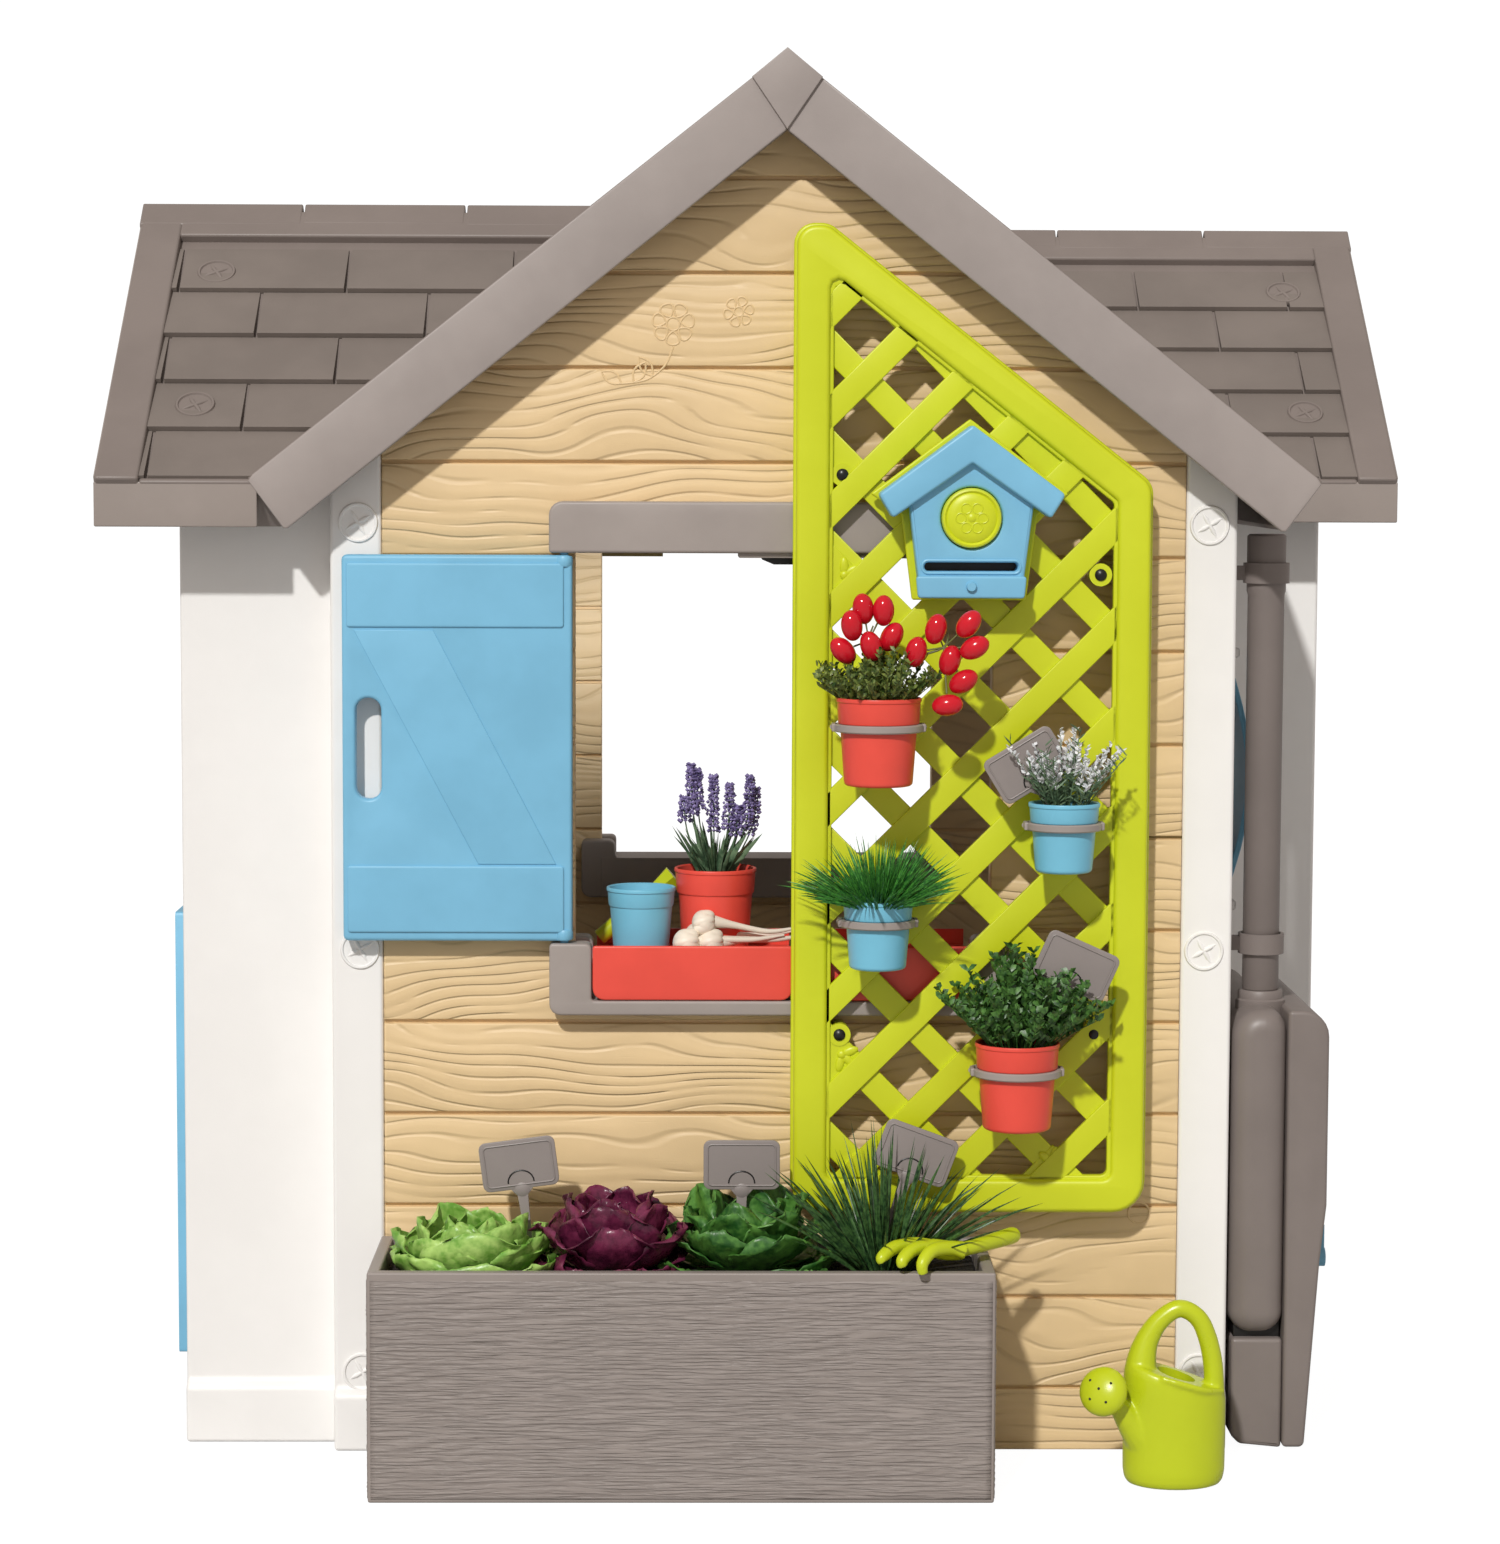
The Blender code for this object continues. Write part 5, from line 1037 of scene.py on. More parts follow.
# Boards below the roof edge: the gable's two, the wing end's chevron and the eaves.
def buildFascias(name, turn):
    vergeDrop = house["fasciaDepth"] * steep
    low = eave - fasciaDown
    lift = roofing["rimHeight"] * steep * 0.9
    inner = eaveHalf - fasciaIn
    gable = []
    for side in (-1, 1):
        board = [(side * 0.0008, ridgeZ + lift), (side * eaveHalf, eave + lift),
                 (side * (eaveHalf + lift * 0.4), eave + lift * 0.45), (side * (inner + 0.002), low - 0.001),
                 (side * inner * 0.995, low - 0.001), (side * 0.0008, ridgeZ - vergeDrop)]
        gable.append(softPlate(f"{name}Verge{side}", [board[::-side]], "front", vergeY - 0.0025,
                               vergeY + 0.006, 0.0018, "fascia"))
    rise = lift * 0.8
    chevron = [(vergeY + fasciaIn, low), (wingMid, wingRidgeZ - vergeDrop), (valleyEnd - fasciaIn, low),
               (valleyEnd, eave + rise), (wingMid, wingRidgeZ + rise), (vergeY, eave + rise)]
    wing = [softPlate(name + "WingVerge", [chevron], "side", roofEnd - 0.0015, roofEnd + 0.006,
                      0.0018, "roof")]
    board = rounded(rect(roofEnd - 0.001, -eaveHalf + 0.004, low, eave + lift * 0.35), 0.0015, 2)
    # The eave boards take the lighter copy of the roof grey: painted light.
    for label, y in (("Front", vergeY), ("Rear", valleyEnd - 0.005)):
        wing.append(softPlate(f"{name}Eave{label}", [board], "front", y - 0.0012, y + 0.0062,
                              0.0012, "wingEdgePaintedLight"))
    settle(turnPiece(joinMeshes(name + "WingEnd", wing, "wingEdgePaintedLight"), turn), shell, "roof_grey")
    settle(turnPiece(joinMeshes(name, gable, "fascia"), turn), shell, "roof_grey")


# The end of the first ridge cap, folded down over the two verge boards.
def buildPeakCap(name, turn):
    half, drop, top = 0.0335, 0.0275, ridgeZ + roofing["capHeight"] + 0.001
    low = ridgeZ - house["fasciaDepth"] * steep
    kite = [(0, top), (-half, top - drop), (0, low + 0.0005), (half, top - drop)]
    piece = softPlate(name, [kite], "front", vergeY - 0.0062, vergeY - 0.0015, 0.0012, "fascia")
    settle(turnPiece(piece, turn), shell, "roof_grey")


def buildRoof():
    halves = (("Left", 0), ("Right", math.pi))
    for label, turn in halves:
        buildShingles("shingles" + label, turn)
        buildRims("roofRims" + label, turn)
        buildRidgeCaps("ridgeCaps" + label, turn)
        buildFascias("fascia" + label, turn)
        buildPeakCap("peakCap" + label, turn)
    for index, z in enumerate(screwCap["roofHeights"]):
        y = wingMid - (wingRidgeZ - z) / slope
        for label, turn in halves:
            for side, way, spotY in (("Front", -1, y), ("Back", 1, 2 * wingMid - y)):
                facing = Vector((0, way * slope, 1)).normalized()
                spot = Vector((screwCap["roofX"], spotY, z)) + facing * screwCap["roofLift"]
                cap = buildScrewCap(f"roofPlug{label}{side}{index}", spot, facing, "roof")
                settle(turnPiece(cap, turn), shell, "roof_grey")
    for node in [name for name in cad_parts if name.startswith("roof_panel")]:
        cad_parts[node].data.materials.clear()
        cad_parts[node].data.materials.append(finish["roof"])


buildRoof()
print("roof")

windowLook = {"horn": 0.041, "band": 0.0145, "skin": 0.008, "step": 0.0045}


def buildLintel(label, turn):
    low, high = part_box("front_window_lintel")
    bar = rounded(rect(low.x, high.x, low.z, high.z), [0.003, 0.003, 0.013, 0.013], 5)
    step = rounded(rect(-0.045, high.x - 0.012, low.z - windowLook["step"], low.z + 0.01), 0.002, 2)
    pieces = [softPlate(label + "LintelBar", [bar], "front", low.y, high.y, 0.003, "frameGrey", 3),
              softPlate(label + "LintelStep", [step], "front", low.y + 0.006, high.y, 0.001, "frameGrey")]
    lintel = turnPiece(joinMeshes(label + "Lintel", pieces, "frameGrey"), turn)
    settle(lintel, shell, "window_grey", label + "_window_lintel")


# A bar with a horn at each end outside, the same inside, and a saddle over the wall's edge.
def buildLedge(label, turn):
    low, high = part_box("front_window_ledge")
    wide, y, sill = high.x, wallFront, opening["sill"]
    horn, bar = wide - windowLook["horn"], low.z + windowLook["band"]
    fillet = bar + 0.03
    first = [(-wide, low.z), (wide, low.z), (wide, high.z), (horn, high.z)]
    last = [(-horn, high.z), (-wide, high.z)]
    outer = rounded(first + [(horn, bar), (-horn, bar)] + last,
                    [0.011, 0.011, 0.004, 0.006, 0.003, 0.003, 0.006, 0.004], 4)
    inner = rounded(first + [(horn, fillet), (-horn, fillet)] + last,
                    [0.012, 0.012, 0.006, 0.008, 0.012, 0.012, 0.008, 0.006], 4)
    foot, seat, top = low.z + 0.002, sill + 0.0003, sill + windowLook["skin"]
    saddle = [(y - 0.012, foot), (y - 0.001, foot), (y - 0.001, seat), (y + 0.031, seat), (y + 0.031, foot),
              (y + 0.06, foot), (y + 0.06, top), (y - 0.012, top)]
    half = opening["half"] - 0.0005
    pieces = [
        softPlate(label + "LedgeOuter", [outer], "front", low.y, y - 0.0003, 0.0025, "frameGrey", 3),
        softPlate(label + "LedgeInner", [inner], "front", y + 0.0305, y + 0.0585, 0.0025, "frameGrey", 3),
        softPlate(label + "LedgeSaddle", [saddle], "side", -half, half, 0.0008, "frameGrey"),
    ]
    ledge = turnPiece(joinMeshes(label + "Ledge", pieces, "frameGrey"), turn)
    settle(ledge, shell, "window_grey", label + "_window_ledge")


trayLook = {"rim": 0.4885, "under": 0.4866, "floor": 0.4895, "lip": 0.003}


# Apron with rounded lower corners, floor and low rear lip.
def buildTray(node):
    low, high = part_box(node)
    under, floor, front, back = trayLook["under"], trayLook["floor"], low.y + 0.002, high.y - trayLook["lip"]
    apron = rounded(rect(low.x, high.x, low.z, high.z), [0.0115, 0.0115, 0.003, 0.003], 5)
    rim = rounded(rect(low.x + 0.001, high.x - 0.001, low.z + 0.002, trayLook["rim"]), 0.008, 4)
    section = [(front, under), (high.y, under), (high.y, high.z), (back, high.z), (back, floor),
               (front, floor)]
    pieces = [
        softPlate(node + "Apron", [apron], "front", low.y, low.y + 0.0042, 0.002, "red", 3),
        softPlate(node + "Rim", [rim], "front", low.y + 0.003, low.y + 0.0148, 0.0012, "red"),
        softPlate(node + "Floor", [section], "side", low.x + 0.0005, high.x - 0.0005, 0.0006, "red"),
    ]
    settle(joinMeshes(node + "Detailed", pieces, "red"), shell, "tray_red", node)


latchLook = [(-0.022, 0.8795), (-0.01, 0.8745), (0.012, 0.8745), (0.024, 0.8795), (0.024, 0.8825),
             (-0.022, 0.8825)]
for label, turn in (("front", 0), ("rear", math.pi)):
    buildLintel(label, turn)
    buildLedge(label, turn)
buildTray("ledge_tray_left")
buildTray("ledge_tray_right")
latch = softPlate("lintelLatch", [rounded(latchLook, 0.0015, 2)], "front",
                  wallFront + 0.004, wallFront + 0.014, 0.0008, "dark")
settle(latch, shell, "window_grey")

shutterLook = {
    "height": (0.5095, 0.8838),
    "gap": 0.007,
    "thick": 0.018,
    "slot": (-0.4137, -0.3891, 0.6475, 0.7455),
    "panels": ((0.814, 0.876), (0.518, 0.583)),
    "panelRise": 0.0022,
    "brace": [(-0.2955, 0.5845), (-0.22, 0.5845), (-0.3385, 0.8115), (-0.415, 0.8115)],
    "braceRise": 0.0012,
    "hingeInset": 0.008,
    "pins": ((0.501, 0.513), (0.881, 0.893)),
    "pinRadius": 0.004,
    "knuckles": (0.5155, 0.8778),
    "knuckle": (0.0085, 0.005),
}


# A board with a finger slot, two raised panels, a slanting brace, and its hinge on the right.
def buildFrontShutter():
    low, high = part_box("front_shutter")
    back = wallFront - shutterLook["gap"]
    front = back - shutterLook["thick"]
    slotLoop = rounded(rect(*shutterLook["slot"]), 0.0118, 6)
    outline = rounded(rect(low.x, high.x, *shutterLook["height"]), 0.005, 3)
    pieces = [softPlate("shutterBoard", [outline, slotLoop], "front", front, back, 0.0035, "blue", 3)]
    for index, span in enumerate(shutterLook["panels"]):
        loop = rounded(rect(low.x + 0.0045, high.x - 0.008, *span), 0.003, 3)
        pieces.append(softPlate(f"shutterPanel{index}", [loop], "front", front - shutterLook["panelRise"],
                                front + 0.003, 0.0016, "blue"))
    pieces.append(softPlate("shutterBrace", [shutterLook["brace"]], "front", front - shutterLook["braceRise"],
                            front + 0.003, 0.001, "blue"))
    x, r = high.x - shutterLook["hingeInset"], shutterLook["pinRadius"]
    for index, (z0, z1) in enumerate(shutterLook["pins"]):
        pieces.append(lathe(f"shutterPin{index}", [(0, z0), (r, z0), (r, z1), (0, z1)],
                            (x, (front + back) / 2, 0), "blue", 24))
    r, half = shutterLook["knuckle"]
    for index, z in enumerate(shutterLook["knuckles"]):
        profile = [(0, z - half), (r - 0.001, z - half), (r, z - half + 0.002), (r, z + half - 0.002),
                   (r - 0.001, z + half), (0, z + half)]
        pieces.append(lathe(f"shutterKnuckle{index}", profile, (x, front + 0.0055, 0), "blue", 28))
    settle(joinMeshes("frontShutter", pieces, "blue"), "front_shutter_leaf", "shutter_blue", "front_shutter")


buildFrontShutter()
for side in ("left", "right"):
    node = side + "_side_shutter"
    settle(softCopy(node, 0.0022, "blue", angle=28), node + "_board", "shutter_blue", node)
settle(softCopy("half_door", 0.003, "blue"), "half_door_leaf", "shutter_blue", "half_door")
settle(softCopy("half_door_hinge_post", 0.0015, "frameGrey"), shell, "hinge_grey", "half_door_hinge_post")


doorLook = {"rows": 2, "pitch": 0.137, "tall": 0.122, "margin": 0.03, "hingeSide": 0.04,
            "topRow": (0.075, 0.304)}


def buildDoorPanels():
    low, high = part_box("half_door")
    edge, right = doorLook["margin"], high.y - doorLook["hingeSide"]
    left, rise = doorLook["topRow"]
    panels = []
    for row in range(doorLook["rows"]):
        base = low.z + edge + row * doorLook["pitch"]
        panels.append(rect(low.y + edge, right, base, base + doorLook["tall"]))
    panels.append(rect(low.y + left, right, low.z + rise, high.z - edge))
    panel = softPlate("halfDoorPanels", [rounded(panel, 0.006, 3) for panel in panels], "side",
                      low.x - 0.0025, low.x + 0.002, 0.0016, "blue")
    settle(panel, "half_door_leaf", "shutter_blue")


buildDoorPanels()
print("windows and shutters")

lattice = {
    "bar": 0.032,
    "peakCut": 0.0237,
    "width": 0.0255,
    "pitch": 0.0675,
    "slats": (("Up", 1, 1.075, 0.0045, 0.011), ("Down", -1, 1.128, 0.0085, 0.015)),
    "skirt": 0.003,
    "leftSkirt": ((0.275, 0.432), (0.94, 1.15)),
    "screws": ((0.0545, 0.962), (0.303, 0.867), (0.0545, 0.421), (0.301, 0.422)),
    "sprigs": ((0.057, 0.866, 30, True), (0.057, 0.4015, -40, True), (0.263, 0.295, 80, False)),
    "leaf": (0.0042, 0.0022, 0.0085),
    "bud": (0.0045, 0.003, 0.0045),
    "gusset": (0.018, 0.036),
}


# Three raised leaves round a small bud.
def sprig(name, place, turn):
    pieces = []
    for index, angle in enumerate((turn, turn + 62, turn - 62)):
        way = Vector((math.cos(math.radians(angle)), 0, math.sin(math.radians(angle))))
        middle = Vector(place) + way * lattice["leaf"][2]
        pieces.append(ellipsoid(f"{name}Leaf{index}", middle, lattice["leaf"], way, "lime"))
    pieces.append(ellipsoid(name + "Bud", place, lattice["bud"], (0, 0, 1), "lime"))
    return pieces


def trellisCorners():
    low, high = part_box("trellis")
    drop = slope * (high.x - low.x)
    top = high.z + lattice["peakCut"]
    return low, high, [(low.x, low.z), (high.x, low.z), (high.x, top - drop), (low.x, top)]


# One slat across the opening: direction 1 runs up to the right, -1 down to the right.
def slat(direction, offset, opening):
    half = lattice["width"] / 2 * math.sqrt(2)
    far = 2.0
    strip = [(-far, offset - half - direction * far), (far, offset - half + direction * far),
             (far, offset + half + direction * far), (-far, offset + half - direction * far)]
    return clipTo(strip, opening)


# Frame ring, inner step, rear flange and the skirt that reaches back to the wall.
def trellisFrame(low, high, corners):
    face, bar, skirt = low.y, lattice["bar"], lattice["skirt"]
    outer = clip(corners, (high.x, high.z), (low.x, high.z))

    def hole(margin, radius):
        return rounded(inset(corners, bar + margin), radius, 3)

    ring = [rounded(outer, [0.03, 0.03, 0.02, 0.02, 0.018], 6), hole(0, 0.008)]
    step = [hole(-0.006, 0.008), hole(0.0035, 0.006)]
    flange = [rounded(inset(outer, -0.0028), [0.032, 0.032, 0.022, 0.022, 0.02], 6), hole(-0.004, 0.008)]
    left, right = low.x + 0.03, high.x - 0.012
    leftZ, rightZ = corners[3][1] - 0.03 * slope - 0.004, corners[2][1] + 0.012 * slope - 0.004
    strips = [rect(low.x + 0.002, low.x + 0.002 + skirt, z0, z1) for z0, z1 in lattice["leftSkirt"]]
    strips += [rect(low.x + 0.028, high.x - 0.022, low.z + 0.002, low.z + 0.002 + skirt),
               rect(high.x - 0.002 - skirt, high.x - 0.002, low.z + 0.022, corners[2][1] - 0.016),
               [(right, rightZ), (left, leftZ), (left, leftZ - skirt), (right, rightZ - skirt)]]
    return [
        softPlate("trellisRing", ring, "front", face, face + 0.015, 0.0048, "lime", 4),
        softPlate("trellisStep", step, "front", face + 0.0045, face + 0.0145, 0.0014, "lime"),
        softPlate("trellisFlange", flange, "front", face + 0.0125, face + 0.0195, 0.0026, "lime"),
        softPlate("trellisSkirt", strips, "front", face + 0.014, wallFront - 0.0008, 0.0006, "lime"),
    ]


def buildTrellis():
    low, high, corners = trellisCorners()
    face = low.y
    pieces, screws = trellisFrame(low, high, corners), []
    field = inset(corners, lattice["bar"] - 0.004)
    diagonal = lattice["pitch"] * math.sqrt(2)
    for label, direction, start, near, far in lattice["slats"]:
        loops = [slat(direction, start + step * diagonal, field) for step in range(-14, 15)]
        loops = [loop for loop in loops if len(loop) > 2 and abs(area(loop)) > 0.00015]
        pieces.append(softPlate("trellisSlats" + label, loops, "front", face + near, face + far,
                                0.0014, "lime"))
    boss = [(0, 0), (0.011, 0), (0.011, 0.006), (0.0095, 0.038), (0, 0.038)]
    head = [(0, -0.0035), (0.0035, -0.003), (0.0058, -0.0008), (0.0058, 0.001), (0, 0.001)]
    for index, (x, z) in enumerate(lattice["screws"]):
        pieces.append(lathe(f"trellisBoss{index}", boss, (x, face + 0.0065, z), "lime", 24, (0, 1, 0)))
        screws.append(lathe(f"trellisScrew{index}", head, (x, face + 0.0062, z), "dark", 24, (0, 1, 0)))
    near, far = lattice["gusset"]
    for index, (x, z, turn, atSide) in enumerate(lattice["sprigs"]):
        pieces += sprig(f"trellisSprig{index}", (x, face + 0.0075, z), turn)
        corner = [(x - far, z - near), (x + far, z - near), (x, z + near)]
        if atSide:
            corner = [(x - near, z - far), (x + near, z), (x - near, z + far)]
        pieces.append(softPlate(f"trellisGusset{index}", [corner], "front", face + 0.0075, face + 0.0125,
                                0.001, "lime"))
    settle(joinMeshes("trellisPanel", pieces, "lime"), shell, "trellis_lime", "trellis")
    settle(joinMeshes("trellisScrews", screws, "dark"), shell, "clip_grey")


buildTrellis()
print("trellis")


bellLook = {
    "body": ((0.0485, 0.849), (0.059, 0.935)),
    "top": 0.985,
    "deep": 0.028,
    "roofDeep": 0.037,
    "roofHalf": 0.0885,
    "roofSlope": 0.74,
    "roofThick": 0.0358,
    "slot": (0.0443, 0.8715, 0.8797),
    "hole": (0.9218, 0.0293),
    "flap": ((0.0505, 0.846), (0.0525, 0.867)),
    "pegZ": 0.857,
}


# A bird box with a pitched roof, a letter slot with a flap below, and a hole for the button.
def buildBell():
    low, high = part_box("bell_box")
    middle, back, apex = (low.x + high.x) / 2, high.y, high.z
    face = back - bellLook["deep"]

    def across(width, low, high):
        return rect(middle - width, middle + width, low, high)

    (lowHalf, lowZ), (highHalf, highZ) = bellLook["body"]
    body = rounded([(middle - lowHalf, lowZ), (middle + lowHalf, lowZ), (middle + highHalf, highZ),
                    (middle, bellLook["top"]), (middle - highHalf, highZ)],
                   [0.005, 0.005, 0.002, 0.002, 0.002], 3)
    holes = [rounded(across(*bellLook["slot"]), 0.0038, 4), circle(middle, *bellLook["hole"])]
    half = bellLook["roofHalf"]
    edgeZ, inner = apex - bellLook["roofSlope"] * half, half - 0.0135
    roof = [(middle, apex), (middle - half, edgeZ), (middle - inner, edgeZ - 0.0225),
            (middle, apex - bellLook["roofThick"]), (middle + inner, edgeZ - 0.0225), (middle + half, edgeZ)]
    (lowHalf, lowZ), (highHalf, highZ) = bellLook["flap"]
    flap = [(middle - lowHalf, lowZ), (middle + lowHalf, lowZ), (middle + highHalf, highZ),
            (middle - highHalf, highZ)]
    pegLoop = [(0, -0.004), (0.004, -0.004), (0.005, -0.0025), (0.005, 0.002), (0, 0.002)]
    slotHalf, slotLow, slotHigh = bellLook["slot"]
    lip = rounded(across(slotHalf + 0.0022, slotLow - 0.002, slotHigh + 0.002), 0.0055, 5)
    pieces = [
        softPlate("bellBody", [body, *holes], "front", face, back, 0.003, "blue", 3),
        softPlate("bellRoof", [rounded(roof, [0.003, 0.004, 0.003, 0.002, 0.003, 0.004], 3)], "front",
                  back - bellLook["roofDeep"], back - 0.001, 0.0028, "blue", 3),
        softPlate("bellFlap", [rounded(flap, 0.003, 3)], "front", face - 0.0052, face + 0.002,
                  0.0018, "blue"),
        lathe("bellPeg", pegLoop, (middle, face - 0.0052, bellLook["pegZ"]), "blue", 24, (0, 1, 0)),
        tubePiece("bellSlotLip", [(x, face - 0.0002, z) for x, z in lip], 0.0013, "blue", None, 2, True),
    ]
    settle(joinMeshes("bellHouse", pieces, "blue"), shell, "bell_blue", "bell_box")
    settle(softCopy("bell_back_plate", 0.002, "lime"), shell, "trellis_lime", "bell_back_plate")
    # A dark plate inside the box: painted shade seen through the slot and the hole.
    shadow = softPlate("bellInsideShade", [inset(body, 0.006)], "front", back - 0.004, back - 0.001,
                       0.0004, "dark")
    settle(shadow, shell, "clip_grey")


buttonLook = {"petals": 6, "petalOut": 0.0105, "petalRadius": 0.0048, "line": 0.0007}


# A domed push button with a plain flower pressed into it.
def buildBellButton():
    low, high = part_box("bell_button")
    centre = (low + high) / 2
    r, deep = (high.x - low.x) / 2, high.y - low.y
    profile = [(0, 0.0), (r * 0.55, 0.0002), (r * 0.78, 0.001), (r * 0.83, 0.0022), (r * 0.9, 0.0004),
               (r * 0.96, 0.0009), (r, 0.003), (r, deep), (0, deep)]
    spot = (centre.x, low.y, centre.z)
    pieces = [lathe("bellButtonDome", profile, spot, "lime", 48, (0, 1, 0))]
    for petal, turn in enumerate(fan(2 * math.pi, buttonLook["petals"])[:-1]):
        x = centre.x + math.cos(turn) * buttonLook["petalOut"]
        z = centre.z + math.sin(turn) * buttonLook["petalOut"]
        path = [(a, low.y + 0.0002, b) for a, b in circle(x, z, buttonLook["petalRadius"], 16)]
        pieces.append(tubePiece(f"bellPetal{petal}", path, buttonLook["line"], "lime", None, 2, True))
    bud = [(0, -0.0012), (0.003, -0.0009), (0.0046, 0.0004), (0, 0.001)]
    pieces.append(lathe("bellBud", bud, spot, "lime", 24, (0, 1, 0)))
    settle(joinMeshes("bellButton", pieces, "lime"), "bell_push", "bell_lime", "bell_button")


buildBell()
buildBellButton()
print("bell")

potLook = {"wall": 0.002, "lip": 0.0012, "foot": 0.004, "soilDrop": 0.007}
# Top radius, bottom radius, height and collar height.
potSizes = {"large": (0.0407, 0.0327, 0.0838, 0.0245), "small": (0.0342, 0.0272, 0.0665, 0.0185)}
# Each pot: size, finish, body and slot.
pots = {
    "trellis_pot_upper_left": ("large", "red", "pot_upper_left", "pot_red"),
    "trellis_pot_right": ("small", "potBlue", "pot_right", "pot_blue"),
    "trellis_pot_middle_left": ("small", "potBlue", "pot_middle_left", "pot_blue"),
    "trellis_pot_lower_right": ("large", "red", "pot_lower_right", "pot_red"),
    "ledge_pot_blue": ("small", "potBlue", "pot_ledge_blue", "pot_blue"),
    "ledge_pot_red": ("large", "red", "pot_ledge_red", "pot_red"),
}


def buildPot(node, size, material, body, slotName):
    low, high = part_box(node)
    centre = Vector(((low.x + high.x) / 2, (low.y + high.y) / 2, low.z))
    top, bottom, height, collar = potSizes[size]
    wall, lip, shoulder = potLook["wall"], potLook["lip"], height - collar
    waist = bottom + (top - bottom) * 0.5
    foot = potLook["foot"]
    curve = [(bottom - foot + foot * math.sin(turn), foot - foot * math.cos(turn))
             for turn in fan(math.pi / 2, 4)]
    profile = [(0, wall), (bottom - wall, wall * 1.5), (waist - wall, shoulder),
               (top - wall - 0.001, height - 0.001), (top - wall * 0.6, height),
               (top - 0.0004, height - 0.0004),
               (top, height - 0.0016), (top - 0.0002, height - 0.0036), (top - lip, height - 0.0046),
               (top - lip - 0.0009, shoulder + 0.0012), (top - lip - 0.0014, shoulder),
               (waist, shoulder - 0.0004), *reversed(curve), (0, 0)]
    settle(lathe(node + "Detailed", profile, centre, material, 56), body, slotName, node)
    if node != "ledge_pot_blue":
        soil = [(0, 0.001), (top * 0.5, 0.0005), (top - wall - 0.0014, -0.001), (top - wall - 0.003, -0.004),
                (0, -0.004)]
        place = centre + Vector((0, 0, height - potLook["soilDrop"]))
        settle(lathe(node + "Soil", soil, place, "soil", 40), body, slotName)


clipLook = {"slack": 0.0006, "ring": 0.0018, "tall": 0.0075, "edge": 0.0012, "armRadius": 0.0026,
            "footHalf": 0.019}


# A ring under the pot's collar, two tabs with arms, and a foot on the lattice.
def buildClip(node, size):
    low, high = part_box(node)
    top, bottom = potSizes[size][:2]
    x, y, edge = (low.x + high.x) / 2, low.y + top + 0.002, clipLook["edge"]
    inner, outer = bottom + (top - bottom) * 0.5 + clipLook["slack"], top + clipLook["ring"]
    z1 = high.z
    z0 = z1 - clipLook["tall"]
    z = (z0 + z1) / 2
    band = [(inner, z0 + edge), (inner, z1 - edge), (inner + edge, z1), (outer - edge, z1),
            (outer, z1 - edge), (outer, z0 + edge), (outer - edge, z0), (inner + edge, z0),
            (inner, z0 + edge)]
    pieces = [lathe(node + "Band", band, (x, y, 0), "frameGrey", 56)]
    for side in (-1, 1):
        tab = rounded(rect(side * (outer - 0.004), side * (outer + 0.0022), z0, z1)[::side], 0.0012, 2)
        pieces.append(softPlate(f"{node}Tab{side}", [[(x + a, b) for a, b in tab]], "front",
                                y - 0.006, y + 0.012, 0.001, "frameGrey"))
        arm = [(x + side * (outer + 0.001), y + 0.008, z), (x + side * (outer - 0.002), y + 0.022, z),
               (x + side * 0.016, high.y - 0.0025, z)]
        pieces.append(tubePiece(f"{node}Arm{side}", arm, clipLook["armRadius"], "frameGrey"))
    half = clipLook["footHalf"]
    foot = rounded(rect(x - half, x + half, z0 - 0.01, z1 + 0.001), 0.004, 3)
    pieces.append(softPlate(node + "Foot", [foot], "front", high.y - 0.0045, high.y, 0.001, "frameGrey"))
    settle(joinMeshes(node + "Detailed", pieces, "frameGrey"), shell, "clip_grey", node)


labelLook = {
    "wide": 0.0735,
    "tall": 0.048,
    "margin": 0.0042,
    "spare": 0.002,
    "leans": {"left": ("planter", 0.13), "middle": ("planter", 0.0), "right": ("planter", -0.35),
              "right_pot": ("pot_right", 0.55), "lower_pot": ("pot_lower_right", -0.42)},
}


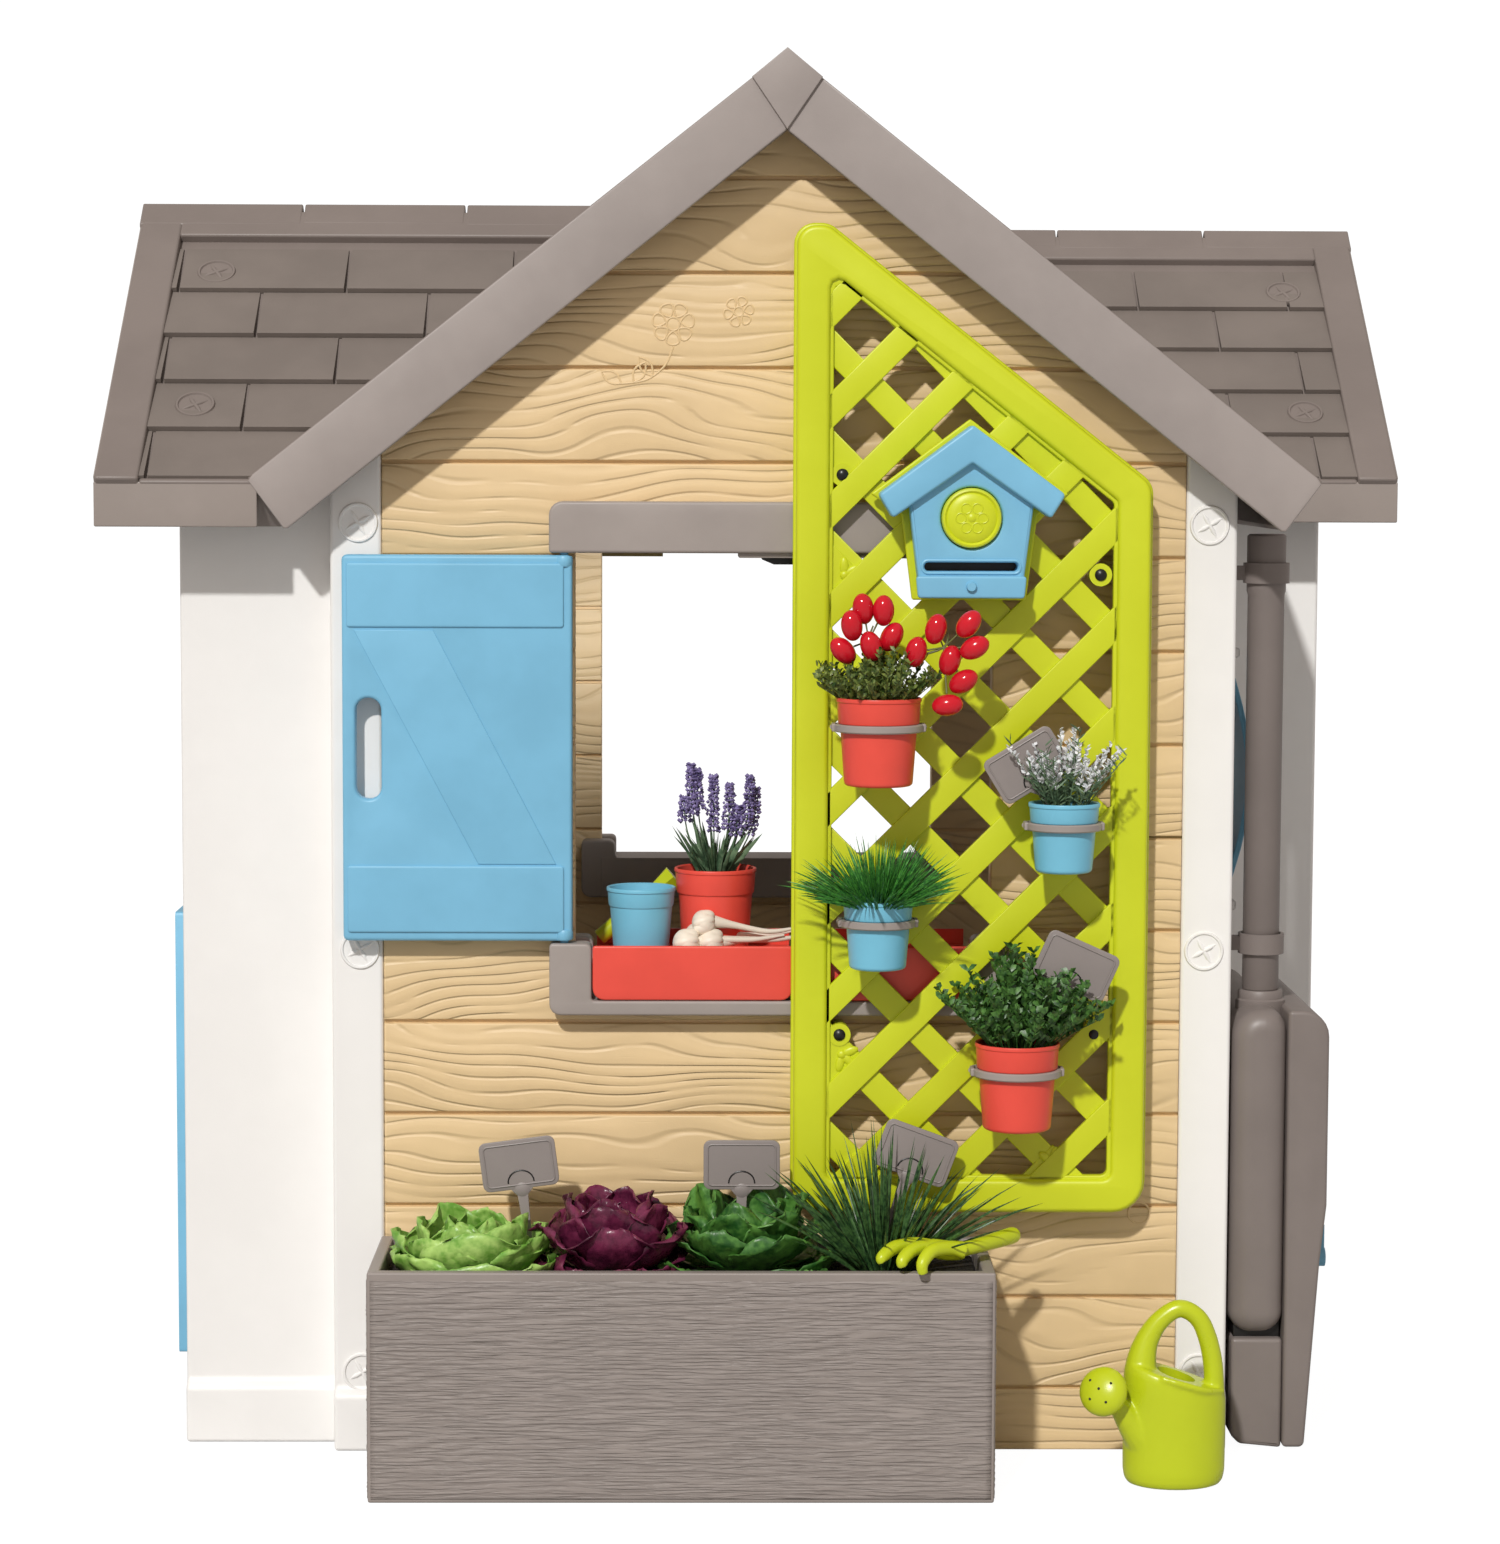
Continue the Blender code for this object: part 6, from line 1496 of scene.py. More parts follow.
# A blank board with a rounded rim line, on a tapered stake.
def buildLabel(node, body, lean):
    low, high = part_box(node)
    wide, tall, spare = labelLook["wide"] / 2, labelLook["tall"] / 2, labelLook["spare"]
    reach = wide * math.cos(lean) + tall * abs(math.sin(lean))
    centreZ = high.z - (wide * abs(math.sin(lean)) + tall * math.cos(lean)) + spare
    centreX = (low.x + high.x) / 2
    if lean:
        centreX = high.x - reach - spare if lean < 0 else low.x + reach + spare
    stake = (centreZ - low.z) / math.cos(lean) - spare
    inX, inZ = wide - labelLook["margin"], tall - labelLook["margin"]
    rim = [(x, -0.0018, z) for x, z in rounded(rect(-inX, inX, -inZ, inZ), 0.004, 5)]
    shaft = [(-0.0055, -tall + 0.004), (-0.0024, -stake), (0.0024, -stake), (0.0055, -tall + 0.004)]
    flare = [(-0.0055, -tall - 0.006), (0.0055, -tall - 0.006), (0.0115, -tall + 0.001),
             (-0.0115, -tall + 0.001)]
    knob = [(0, -0.0022), (0.0062, -0.0022), (0.0074, -0.0012), (0.0074, 0.001), (0, 0.001)]
    sign = [
        softPlate(node + "Board", [rounded(rect(-wide, wide, -tall, tall), 0.007, 5)], "front",
                  -0.0015, 0.0015, 0.0008, "label"),
        tubePiece(node + "Rim", rim, 0.00075, "label", None, 2, True),
        softPlate(node + "Stake", [shaft], "front", -0.0018, 0.0018, 0.0008, "label"),
        softPlate(node + "Flare", [flare], "front", -0.0013, 0.0013, 0.0006, "label"),
        lathe(node + "Knob", knob, (0, 0, -tall - 0.001), "label", 28, (0, 1, 0)),
    ]
    curve = [(0.0125 * math.cos(turn), -0.0016, -tall + 0.0065 + 0.0115 * math.sin(turn))
             for turn in fan(math.pi, 14)]
    arc = tubePiece(node + "Arc", curve, 0.0007, "dark", None, 2)
    piece = joinMeshes(node + "Detailed", sign, "label")
    place = Matrix.Translation((centreX, (low.y + high.y) / 2, centreZ)) @ Matrix.Rotation(-lean, 4, "Y")
    for part, nodes in ((arc, []), (piece, [node])):
        part.data.transform(place)
        settle(part, body, "label_grey", *nodes)


for node, (size, material, body, slotName) in pots.items():
    buildPot(node, size, material, body, slotName)
for place in ("upper_left", "right", "middle_left", "lower_right"):
    buildClip("pot_clip_" + place, pots["trellis_pot_" + place][0])
for place, (body, lean) in labelLook["leans"].items():
    buildLabel("plant_label_" + place, body, lean)
print("pots and labels")

planterLook = {
    "ripple": 0.0062,
    "depth": 0.00075,
    "rim": 0.0075,
    "margin": 0.003,
    "foot": 0.004,
    "skin": 0.0006,
    "thick": 0.0016,
    "border": 0.02,
    "columns": 90 / 0.59,
    "rows": 110,
}


# A grid pushed in and out in wavy level lines, flat at its border.
def rippleFace(shape, corner, across, outward, wide, tall):
    columns = max(12, round(planterLook["columns"] * wide))
    rows = planterLook["rows"]
    grid = []
    for row in range(rows + 1):
        line = []
        for column in range(columns + 1):
            u, v = wide * column / columns, tall * row / rows
            spot = corner + across * u + Vector((0, 0, 1)) * v
            bend = noise.noise(Vector((spot.x * 9 + spot.y * 7, spot.z * 26, 3.1)))
            fine = noise.noise(Vector((spot.x * 30 + spot.y * 30, spot.z * 150, 7.7)))
            wave = math.sin(2 * math.pi * (v / planterLook["ripple"] + bend * 3.2)) * 0.6 + fine * 1.1
            fade = min(1, 4 * min(u, wide - u, v, tall - v) / planterLook["border"])
            line.append(shape.verts.new(spot + outward * (planterLook["depth"] * (wave + 0.6) * fade)))
        grid.append(line)
    gridFaces(shape, grid)


def buildPlanter():
    low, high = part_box("planter_box")
    settle(softCopy("planter_box", 0.0022, "planterRim"), "planter", "planter_grey", "planter_box")
    shape = bmesh.new()
    margin, skin, z = planterLook["margin"], planterLook["skin"], planterLook["foot"]
    tall = high.z - planterLook["rim"] - z
    wide, deep = high.x - low.x - 2 * margin, high.y - low.y - 2 * margin
    sides = (
        ((low.x + margin, low.y - skin, z), (1, 0, 0), (0, -1, 0), wide),
        ((high.x - margin, high.y + skin, z), (-1, 0, 0), (0, 1, 0), wide),
        ((high.x + skin, low.y + margin, z), (0, 1, 0), (1, 0, 0), deep),
        ((low.x - skin, high.y - margin, z), (0, -1, 0), (-1, 0, 0), deep),
    )
    for corner, across, outward, length in sides:
        rippleFace(shape, Vector(corner), Vector(across), Vector(outward), length, tall)
    ripples = sheetPiece("planterRipples", shape, "planter", planterLook["thick"], -1)
    settle(ripples, "planter", "planter_grey")
    settle(softCopy("planting_insert", 0.003, "soil"), "planter", "insert_black", "planting_insert")


buildPlanter()
print("planter")

tankLook = {
    "seam": 0.497,
    "shadow": (0.1105, 0.1165),
    "round": 0.02,
    "shoulder": 0.012,
    "bulge": ((0.022, 0.002), (0.006, 0.19), (0.0, 0.245)),
    "collar": (0.0245, 0.0222),
    "lugs": (0.395, 0.345, 0.155),
}


# Two half shells that meet at a seam, over a narrower foot, with a collar for the pipe.
def buildTank():
    low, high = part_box("water_tank")
    pipeLow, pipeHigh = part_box("downpipe")
    top, seam = high.z - tankLook["shoulder"], tankLook["seam"]
    slotLow, slotHigh = tankLook["shadow"]
    left, front, back = low.x + 0.003, low.y + 0.002, high.y - 0.004
    start = seam + 0.0004
    (footIn, footZ), (bendIn, bendZ), (sideIn, sideZ) = tankLook["bulge"]
    leftHalf = rounded([(left, slotHigh), (seam, slotHigh), (seam, top), (left, top)],
                       [0.022, 0.0215, 0.0215, 0.03], 6)
    rightHalf = rounded([(start, footZ), (seam + footIn, footZ), (high.x - bendIn, bendZ),
                         (high.x - sideIn, sideZ), (high.x, top - 0.001), (start, top - 0.001)],
                        [0.004, 0.006, 0.02, 0.02, 0.026, 0.004], 6)
    foot = rounded([(left + 0.004, 0.012), (left + 0.012, 0.004), (seam, 0.0), (seam, slotLow),
                    (left + 0.003, slotLow)], [0.005, 0.008, 0.003, 0.004, 0.004], 3)
    wide, slim = tankLook["collar"]
    collar = [(0, top - 0.02), (wide, top - 0.02), (wide, top + 0.002), (slim, top + 0.0035),
              (slim, high.z - 0.0015), (slim - 0.0012, high.z), (0, high.z)]
    centre = ((pipeLow.x + pipeHigh.x) / 2, (pipeLow.y + pipeHigh.y) / 2, 0)
    pieces = [
        softPlate("tankLeftHalf", [leftHalf], "front", front, back, tankLook["round"], "tank", 6),
        softPlate("tankRightHalf", [rightHalf], "front", front + 0.004, back, 0.004, "tank", 4),
        softPlate("tankFoot", [foot], "front", front + 0.01, back - 0.01, 0.004, "tank", 3),
        lathe("tankCollar", collar, centre, "tank", 48),
    ]
    for index, z in enumerate(tankLook["lugs"]):
        lug = rounded(rect(low.x - 0.0002, left + 0.006, z - 0.028, z + 0.014), 0.002, 2)
        pieces.append(softPlate(f"tankLug{index}", [lug], "front", front + 0.05, front + 0.075,
                                0.001, "tank"))
    settle(joinMeshes("waterTank", pieces, "tank"), shell, "tank_grey", "water_tank")
    # A dark plate in the gap between the foot and the shell above it: painted shade.
    slot = rect(left + 0.006, seam - 0.002, slotLow - 0.012, slotHigh + 0.012)
    shadow = softPlate("tankSlotShade", [slot], "front", front + 0.02, back - 0.03, 0.001, "dark")
    settle(shadow, shell, "tank_grey")


buildTank()
settle(softCopy("tap_spout", 0.001, "tank"), shell, "tap_grey", "tap_spout")
settle(softCopy("tap_lever", 0.001, "blue"), "tap_handle", "tap_blue", "tap_lever")


def buildPipe():
    low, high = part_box("downpipe")
    x, y, r = (low.x + high.x) / 2, (low.y + high.y) / 2, (high.x - low.x) / 2
    length, slim = high.z - low.z, r - 0.0012
    profile = [(0, 0), (r - 0.002, 0), (slim, 0.0012), (slim, length - 0.06), (r, length - 0.056),
               (r, length - 0.002), (r - 0.002, length), (0, length)]
    settle(lathe("downpipeTube", profile, (x, y, low.z), "tank", 48), shell, "pipe_grey", "downpipe")
    for node in ("pipe_clip_upper", "pipe_clip_lower"):
        settle(softCopy(node, 0.0012, "tank", 2), shell, "pipe_grey", node)


buildPipe()
print("tank and pipe")

# Rings are (scale, height), tube points (x, y, z, radius) from the can's own centre.
canLook = {
    "place": (0.3745, -0.118),
    "wide": 0.049,
    "deep": 0.035,
    "height": 0.105,
    "tilt": 0.3,
    "voxel": 0.0017,
    "body": [(0.8, 0.0), (0.9, 0.0015), (0.965, 0.006), (0.995, 0.014), (1.0, 0.03), (1.0, 0.06),
             (1.0, 0.091), (0.985, 0.099), (0.94, 0.104), (0.86, 0.106)],
    "loop": [(-0.031, 0, 0.08, 0.019), (-0.0325, 0, 0.112, 0.0155), (-0.0275, 0, 0.137, 0.0118),
             (-0.0145, 0, 0.158, 0.0095), (0.004, 0, 0.1695, 0.0088), (0.0215, 0, 0.1605, 0.009),
             (0.031, 0, 0.141, 0.0093), (0.0365, 0, 0.116, 0.0096), (0.0385, 0, 0.085, 0.0098)],
    "spout": [(-0.03, -0.008, 0.045, 0.019), (-0.044, -0.014, 0.063, 0.0135),
              (-0.057, -0.021, 0.082, 0.0095), (-0.068, -0.03, 0.0935, 0.009)],
    "crease": [(-0.016, -0.03, 0.1085, 0.0032), (0.004, -0.0335, 0.1035, 0.0034),
               (0.026, -0.0285, 0.0965, 0.0032), (0.0445, -0.012, 0.0925, 0.0028)],
    "chamber": [(0.8, 0.005), (0.9, 0.012), (0.92, 0.03), (0.92, 0.083), (0.8, 0.093)],
    "neck": [(0, 0.07), (0.0165, 0.07), (0.0165, 0.135), (0, 0.135)],
    "roseWay": (-0.42, -0.8, 0.34),
    "rosePlace": (-0.0715, -0.0325, 0.0968),
    "roseSize": (0.0238, 0.0238, 0.0135),
    "roseBack": (0.0175, 0.0175, 0.013),
    "roseHoles": ((0, 0.001), (0.0105, 0.008), (-0.0105, 0.0075), (0.008, -0.0095), (-0.008, -0.0105)),
}


# A stack of oval rings whose top leans down to the right.
def ovalBody(name, rings, material, squeeze, steps=56):
    shape = bmesh.new()
    loops = []
    for scale, height in rings:
        loop = []
        share = max(0, height / canLook["height"])
        for turn in fan(2 * math.pi, steps)[:-1]:
            x = math.cos(turn) * canLook["wide"] * scale
            y = math.sin(turn) * canLook["deep"] * scale * squeeze
            loop.append(shape.verts.new((x, y, height - canLook["tilt"] * x * share ** 3)))
        loops.append(loop)
    for lower, upper in zip(loops, loops[1:]):
        sideFaces(shape, lower, upper)
    shape.faces.new(loops[0][::-1])
    shape.faces.new(loops[-1])
    return meshPiece(name, shape, material)


def buildCan():
    place = Matrix.Translation((canLook["place"][0], wallFront + canLook["place"][1], 0))
    facing, rose = Vector(canLook["roseWay"]).normalized(), Vector(canLook["rosePlace"])
    width, depth = canLook["roseSize"][0], canLook["roseSize"][2]
    pieces = [ovalBody("canBody", canLook["body"], "toolLime", 1.0)]
    pieces += [taperedTube("can" + part.title(), canLook[part], "toolLime") for part in ("loop", "spout")]
    pieces += [ellipsoid("canRose", rose, canLook["roseSize"], facing, "toolLime"),
               ellipsoid("canRoseBack", rose - facing * 0.006, canLook["roseBack"], facing, "toolLime"),
               taperedTube("canCrease", canLook["crease"], "toolLime")]
    can = moulded("wateringCan", pieces, canLook["voxel"], 5, "toolLime")
    chamber = ovalBody("canChamber", canLook["chamber"], "toolLime", 0.97)
    neck = lathe("canNeck", canLook["neck"], (0.001, 0.0, 0), "toolLime", 40)
    neck.data.transform(Matrix.Diagonal((1.12, 1.2, 1, 1)))
    for tool in (chamber, neck):
        hollow = can.modifiers.new(tool.name, "BOOLEAN")
        hollow.operation = "DIFFERENCE"
        hollow.object = tool
    data = evaluatedMesh(can)
    for piece in (can, chamber, neck):
        bpy.data.objects.remove(piece, do_unlink=True)
    shadeSoft(data, 50)
    data.transform(place)
    settle(linkPiece("wateringCan", data, "toolLime"), "can", "tool_lime", "watering_can")
    across = facing.cross(Vector((0, 0, 1))).normalized()
    up = across.cross(facing)
    # Dark dots stand for the rose's holes: painted shade inside them.
    dot = [(0, -0.002), (0.0013, -0.002), (0.0013, 0.001), (0, 0.001)]
    holes = []
    for index, (a, b) in enumerate(canLook["roseHoles"]):
        rise = depth * math.sqrt(1 - (a * a + b * b) / width ** 2) - 0.0008
        spot = rose + across * a + up * b + facing * rise
        holes.append(lathe(f"roseHole{index}", dot, spot, "dark", 14, facing))
    dots = joinMeshes("roseHoles", holes, "dark")
    dots.data.transform(place)
    settle(dots, "can", "tool_lime")


# Points are (x, y, z, radius): y from the planter's front, z from its rim.
rakeLook = {
    "tips": ((0.0905, 0.004, 0.006), (0.109, -0.0045, 0.0035), (0.1275, -0.0095, -0.0025)),
    "root": (0.125, 0.032),
    "apart": (0.0155, -0.008),
    "palm": [(0.128, 0.036, 0.0185, 0.0078), (0.15, 0.026, 0.0165, 0.0096), (0.168, 0.03, 0.0155, 0.009)],
    "handle": [(0.16, 0.028, 0.0155, 0.0078), (0.178, 0.04, 0.0165, 0.007), (0.2, 0.062, 0.0178, 0.0078),
               (0.217, 0.08, 0.0188, 0.0082), (0.222, 0.0855, 0.019, 0.0066)],
}


# Three curled fingers, a palm and a straight handle that lies over the rim.
def buildRake():
    low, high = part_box("planter_box")
    paths = {}
    for index, (tipX, tipY, drop) in enumerate(rakeLook["tips"]):
        x, y = [start + index * step for start, step in zip(rakeLook["root"], rakeLook["apart"])]
        paths[f"rakeFinger{index}"] = [
            (x + 0.013, y + 0.004, 0.0165, 0.0074), (x, y, 0.0205, 0.0072),
            ((x + tipX) / 2 - 0.004, (y + tipY) / 2 - 0.001, 0.0212, 0.0068),
            (tipX, tipY, 0.0125 + drop * 0.3, 0.006), (tipX + 0.0005, tipY - 0.0008, drop + 0.004, 0.0048)]
    paths["rakePalm"], paths["rakeHandle"] = rakeLook["palm"], rakeLook["handle"]
    pieces = [taperedTube(name, [(x, low.y + y, high.z + z, r) for x, y, z, r in path], "toolLime")
              for name, path in paths.items()]
    settle(moulded("handRake", pieces, 0.0013, 5, "toolLime"), "rake", "tool_lime", "hand_rake")


buildCan()
buildRake()
settle(softCopy("hand_trowel", 0.0012, "toolLime", 2), "trowel", "tool_lime", "hand_trowel")
print("tools")

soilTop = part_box("planting_insert")[1].z
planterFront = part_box("planting_insert")[0].y + 0.004
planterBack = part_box("planting_insert")[1].y - 0.004
rowY = (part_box("planter_box")[0].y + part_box("planter_box")[1].y) / 2
leafBack = -0.476


def potTop(node):
    low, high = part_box(node)
    return Vector(((low.x + high.x) / 2, (low.y + high.y) / 2, high.z - 0.008))


# A path that leaves the base along its heading and bends down, kept in front of a limit.
def arcPath(base, heading, length, droop, steps=5, backLimit=None):
    place, way = Vector(base), Vector(heading).normalized()
    points = [place.copy()]
    for _ in range(steps):
        way = (way + Vector((0, 0, -droop))).normalized()
        place = place + way * (length / steps)
        if backLimit is not None:
            place.y = min(place.y, backLimit)
        points.append(place.copy())
    return points


# A thin closed blade along a path, pointed at its end.
def addBlade(shape, path, width, facing, thick=0.0006, widths=(0.6, 1.0, 0.95, 0.7, 0.5)):
    rings = []
    for index, place in enumerate(path[:-1]):
        ahead = (path[index + 1] - path[max(index - 1, 0)]).normalized()
        across = ahead.cross(facing).normalized()
        out = across.cross(ahead).normalized()
        half = width / 2 * widths[min(index, len(widths) - 1)]
        rings.append([shape.verts.new(place + offset)
                      for offset in (across * half, out * thick, -across * half, -out * thick)])
    tip = shape.verts.new(path[-1])
    for first, second in zip(rings, rings[1:]):
        sideFaces(shape, first, second)
    for k in range(4):
        shape.faces.new((rings[-1][k], rings[-1][(k + 1) % 4], tip))
    shape.faces.new(rings[0][::-1])


def addBud(shape, place, wide, tall):
    points = [Vector((0, 0, tall)), Vector((0, 0, -tall)), Vector((wide, 0, 0)), Vector((0, wide, 0)),
              Vector((-wide, 0, 0)), Vector((0, -wide, 0))]
    top, bottom, *ring = [shape.verts.new(place + point) for point in points]
    for k in range(4):
        shape.faces.new((ring[k], ring[(k + 1) % 4], top))
        shape.faces.new((ring[(k + 1) % 4], ring[k], bottom))


def anyWay(draw):
    return Vector((draw.uniform(-1, 1), draw.uniform(-1, 1), draw.uniform(-0.6, 1))).normalized()


def headingFor(turn, lean):
    return Vector((math.cos(turn) * math.sin(lean), math.sin(turn) * math.sin(lean), math.cos(lean)))


# A random spot round the centre, with its direction and its share of the reach.
def rootSpot(draw, centre, reach, power):
    turn, spread = draw.uniform(0, 2 * math.pi), draw.random() ** power
    return Vector(centre) + Vector((math.cos(turn), math.sin(turn), 0)) * reach * spread, turn, spread


def spotAlong(path, share):
    segment = min(int(share), len(path) - 2)
    return path[segment].lerp(path[segment + 1], share - segment)


# Many thin blades from one root.
def buildTuft(name, body, centre, material, seed, blades, base, lean, length, droop, width, backLimit):
    draw = random.Random(seed)
    shape = bmesh.new()
    for _ in range(blades):
        start, turn, spread = rootSpot(draw, centre, base, 0.55)
        way = headingFor(turn, lean * spread + draw.uniform(-0.12, 0.12))
        path = arcPath(start, way, draw.uniform(*length), droop * (0.3 + spread), 5, backLimit)
        addBlade(shape, path, width * draw.uniform(0.75, 1.2), anyWay(draw), width * 0.2)
    settle(meshPiece(name, shape, material, 60), body, None)


# Thin stems with pairs of small leaves, each leaf given as (length, width).
def buildBush(name, node, material, seed, stems, base, lean, length, leaf, gap, leafStart=0.25):
    draw = random.Random(seed)
    shape = bmesh.new()
    for _ in range(stems):
        start, turn, spread = rootSpot(draw, potTop(node), base, 0.5)
        way = headingFor(turn, lean * spread + draw.uniform(-0.15, 0.15))
        reach = draw.uniform(*length) * (1 - 0.22 * spread)
        path = arcPath(start, way, reach, 0.05 * spread, 6, leafBack)
        addBlade(shape, path, 0.0011, anyWay(draw), 0.0005)
        count = int(reach * (1 - leafStart) / gap)
        for index in range(count):
            spot = spotAlong(path, (leafStart + (1 - leafStart) * (index + 0.6) / count) * 6)
            spin = draw.uniform(0, math.pi)
            for side in (0, math.pi):
                out = headingFor(spin + side, draw.uniform(0.6, 1.1))
                size = leaf[0] * draw.uniform(0.7, 1.15)
                tip = spot + out * size
                tip.y = min(tip.y, leafBack)
                middle = spot.lerp(tip, 0.5) + Vector((0, 0, size * 0.12))
                addBlade(shape, [spot, middle, tip], leaf[1], anyWay(draw), 0.0004, (0.45, 1.0))
    settle(meshPiece(name, shape, material, 60), pots[node][2], None)


# A cupped leaf that leaves the heart, bends up and has a wavy border.
def addHeadLeaf(shape, centre, turn, rise, curl, length, width, ruffle, draw, rows=14, columns=16):
    outward = Vector((math.cos(turn), math.sin(turn), 0))
    across = Vector((-math.sin(turn), math.cos(turn), 0))
    far, tall = 0.007, 0.0
    place = Vector((draw.uniform(0, 40), draw.uniform(0, 40), draw.uniform(0, 40)))
    grid = []

    def rough(x, y, z):
        return noise.noise(place + Vector((x, y, z)))

    for row in range(rows + 1):
        v = row / rows
        angle = rise + curl * (v - 0.4)
        swell = 0.28 + 0.72 * math.sin(math.pi * min(0.08 + 0.62 * v, 1)) ** 0.9
        half = width / 2 * swell * (1 - 0.42 * v ** 6)
        inward = Vector((0, 0, math.cos(angle))) - outward * math.sin(angle)
        line = []
        for column in range(columns + 1):
            u = 2 * column / columns - 1
            border = abs(u) ** 2.2 * (0.35 + 0.65 * v) + v ** 4 * 0.8
            wave = rough(u * 2.0, v * 2.3, 0) + 0.5 * rough(u * 5, v * 5, 9)
            crumple = 0.0022 * rough(u * 5, v * 6, 3)
            crumple -= 0.0014 * math.exp(-(u / 0.11) ** 2) + 0.0006 * math.sin(6.28 * (v * 6 - abs(u) * 2.2))
            bend = (1 - u * u * 0.16 * v)
            spot = (centre + outward * far + Vector((0, 0, tall)) * bend + across * (u * half)
                    + inward * (0.34 * u * u * half + ruffle * border * wave * 2.0 + crumple))
            spot.y = min(max(spot.y, planterFront), planterBack)
            line.append(shape.verts.new(spot))
        grid.append(line)
        far += math.cos(angle) * length / rows
        tall += math.sin(angle) * length / rows
    gridFaces(shape, grid)


# Each head: place along the planter, seed, ruffle, and layers of (leaves, rise, curl, length, width).
heads = {
    "lettuce": (-0.296, 5, 0.0048, ((7, 12, 95, 0.094, 0.1), (7, 32, 90, 0.086, 0.1),
                                    (6, 52, 95, 0.076, 0.085), (5, 70, 95, 0.062, 0.07))),
    "radicchio": (-0.162, 9, 0.0058, ((6, 12, 80, 0.08, 0.092), (5, 40, 60, 0.088, 0.098),
                                      (5, 58, 50, 0.092, 0.092), (4, 72, 45, 0.084, 0.075))),
    "cabbage": (-0.037, 14, 0.0046, ((6, 8, 60, 0.088, 0.086), (6, 34, 35, 0.094, 0.08),
                                     (6, 54, 35, 0.094, 0.078), (4, 70, 45, 0.086, 0.066))),
}


def buildHead(plant, x, seed, ruffle, layers):
    draw = random.Random(seed)
    shape = bmesh.new()
    centre = Vector((x, rowY, soilTop - 0.004))
    for layer, (count, rise, curl, length, width) in enumerate(layers):
        for index in range(count):
            turn = 1.1 * (layer + 1) + 2 * math.pi * index / count + draw.uniform(-0.12, 0.12)
            addHeadLeaf(shape, centre, turn, math.radians(rise + draw.uniform(-6, 6)), math.radians(curl),
                        length * draw.uniform(0.9, 1.08), width * draw.uniform(0.9, 1.1), ruffle, draw)
    settle(sheetPiece(plant + "Head", shape, plant, 0.0009, 0), "planter", None)


for plant, values in heads.items():
    buildHead(plant, *values)
buildTuft("chiveTuft", "planter", (0.095, rowY - 0.002, soilTop - 0.002), "chive", 3, 125, 0.024, 0.8,
          (0.08, 0.15), 0.07, 0.0046, -0.478)
buildTuft("grassTuft", "pot_middle_left", potTop("trellis_pot_middle_left"), "grass", 7, 560, 0.028, 1.08,
          (0.034, 0.074), 0.06, 0.0025, leafBack)
buildBush("thymeBush", "trellis_pot_lower_right", "thyme", 11, 130, 0.028, 0.8,
          (0.052, 0.106), (0.0095, 0.0058), 0.005)
buildBush("tomatoLeaves", "trellis_pot_upper_left", "sprigLeaf", 17, 120, 0.031, 0.8,
          (0.032, 0.066), (0.0068, 0.0038), 0.004, 0.1)

# Sprays of fruit: the knot, how far ahead the fruit hangs, and each fruit as (x, z, angle).
sprays = (
    ((-0.01, -0.004, 0.062), -0.004, ((-0.0155, 0.092, 8), (0.0035, 0.0905, 0), (-0.0265, 0.0765, 8),
                                       (0.0115, 0.0655, -28), (-0.0345, 0.0525, 42), (-0.008, 0.057, 20))),
    ((0.06, -0.012, 0.056), -0.016, ((0.0525, 0.0735, -14), (0.083, 0.0785, -38), (0.0885, 0.0565, -62),
                                      (0.066, 0.044, -16), (0.0785, 0.0245, -58), (0.0635, 0.0025, -84),
                                      (0.034, 0.052, -12))),
)


# Two sprays of long cherry tomatoes on thin stalks.
def buildTomatoes():
    node = "trellis_pot_upper_left"
    fruit, stalks = [], []
    for spray, (knot, ahead, places) in enumerate(sprays):
        knot = Vector(knot)
        middle = (knot.x * 0.5, knot.y * 0.5 - 0.004, knot.z * 0.75)
        stem = [(0.0, 0.0, 0.0, 0.0013), (*middle, 0.0012), (*knot, 0.0011),
                (*(knot + Vector((0.004, 0, 0.014))), 0.0008)]
        stalks.append(taperedTube(f"tomatoStem{spray}", stem, "twig", 4))
        for index, (x, z, angle) in enumerate(places):
            centre = Vector((x, ahead - 0.004 * (index % 3), z))
            axis = (-math.sin(math.radians(angle)), -0.12, math.cos(math.radians(angle)))
            fruit.append(ellipsoid(f"tomato{spray}{index}", centre, (0.0102, 0.0102, 0.0148), axis, "tomato"))
            end = centre + (knot - centre).normalized() * 0.011
            stalk = [(*knot, 0.0009), (*end.lerp(knot, 0.5), 0.0008), (*end, 0.001)]
            stalks.append(taperedTube(f"tomatoStalk{spray}{index}", stalk, "twig", 3))
    for pieces, label, material in ((fruit, "tomatoes", "tomato"), (stalks, "tomatoStalks", "twig")):
        whole = joinMeshes(label, pieces, material, 60)
        whole.data.transform(Matrix.Translation(potTop(node)))
        settle(whole, pots[node][2], None)


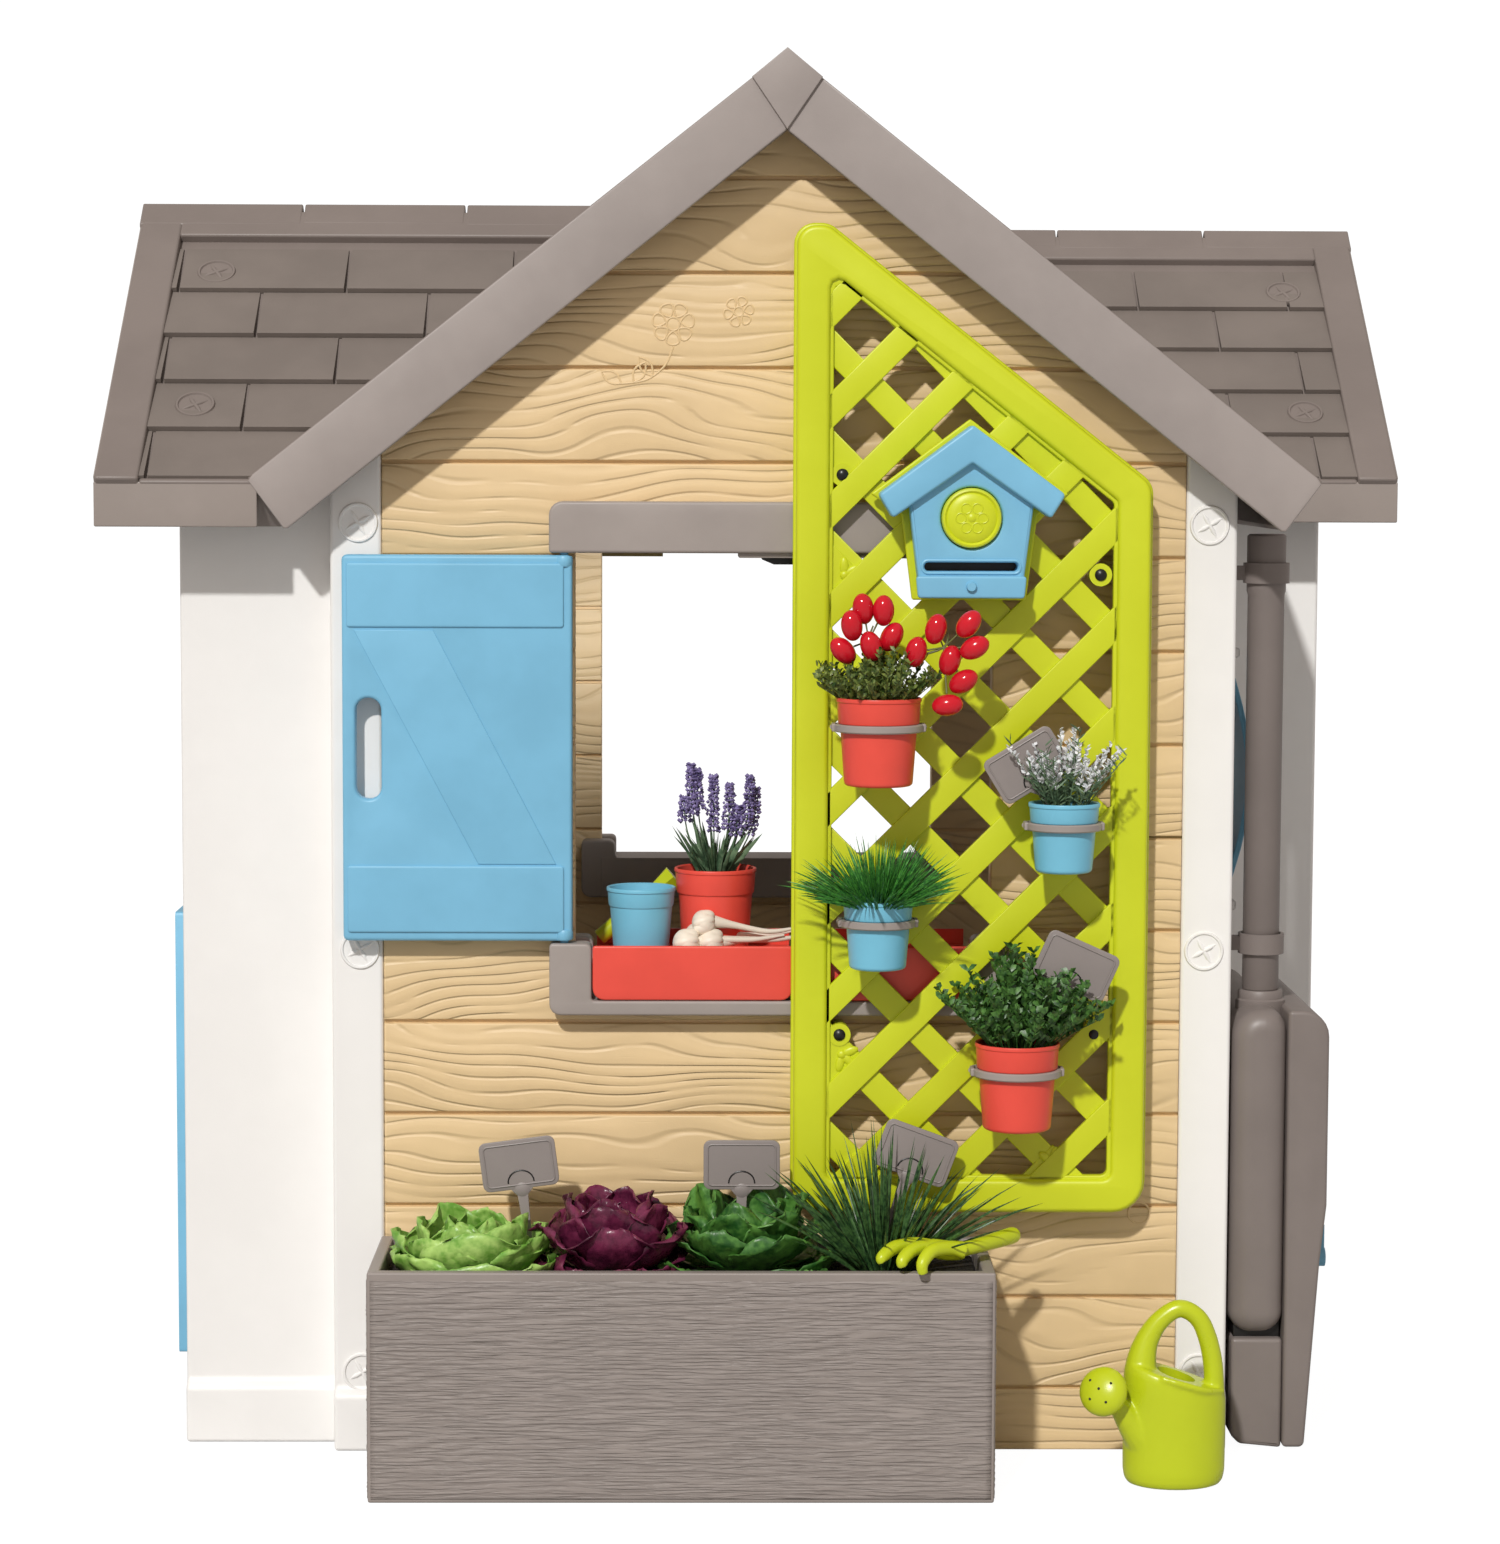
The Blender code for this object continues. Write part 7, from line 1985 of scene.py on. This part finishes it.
# Upright stems with white florets over narrow grey-green leaves.
def buildHeather():
    draw = random.Random(23)
    leafShape, florets = bmesh.new(), bmesh.new()
    stems, leavesOnStem = 58, 34
    for stem in range(stems):
        start, turn, spread = rootSpot(draw, potTop("trellis_pot_right"), 0.02, 0.6)
        reach = draw.uniform(0.052, 0.088) * (1 - 0.15 * spread)
        path = arcPath(start, headingFor(turn, 0.62 * spread), reach, 0.03, 6, leafBack)
        addBlade(leafShape, path, 0.0012, anyWay(draw), 0.0005)
        for step in range(leavesOnStem):
            share = 0.1 + 0.9 * step / leavesOnStem
            spot = spotAlong(path, share * 6)
            out = headingFor(draw.uniform(0, 2 * math.pi), draw.uniform(0.7, 1.2))
            if share > 0.5 and stem % 4:
                size = draw.uniform(0.0055, 0.0085) * (1.2 - 0.6 * share)
                addBlade(florets, [spot, spot + out * size * 0.55, spot + out * size], 0.0036, anyWay(draw),
                         0.0007, (0.5, 1.0))
            elif step % 2:
                tip = spot + out * draw.uniform(0.01, 0.017)
                tip.y = min(tip.y, leafBack)
                addBlade(leafShape, [spot, spot.lerp(tip, 0.5), tip], 0.0018, anyWay(draw),
                         0.0003, (0.6, 1.0))
    settle(meshPiece("heatherLeaves", leafShape, "sage", 60), "pot_right", None)
    settle(meshPiece("heatherFlorets", florets, "petal", 60), "pot_right", None)


# Each spike: place across the pot, height and length of its flowering part.
spikes = ((-0.024, 0.112, 0.055), (-0.018, 0.106, 0.045), (-0.002, 0.1, 0.06), (0.014, 0.092, 0.05),
          (0.034, 0.1, 0.055), (0.04, 0.086, 0.05), (-0.031, 0.078, 0.03), (0.022, 0.07, 0.035))


# Spikes with whorls of small buds over broad leaves.
def buildLavender():
    draw = random.Random(31)
    root = potTop("ledge_pot_red")
    leafShape, florets = bmesh.new(), bmesh.new()
    for x, top, flowers in spikes:
        tip = root + Vector((x, draw.uniform(-0.012, 0.012), top))
        start = root + Vector((x * 0.3, draw.uniform(-0.01, 0.01), 0))
        middle = start.lerp(tip, 0.5) + Vector((x * 0.25, 0, 0.004))
        route = smoothPath([start, middle, tip], 8)
        addBlade(leafShape, route, 0.0016, Vector((0, -1, 0)), 0.0007, (1.0, 1.0, 1.0, 1.0, 0.9))
        whorls = int(flowers / 0.0036)
        for whorl in range(whorls):
            share = 1 - (flowers / top) * (1 - whorl / whorls)
            spot = spotAlong(route, share * (len(route) - 1))
            reach = 0.0066 * (1.0 - 0.5 * whorl / whorls)
            for petal in range(8):
                turn = 2 * math.pi * petal / 8 + whorl * 0.6
                out = Vector((math.cos(turn), math.sin(turn), 0.3)) * reach * draw.uniform(0.6, 1.15)
                place = spot + out + Vector((0, 0, draw.uniform(-0.001, 0.001)))
                addBud(florets, place, draw.uniform(0.0015, 0.0024), draw.uniform(0.0016, 0.0028))
    for _ in range(64):
        start, turn, _ = rootSpot(draw, root, 0.016, 1)
        path = arcPath(start, headingFor(turn, draw.uniform(0.1, 0.75)), draw.uniform(0.03, 0.062), 0.05, 5)
        addBlade(leafShape, path, draw.uniform(0.004, 0.007), anyWay(draw), 0.0005)
    settle(meshPiece("lavenderLeaves", leafShape, "sage", 60), "pot_ledge_red", None)
    settle(meshPiece("lavenderFlorets", florets, "violet", 20), "pot_ledge_red", None)


# Each bulb: place along the tray, depth, height above the tray and radius.
garlic = {
    "bulbs": ((-0.094, 0.0, 0.0, 0.0155), (-0.07, 0.006, 0.0, 0.015),
              (-0.083, 0.024, 0.004, 0.015), (-0.077, 0.01, 0.021, 0.0135)),
    "axis": (1, 0.1, 0.25),
    "cloves": 7,
    "front": 0.03,
}


# A few bulbs that lie on the tray, with their stalks to the right.
def buildGarlic():
    front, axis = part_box("ledge_tray_left")[0].y + garlic["front"], garlic["axis"]
    pieces = []
    for index, (x, deep, rise, size) in enumerate(garlic["bulbs"]):
        centre = Vector((x, front + deep, trayLook["floor"] + 0.0002 + size * 0.86 + rise))
        pieces.append(ellipsoid(f"bulb{index}", centre, (size, size, size * 0.86), axis, "garlic"))
        for clove, turn in enumerate(fan(2 * math.pi, garlic["cloves"])[:-1]):
            side = Vector((0, math.cos(turn), math.sin(turn))) * size * 0.52
            pieces.append(ellipsoid(f"clove{index}{clove}", centre + side,
                                    (size * 0.5, size * 0.5, size * 0.8), axis, "garlic"))
        neck = centre + Vector((size * 0.7, 0.001, 0.002))
        bends = ((0, 0, 0, 0.0065), (0.022, 0.003, 0.002 - rise * 0.3, 0.0034),
                 (0.055, 0.006, 0.002 - rise * 0.6, 0.0026), (0.085, 0.01, 0.006 - rise * 0.6, 0.0012))
        stalk = [(*(neck + Vector(bend[:3])), bend[3]) for bend in bends]
        pieces.append(taperedTube(f"stalk{index}", stalk, "garlic"))
    settle(joinMeshes("garlicBunch", pieces, "garlic", 60), shell, None)


buildTomatoes()
buildHeather()
buildLavender()
buildGarlic()
print("plants")

view = {"place": (-0.078, -3.6708, 0.9881), "tilt": (85.0904, -0.207, -0.6932), "lens": 88.221}


def buildCamera():
    lens = bpy.data.cameras.new("viewCamera")
    lens.lens = view["lens"]
    lens.sensor_width = 36
    lens.clip_end = 60
    camera = addObject("viewCamera", lens)
    x, y, z = view["place"]
    camera.location = (x, y + wallFront, z)
    camera.rotation_euler = [math.radians(angle) for angle in view["tilt"]]
    bpy.context.scene.camera = camera


lighting = {
    "sun": 2.5,
    "sunSpread": 2.2,
    "sunWay": (0.3, 1.0, -0.8),
    "sunTint": (1.0, 0.985, 0.96),
    "sky": 0.45,
    "skyTint": (1.0, 0.9, 0.83),
    "backdrop": 1.05,
    "floor": 0.5,
    "floorGlow": 0.97,
    "floorMatt": 0.12,
    "floorHalf": 14,
    "room": 0.22,
    "roomSize": 0.12,
    "roomSpread": 60,
    "roomPlace": (-0.08, 0.55, 0.86),
    "roomAim": (-0.26, 1.0, 0.74),
}


def colourNode(tree, kind, colour, strength=None):
    node = tree.nodes.new(kind)
    node.inputs[0].default_value = (*colour, 1)
    if strength is not None:
        node.inputs[1].default_value = strength
    return node.outputs[0]


# One look for the camera, another for every other ray.
def splitRays(tree, other, seen, outKind):
    mix = tree.nodes.new("ShaderNodeMixShader")
    ray = tree.nodes.new("ShaderNodeLightPath")
    for slot, socket in enumerate((ray.outputs["Is Camera Ray"], other, seen)):
        tree.links.new(socket, mix.inputs[slot])
    tree.links.new(mix.outputs[0], tree.nodes.new(outKind).inputs[0])


def buildFloor():
    shape = bmesh.new()
    bmesh.ops.create_grid(shape, x_segments=1, y_segments=1, size=lighting["floorHalf"])
    bmesh.ops.translate(shape, vec=(0, 3, -0.0005), verts=shape.verts)
    data = bpy.data.meshes.new("paleFloor")
    shape.to_mesh(data)
    shape.free()
    material, tree, _ = newMaterial("paleFloor")
    tree.nodes.clear()
    add = tree.nodes.new("ShaderNodeAddShader")
    glow = colourNode(tree, "ShaderNodeEmission", (1, 1, 1), lighting["floorGlow"])
    matt = colourNode(tree, "ShaderNodeBsdfDiffuse", (lighting["floorMatt"],) * 3)
    tree.links.new(glow, add.inputs[0])
    tree.links.new(matt, add.inputs[1])
    dim = colourNode(tree, "ShaderNodeBsdfDiffuse", (lighting["floor"],) * 3)
    splitRays(tree, dim, add.outputs[0], "ShaderNodeOutputMaterial")
    data.materials.append(material)
    addObject("paleFloor", data)


def pointAlong(lamp, way):
    lamp.rotation_euler = Vector(way).to_track_quat("-Z", "Y").to_euler()


def buildLight():
    sun = bpy.data.lights.new("keyLight", "SUN")
    sun.energy = lighting["sun"]
    sun.angle = math.radians(lighting["sunSpread"])
    sun.color = lighting["sunTint"]
    pointAlong(addObject("keyLight", sun), lighting["sunWay"])
    soft = bpy.data.lights.new("roomLight", "AREA")
    soft.energy = lighting["room"]
    soft.size = lighting["roomSize"]
    soft.spread = math.radians(lighting["roomSpread"])
    start, aim = [Vector((x, atHouse(y), z)) for x, y, z in (lighting["roomPlace"], lighting["roomAim"])]
    inside = addObject("roomLight", soft)
    inside.location = start
    pointAlong(inside, aim - start)
    world = bpy.data.worlds.new("studio")
    bpy.context.scene.world = world
    world.use_nodes = True
    tree = world.node_tree
    tree.nodes.clear()
    glow = colourNode(tree, "ShaderNodeBackground", lighting["skyTint"], lighting["sky"])
    seen = colourNode(tree, "ShaderNodeBackground", (1, 1, 1), lighting["backdrop"])
    splitRays(tree, glow, seen, "ShaderNodeOutputWorld")
    bpy.context.scene.view_settings.view_transform = "Standard"


buildCamera()
buildFloor()
buildLight()
print("camera and light")
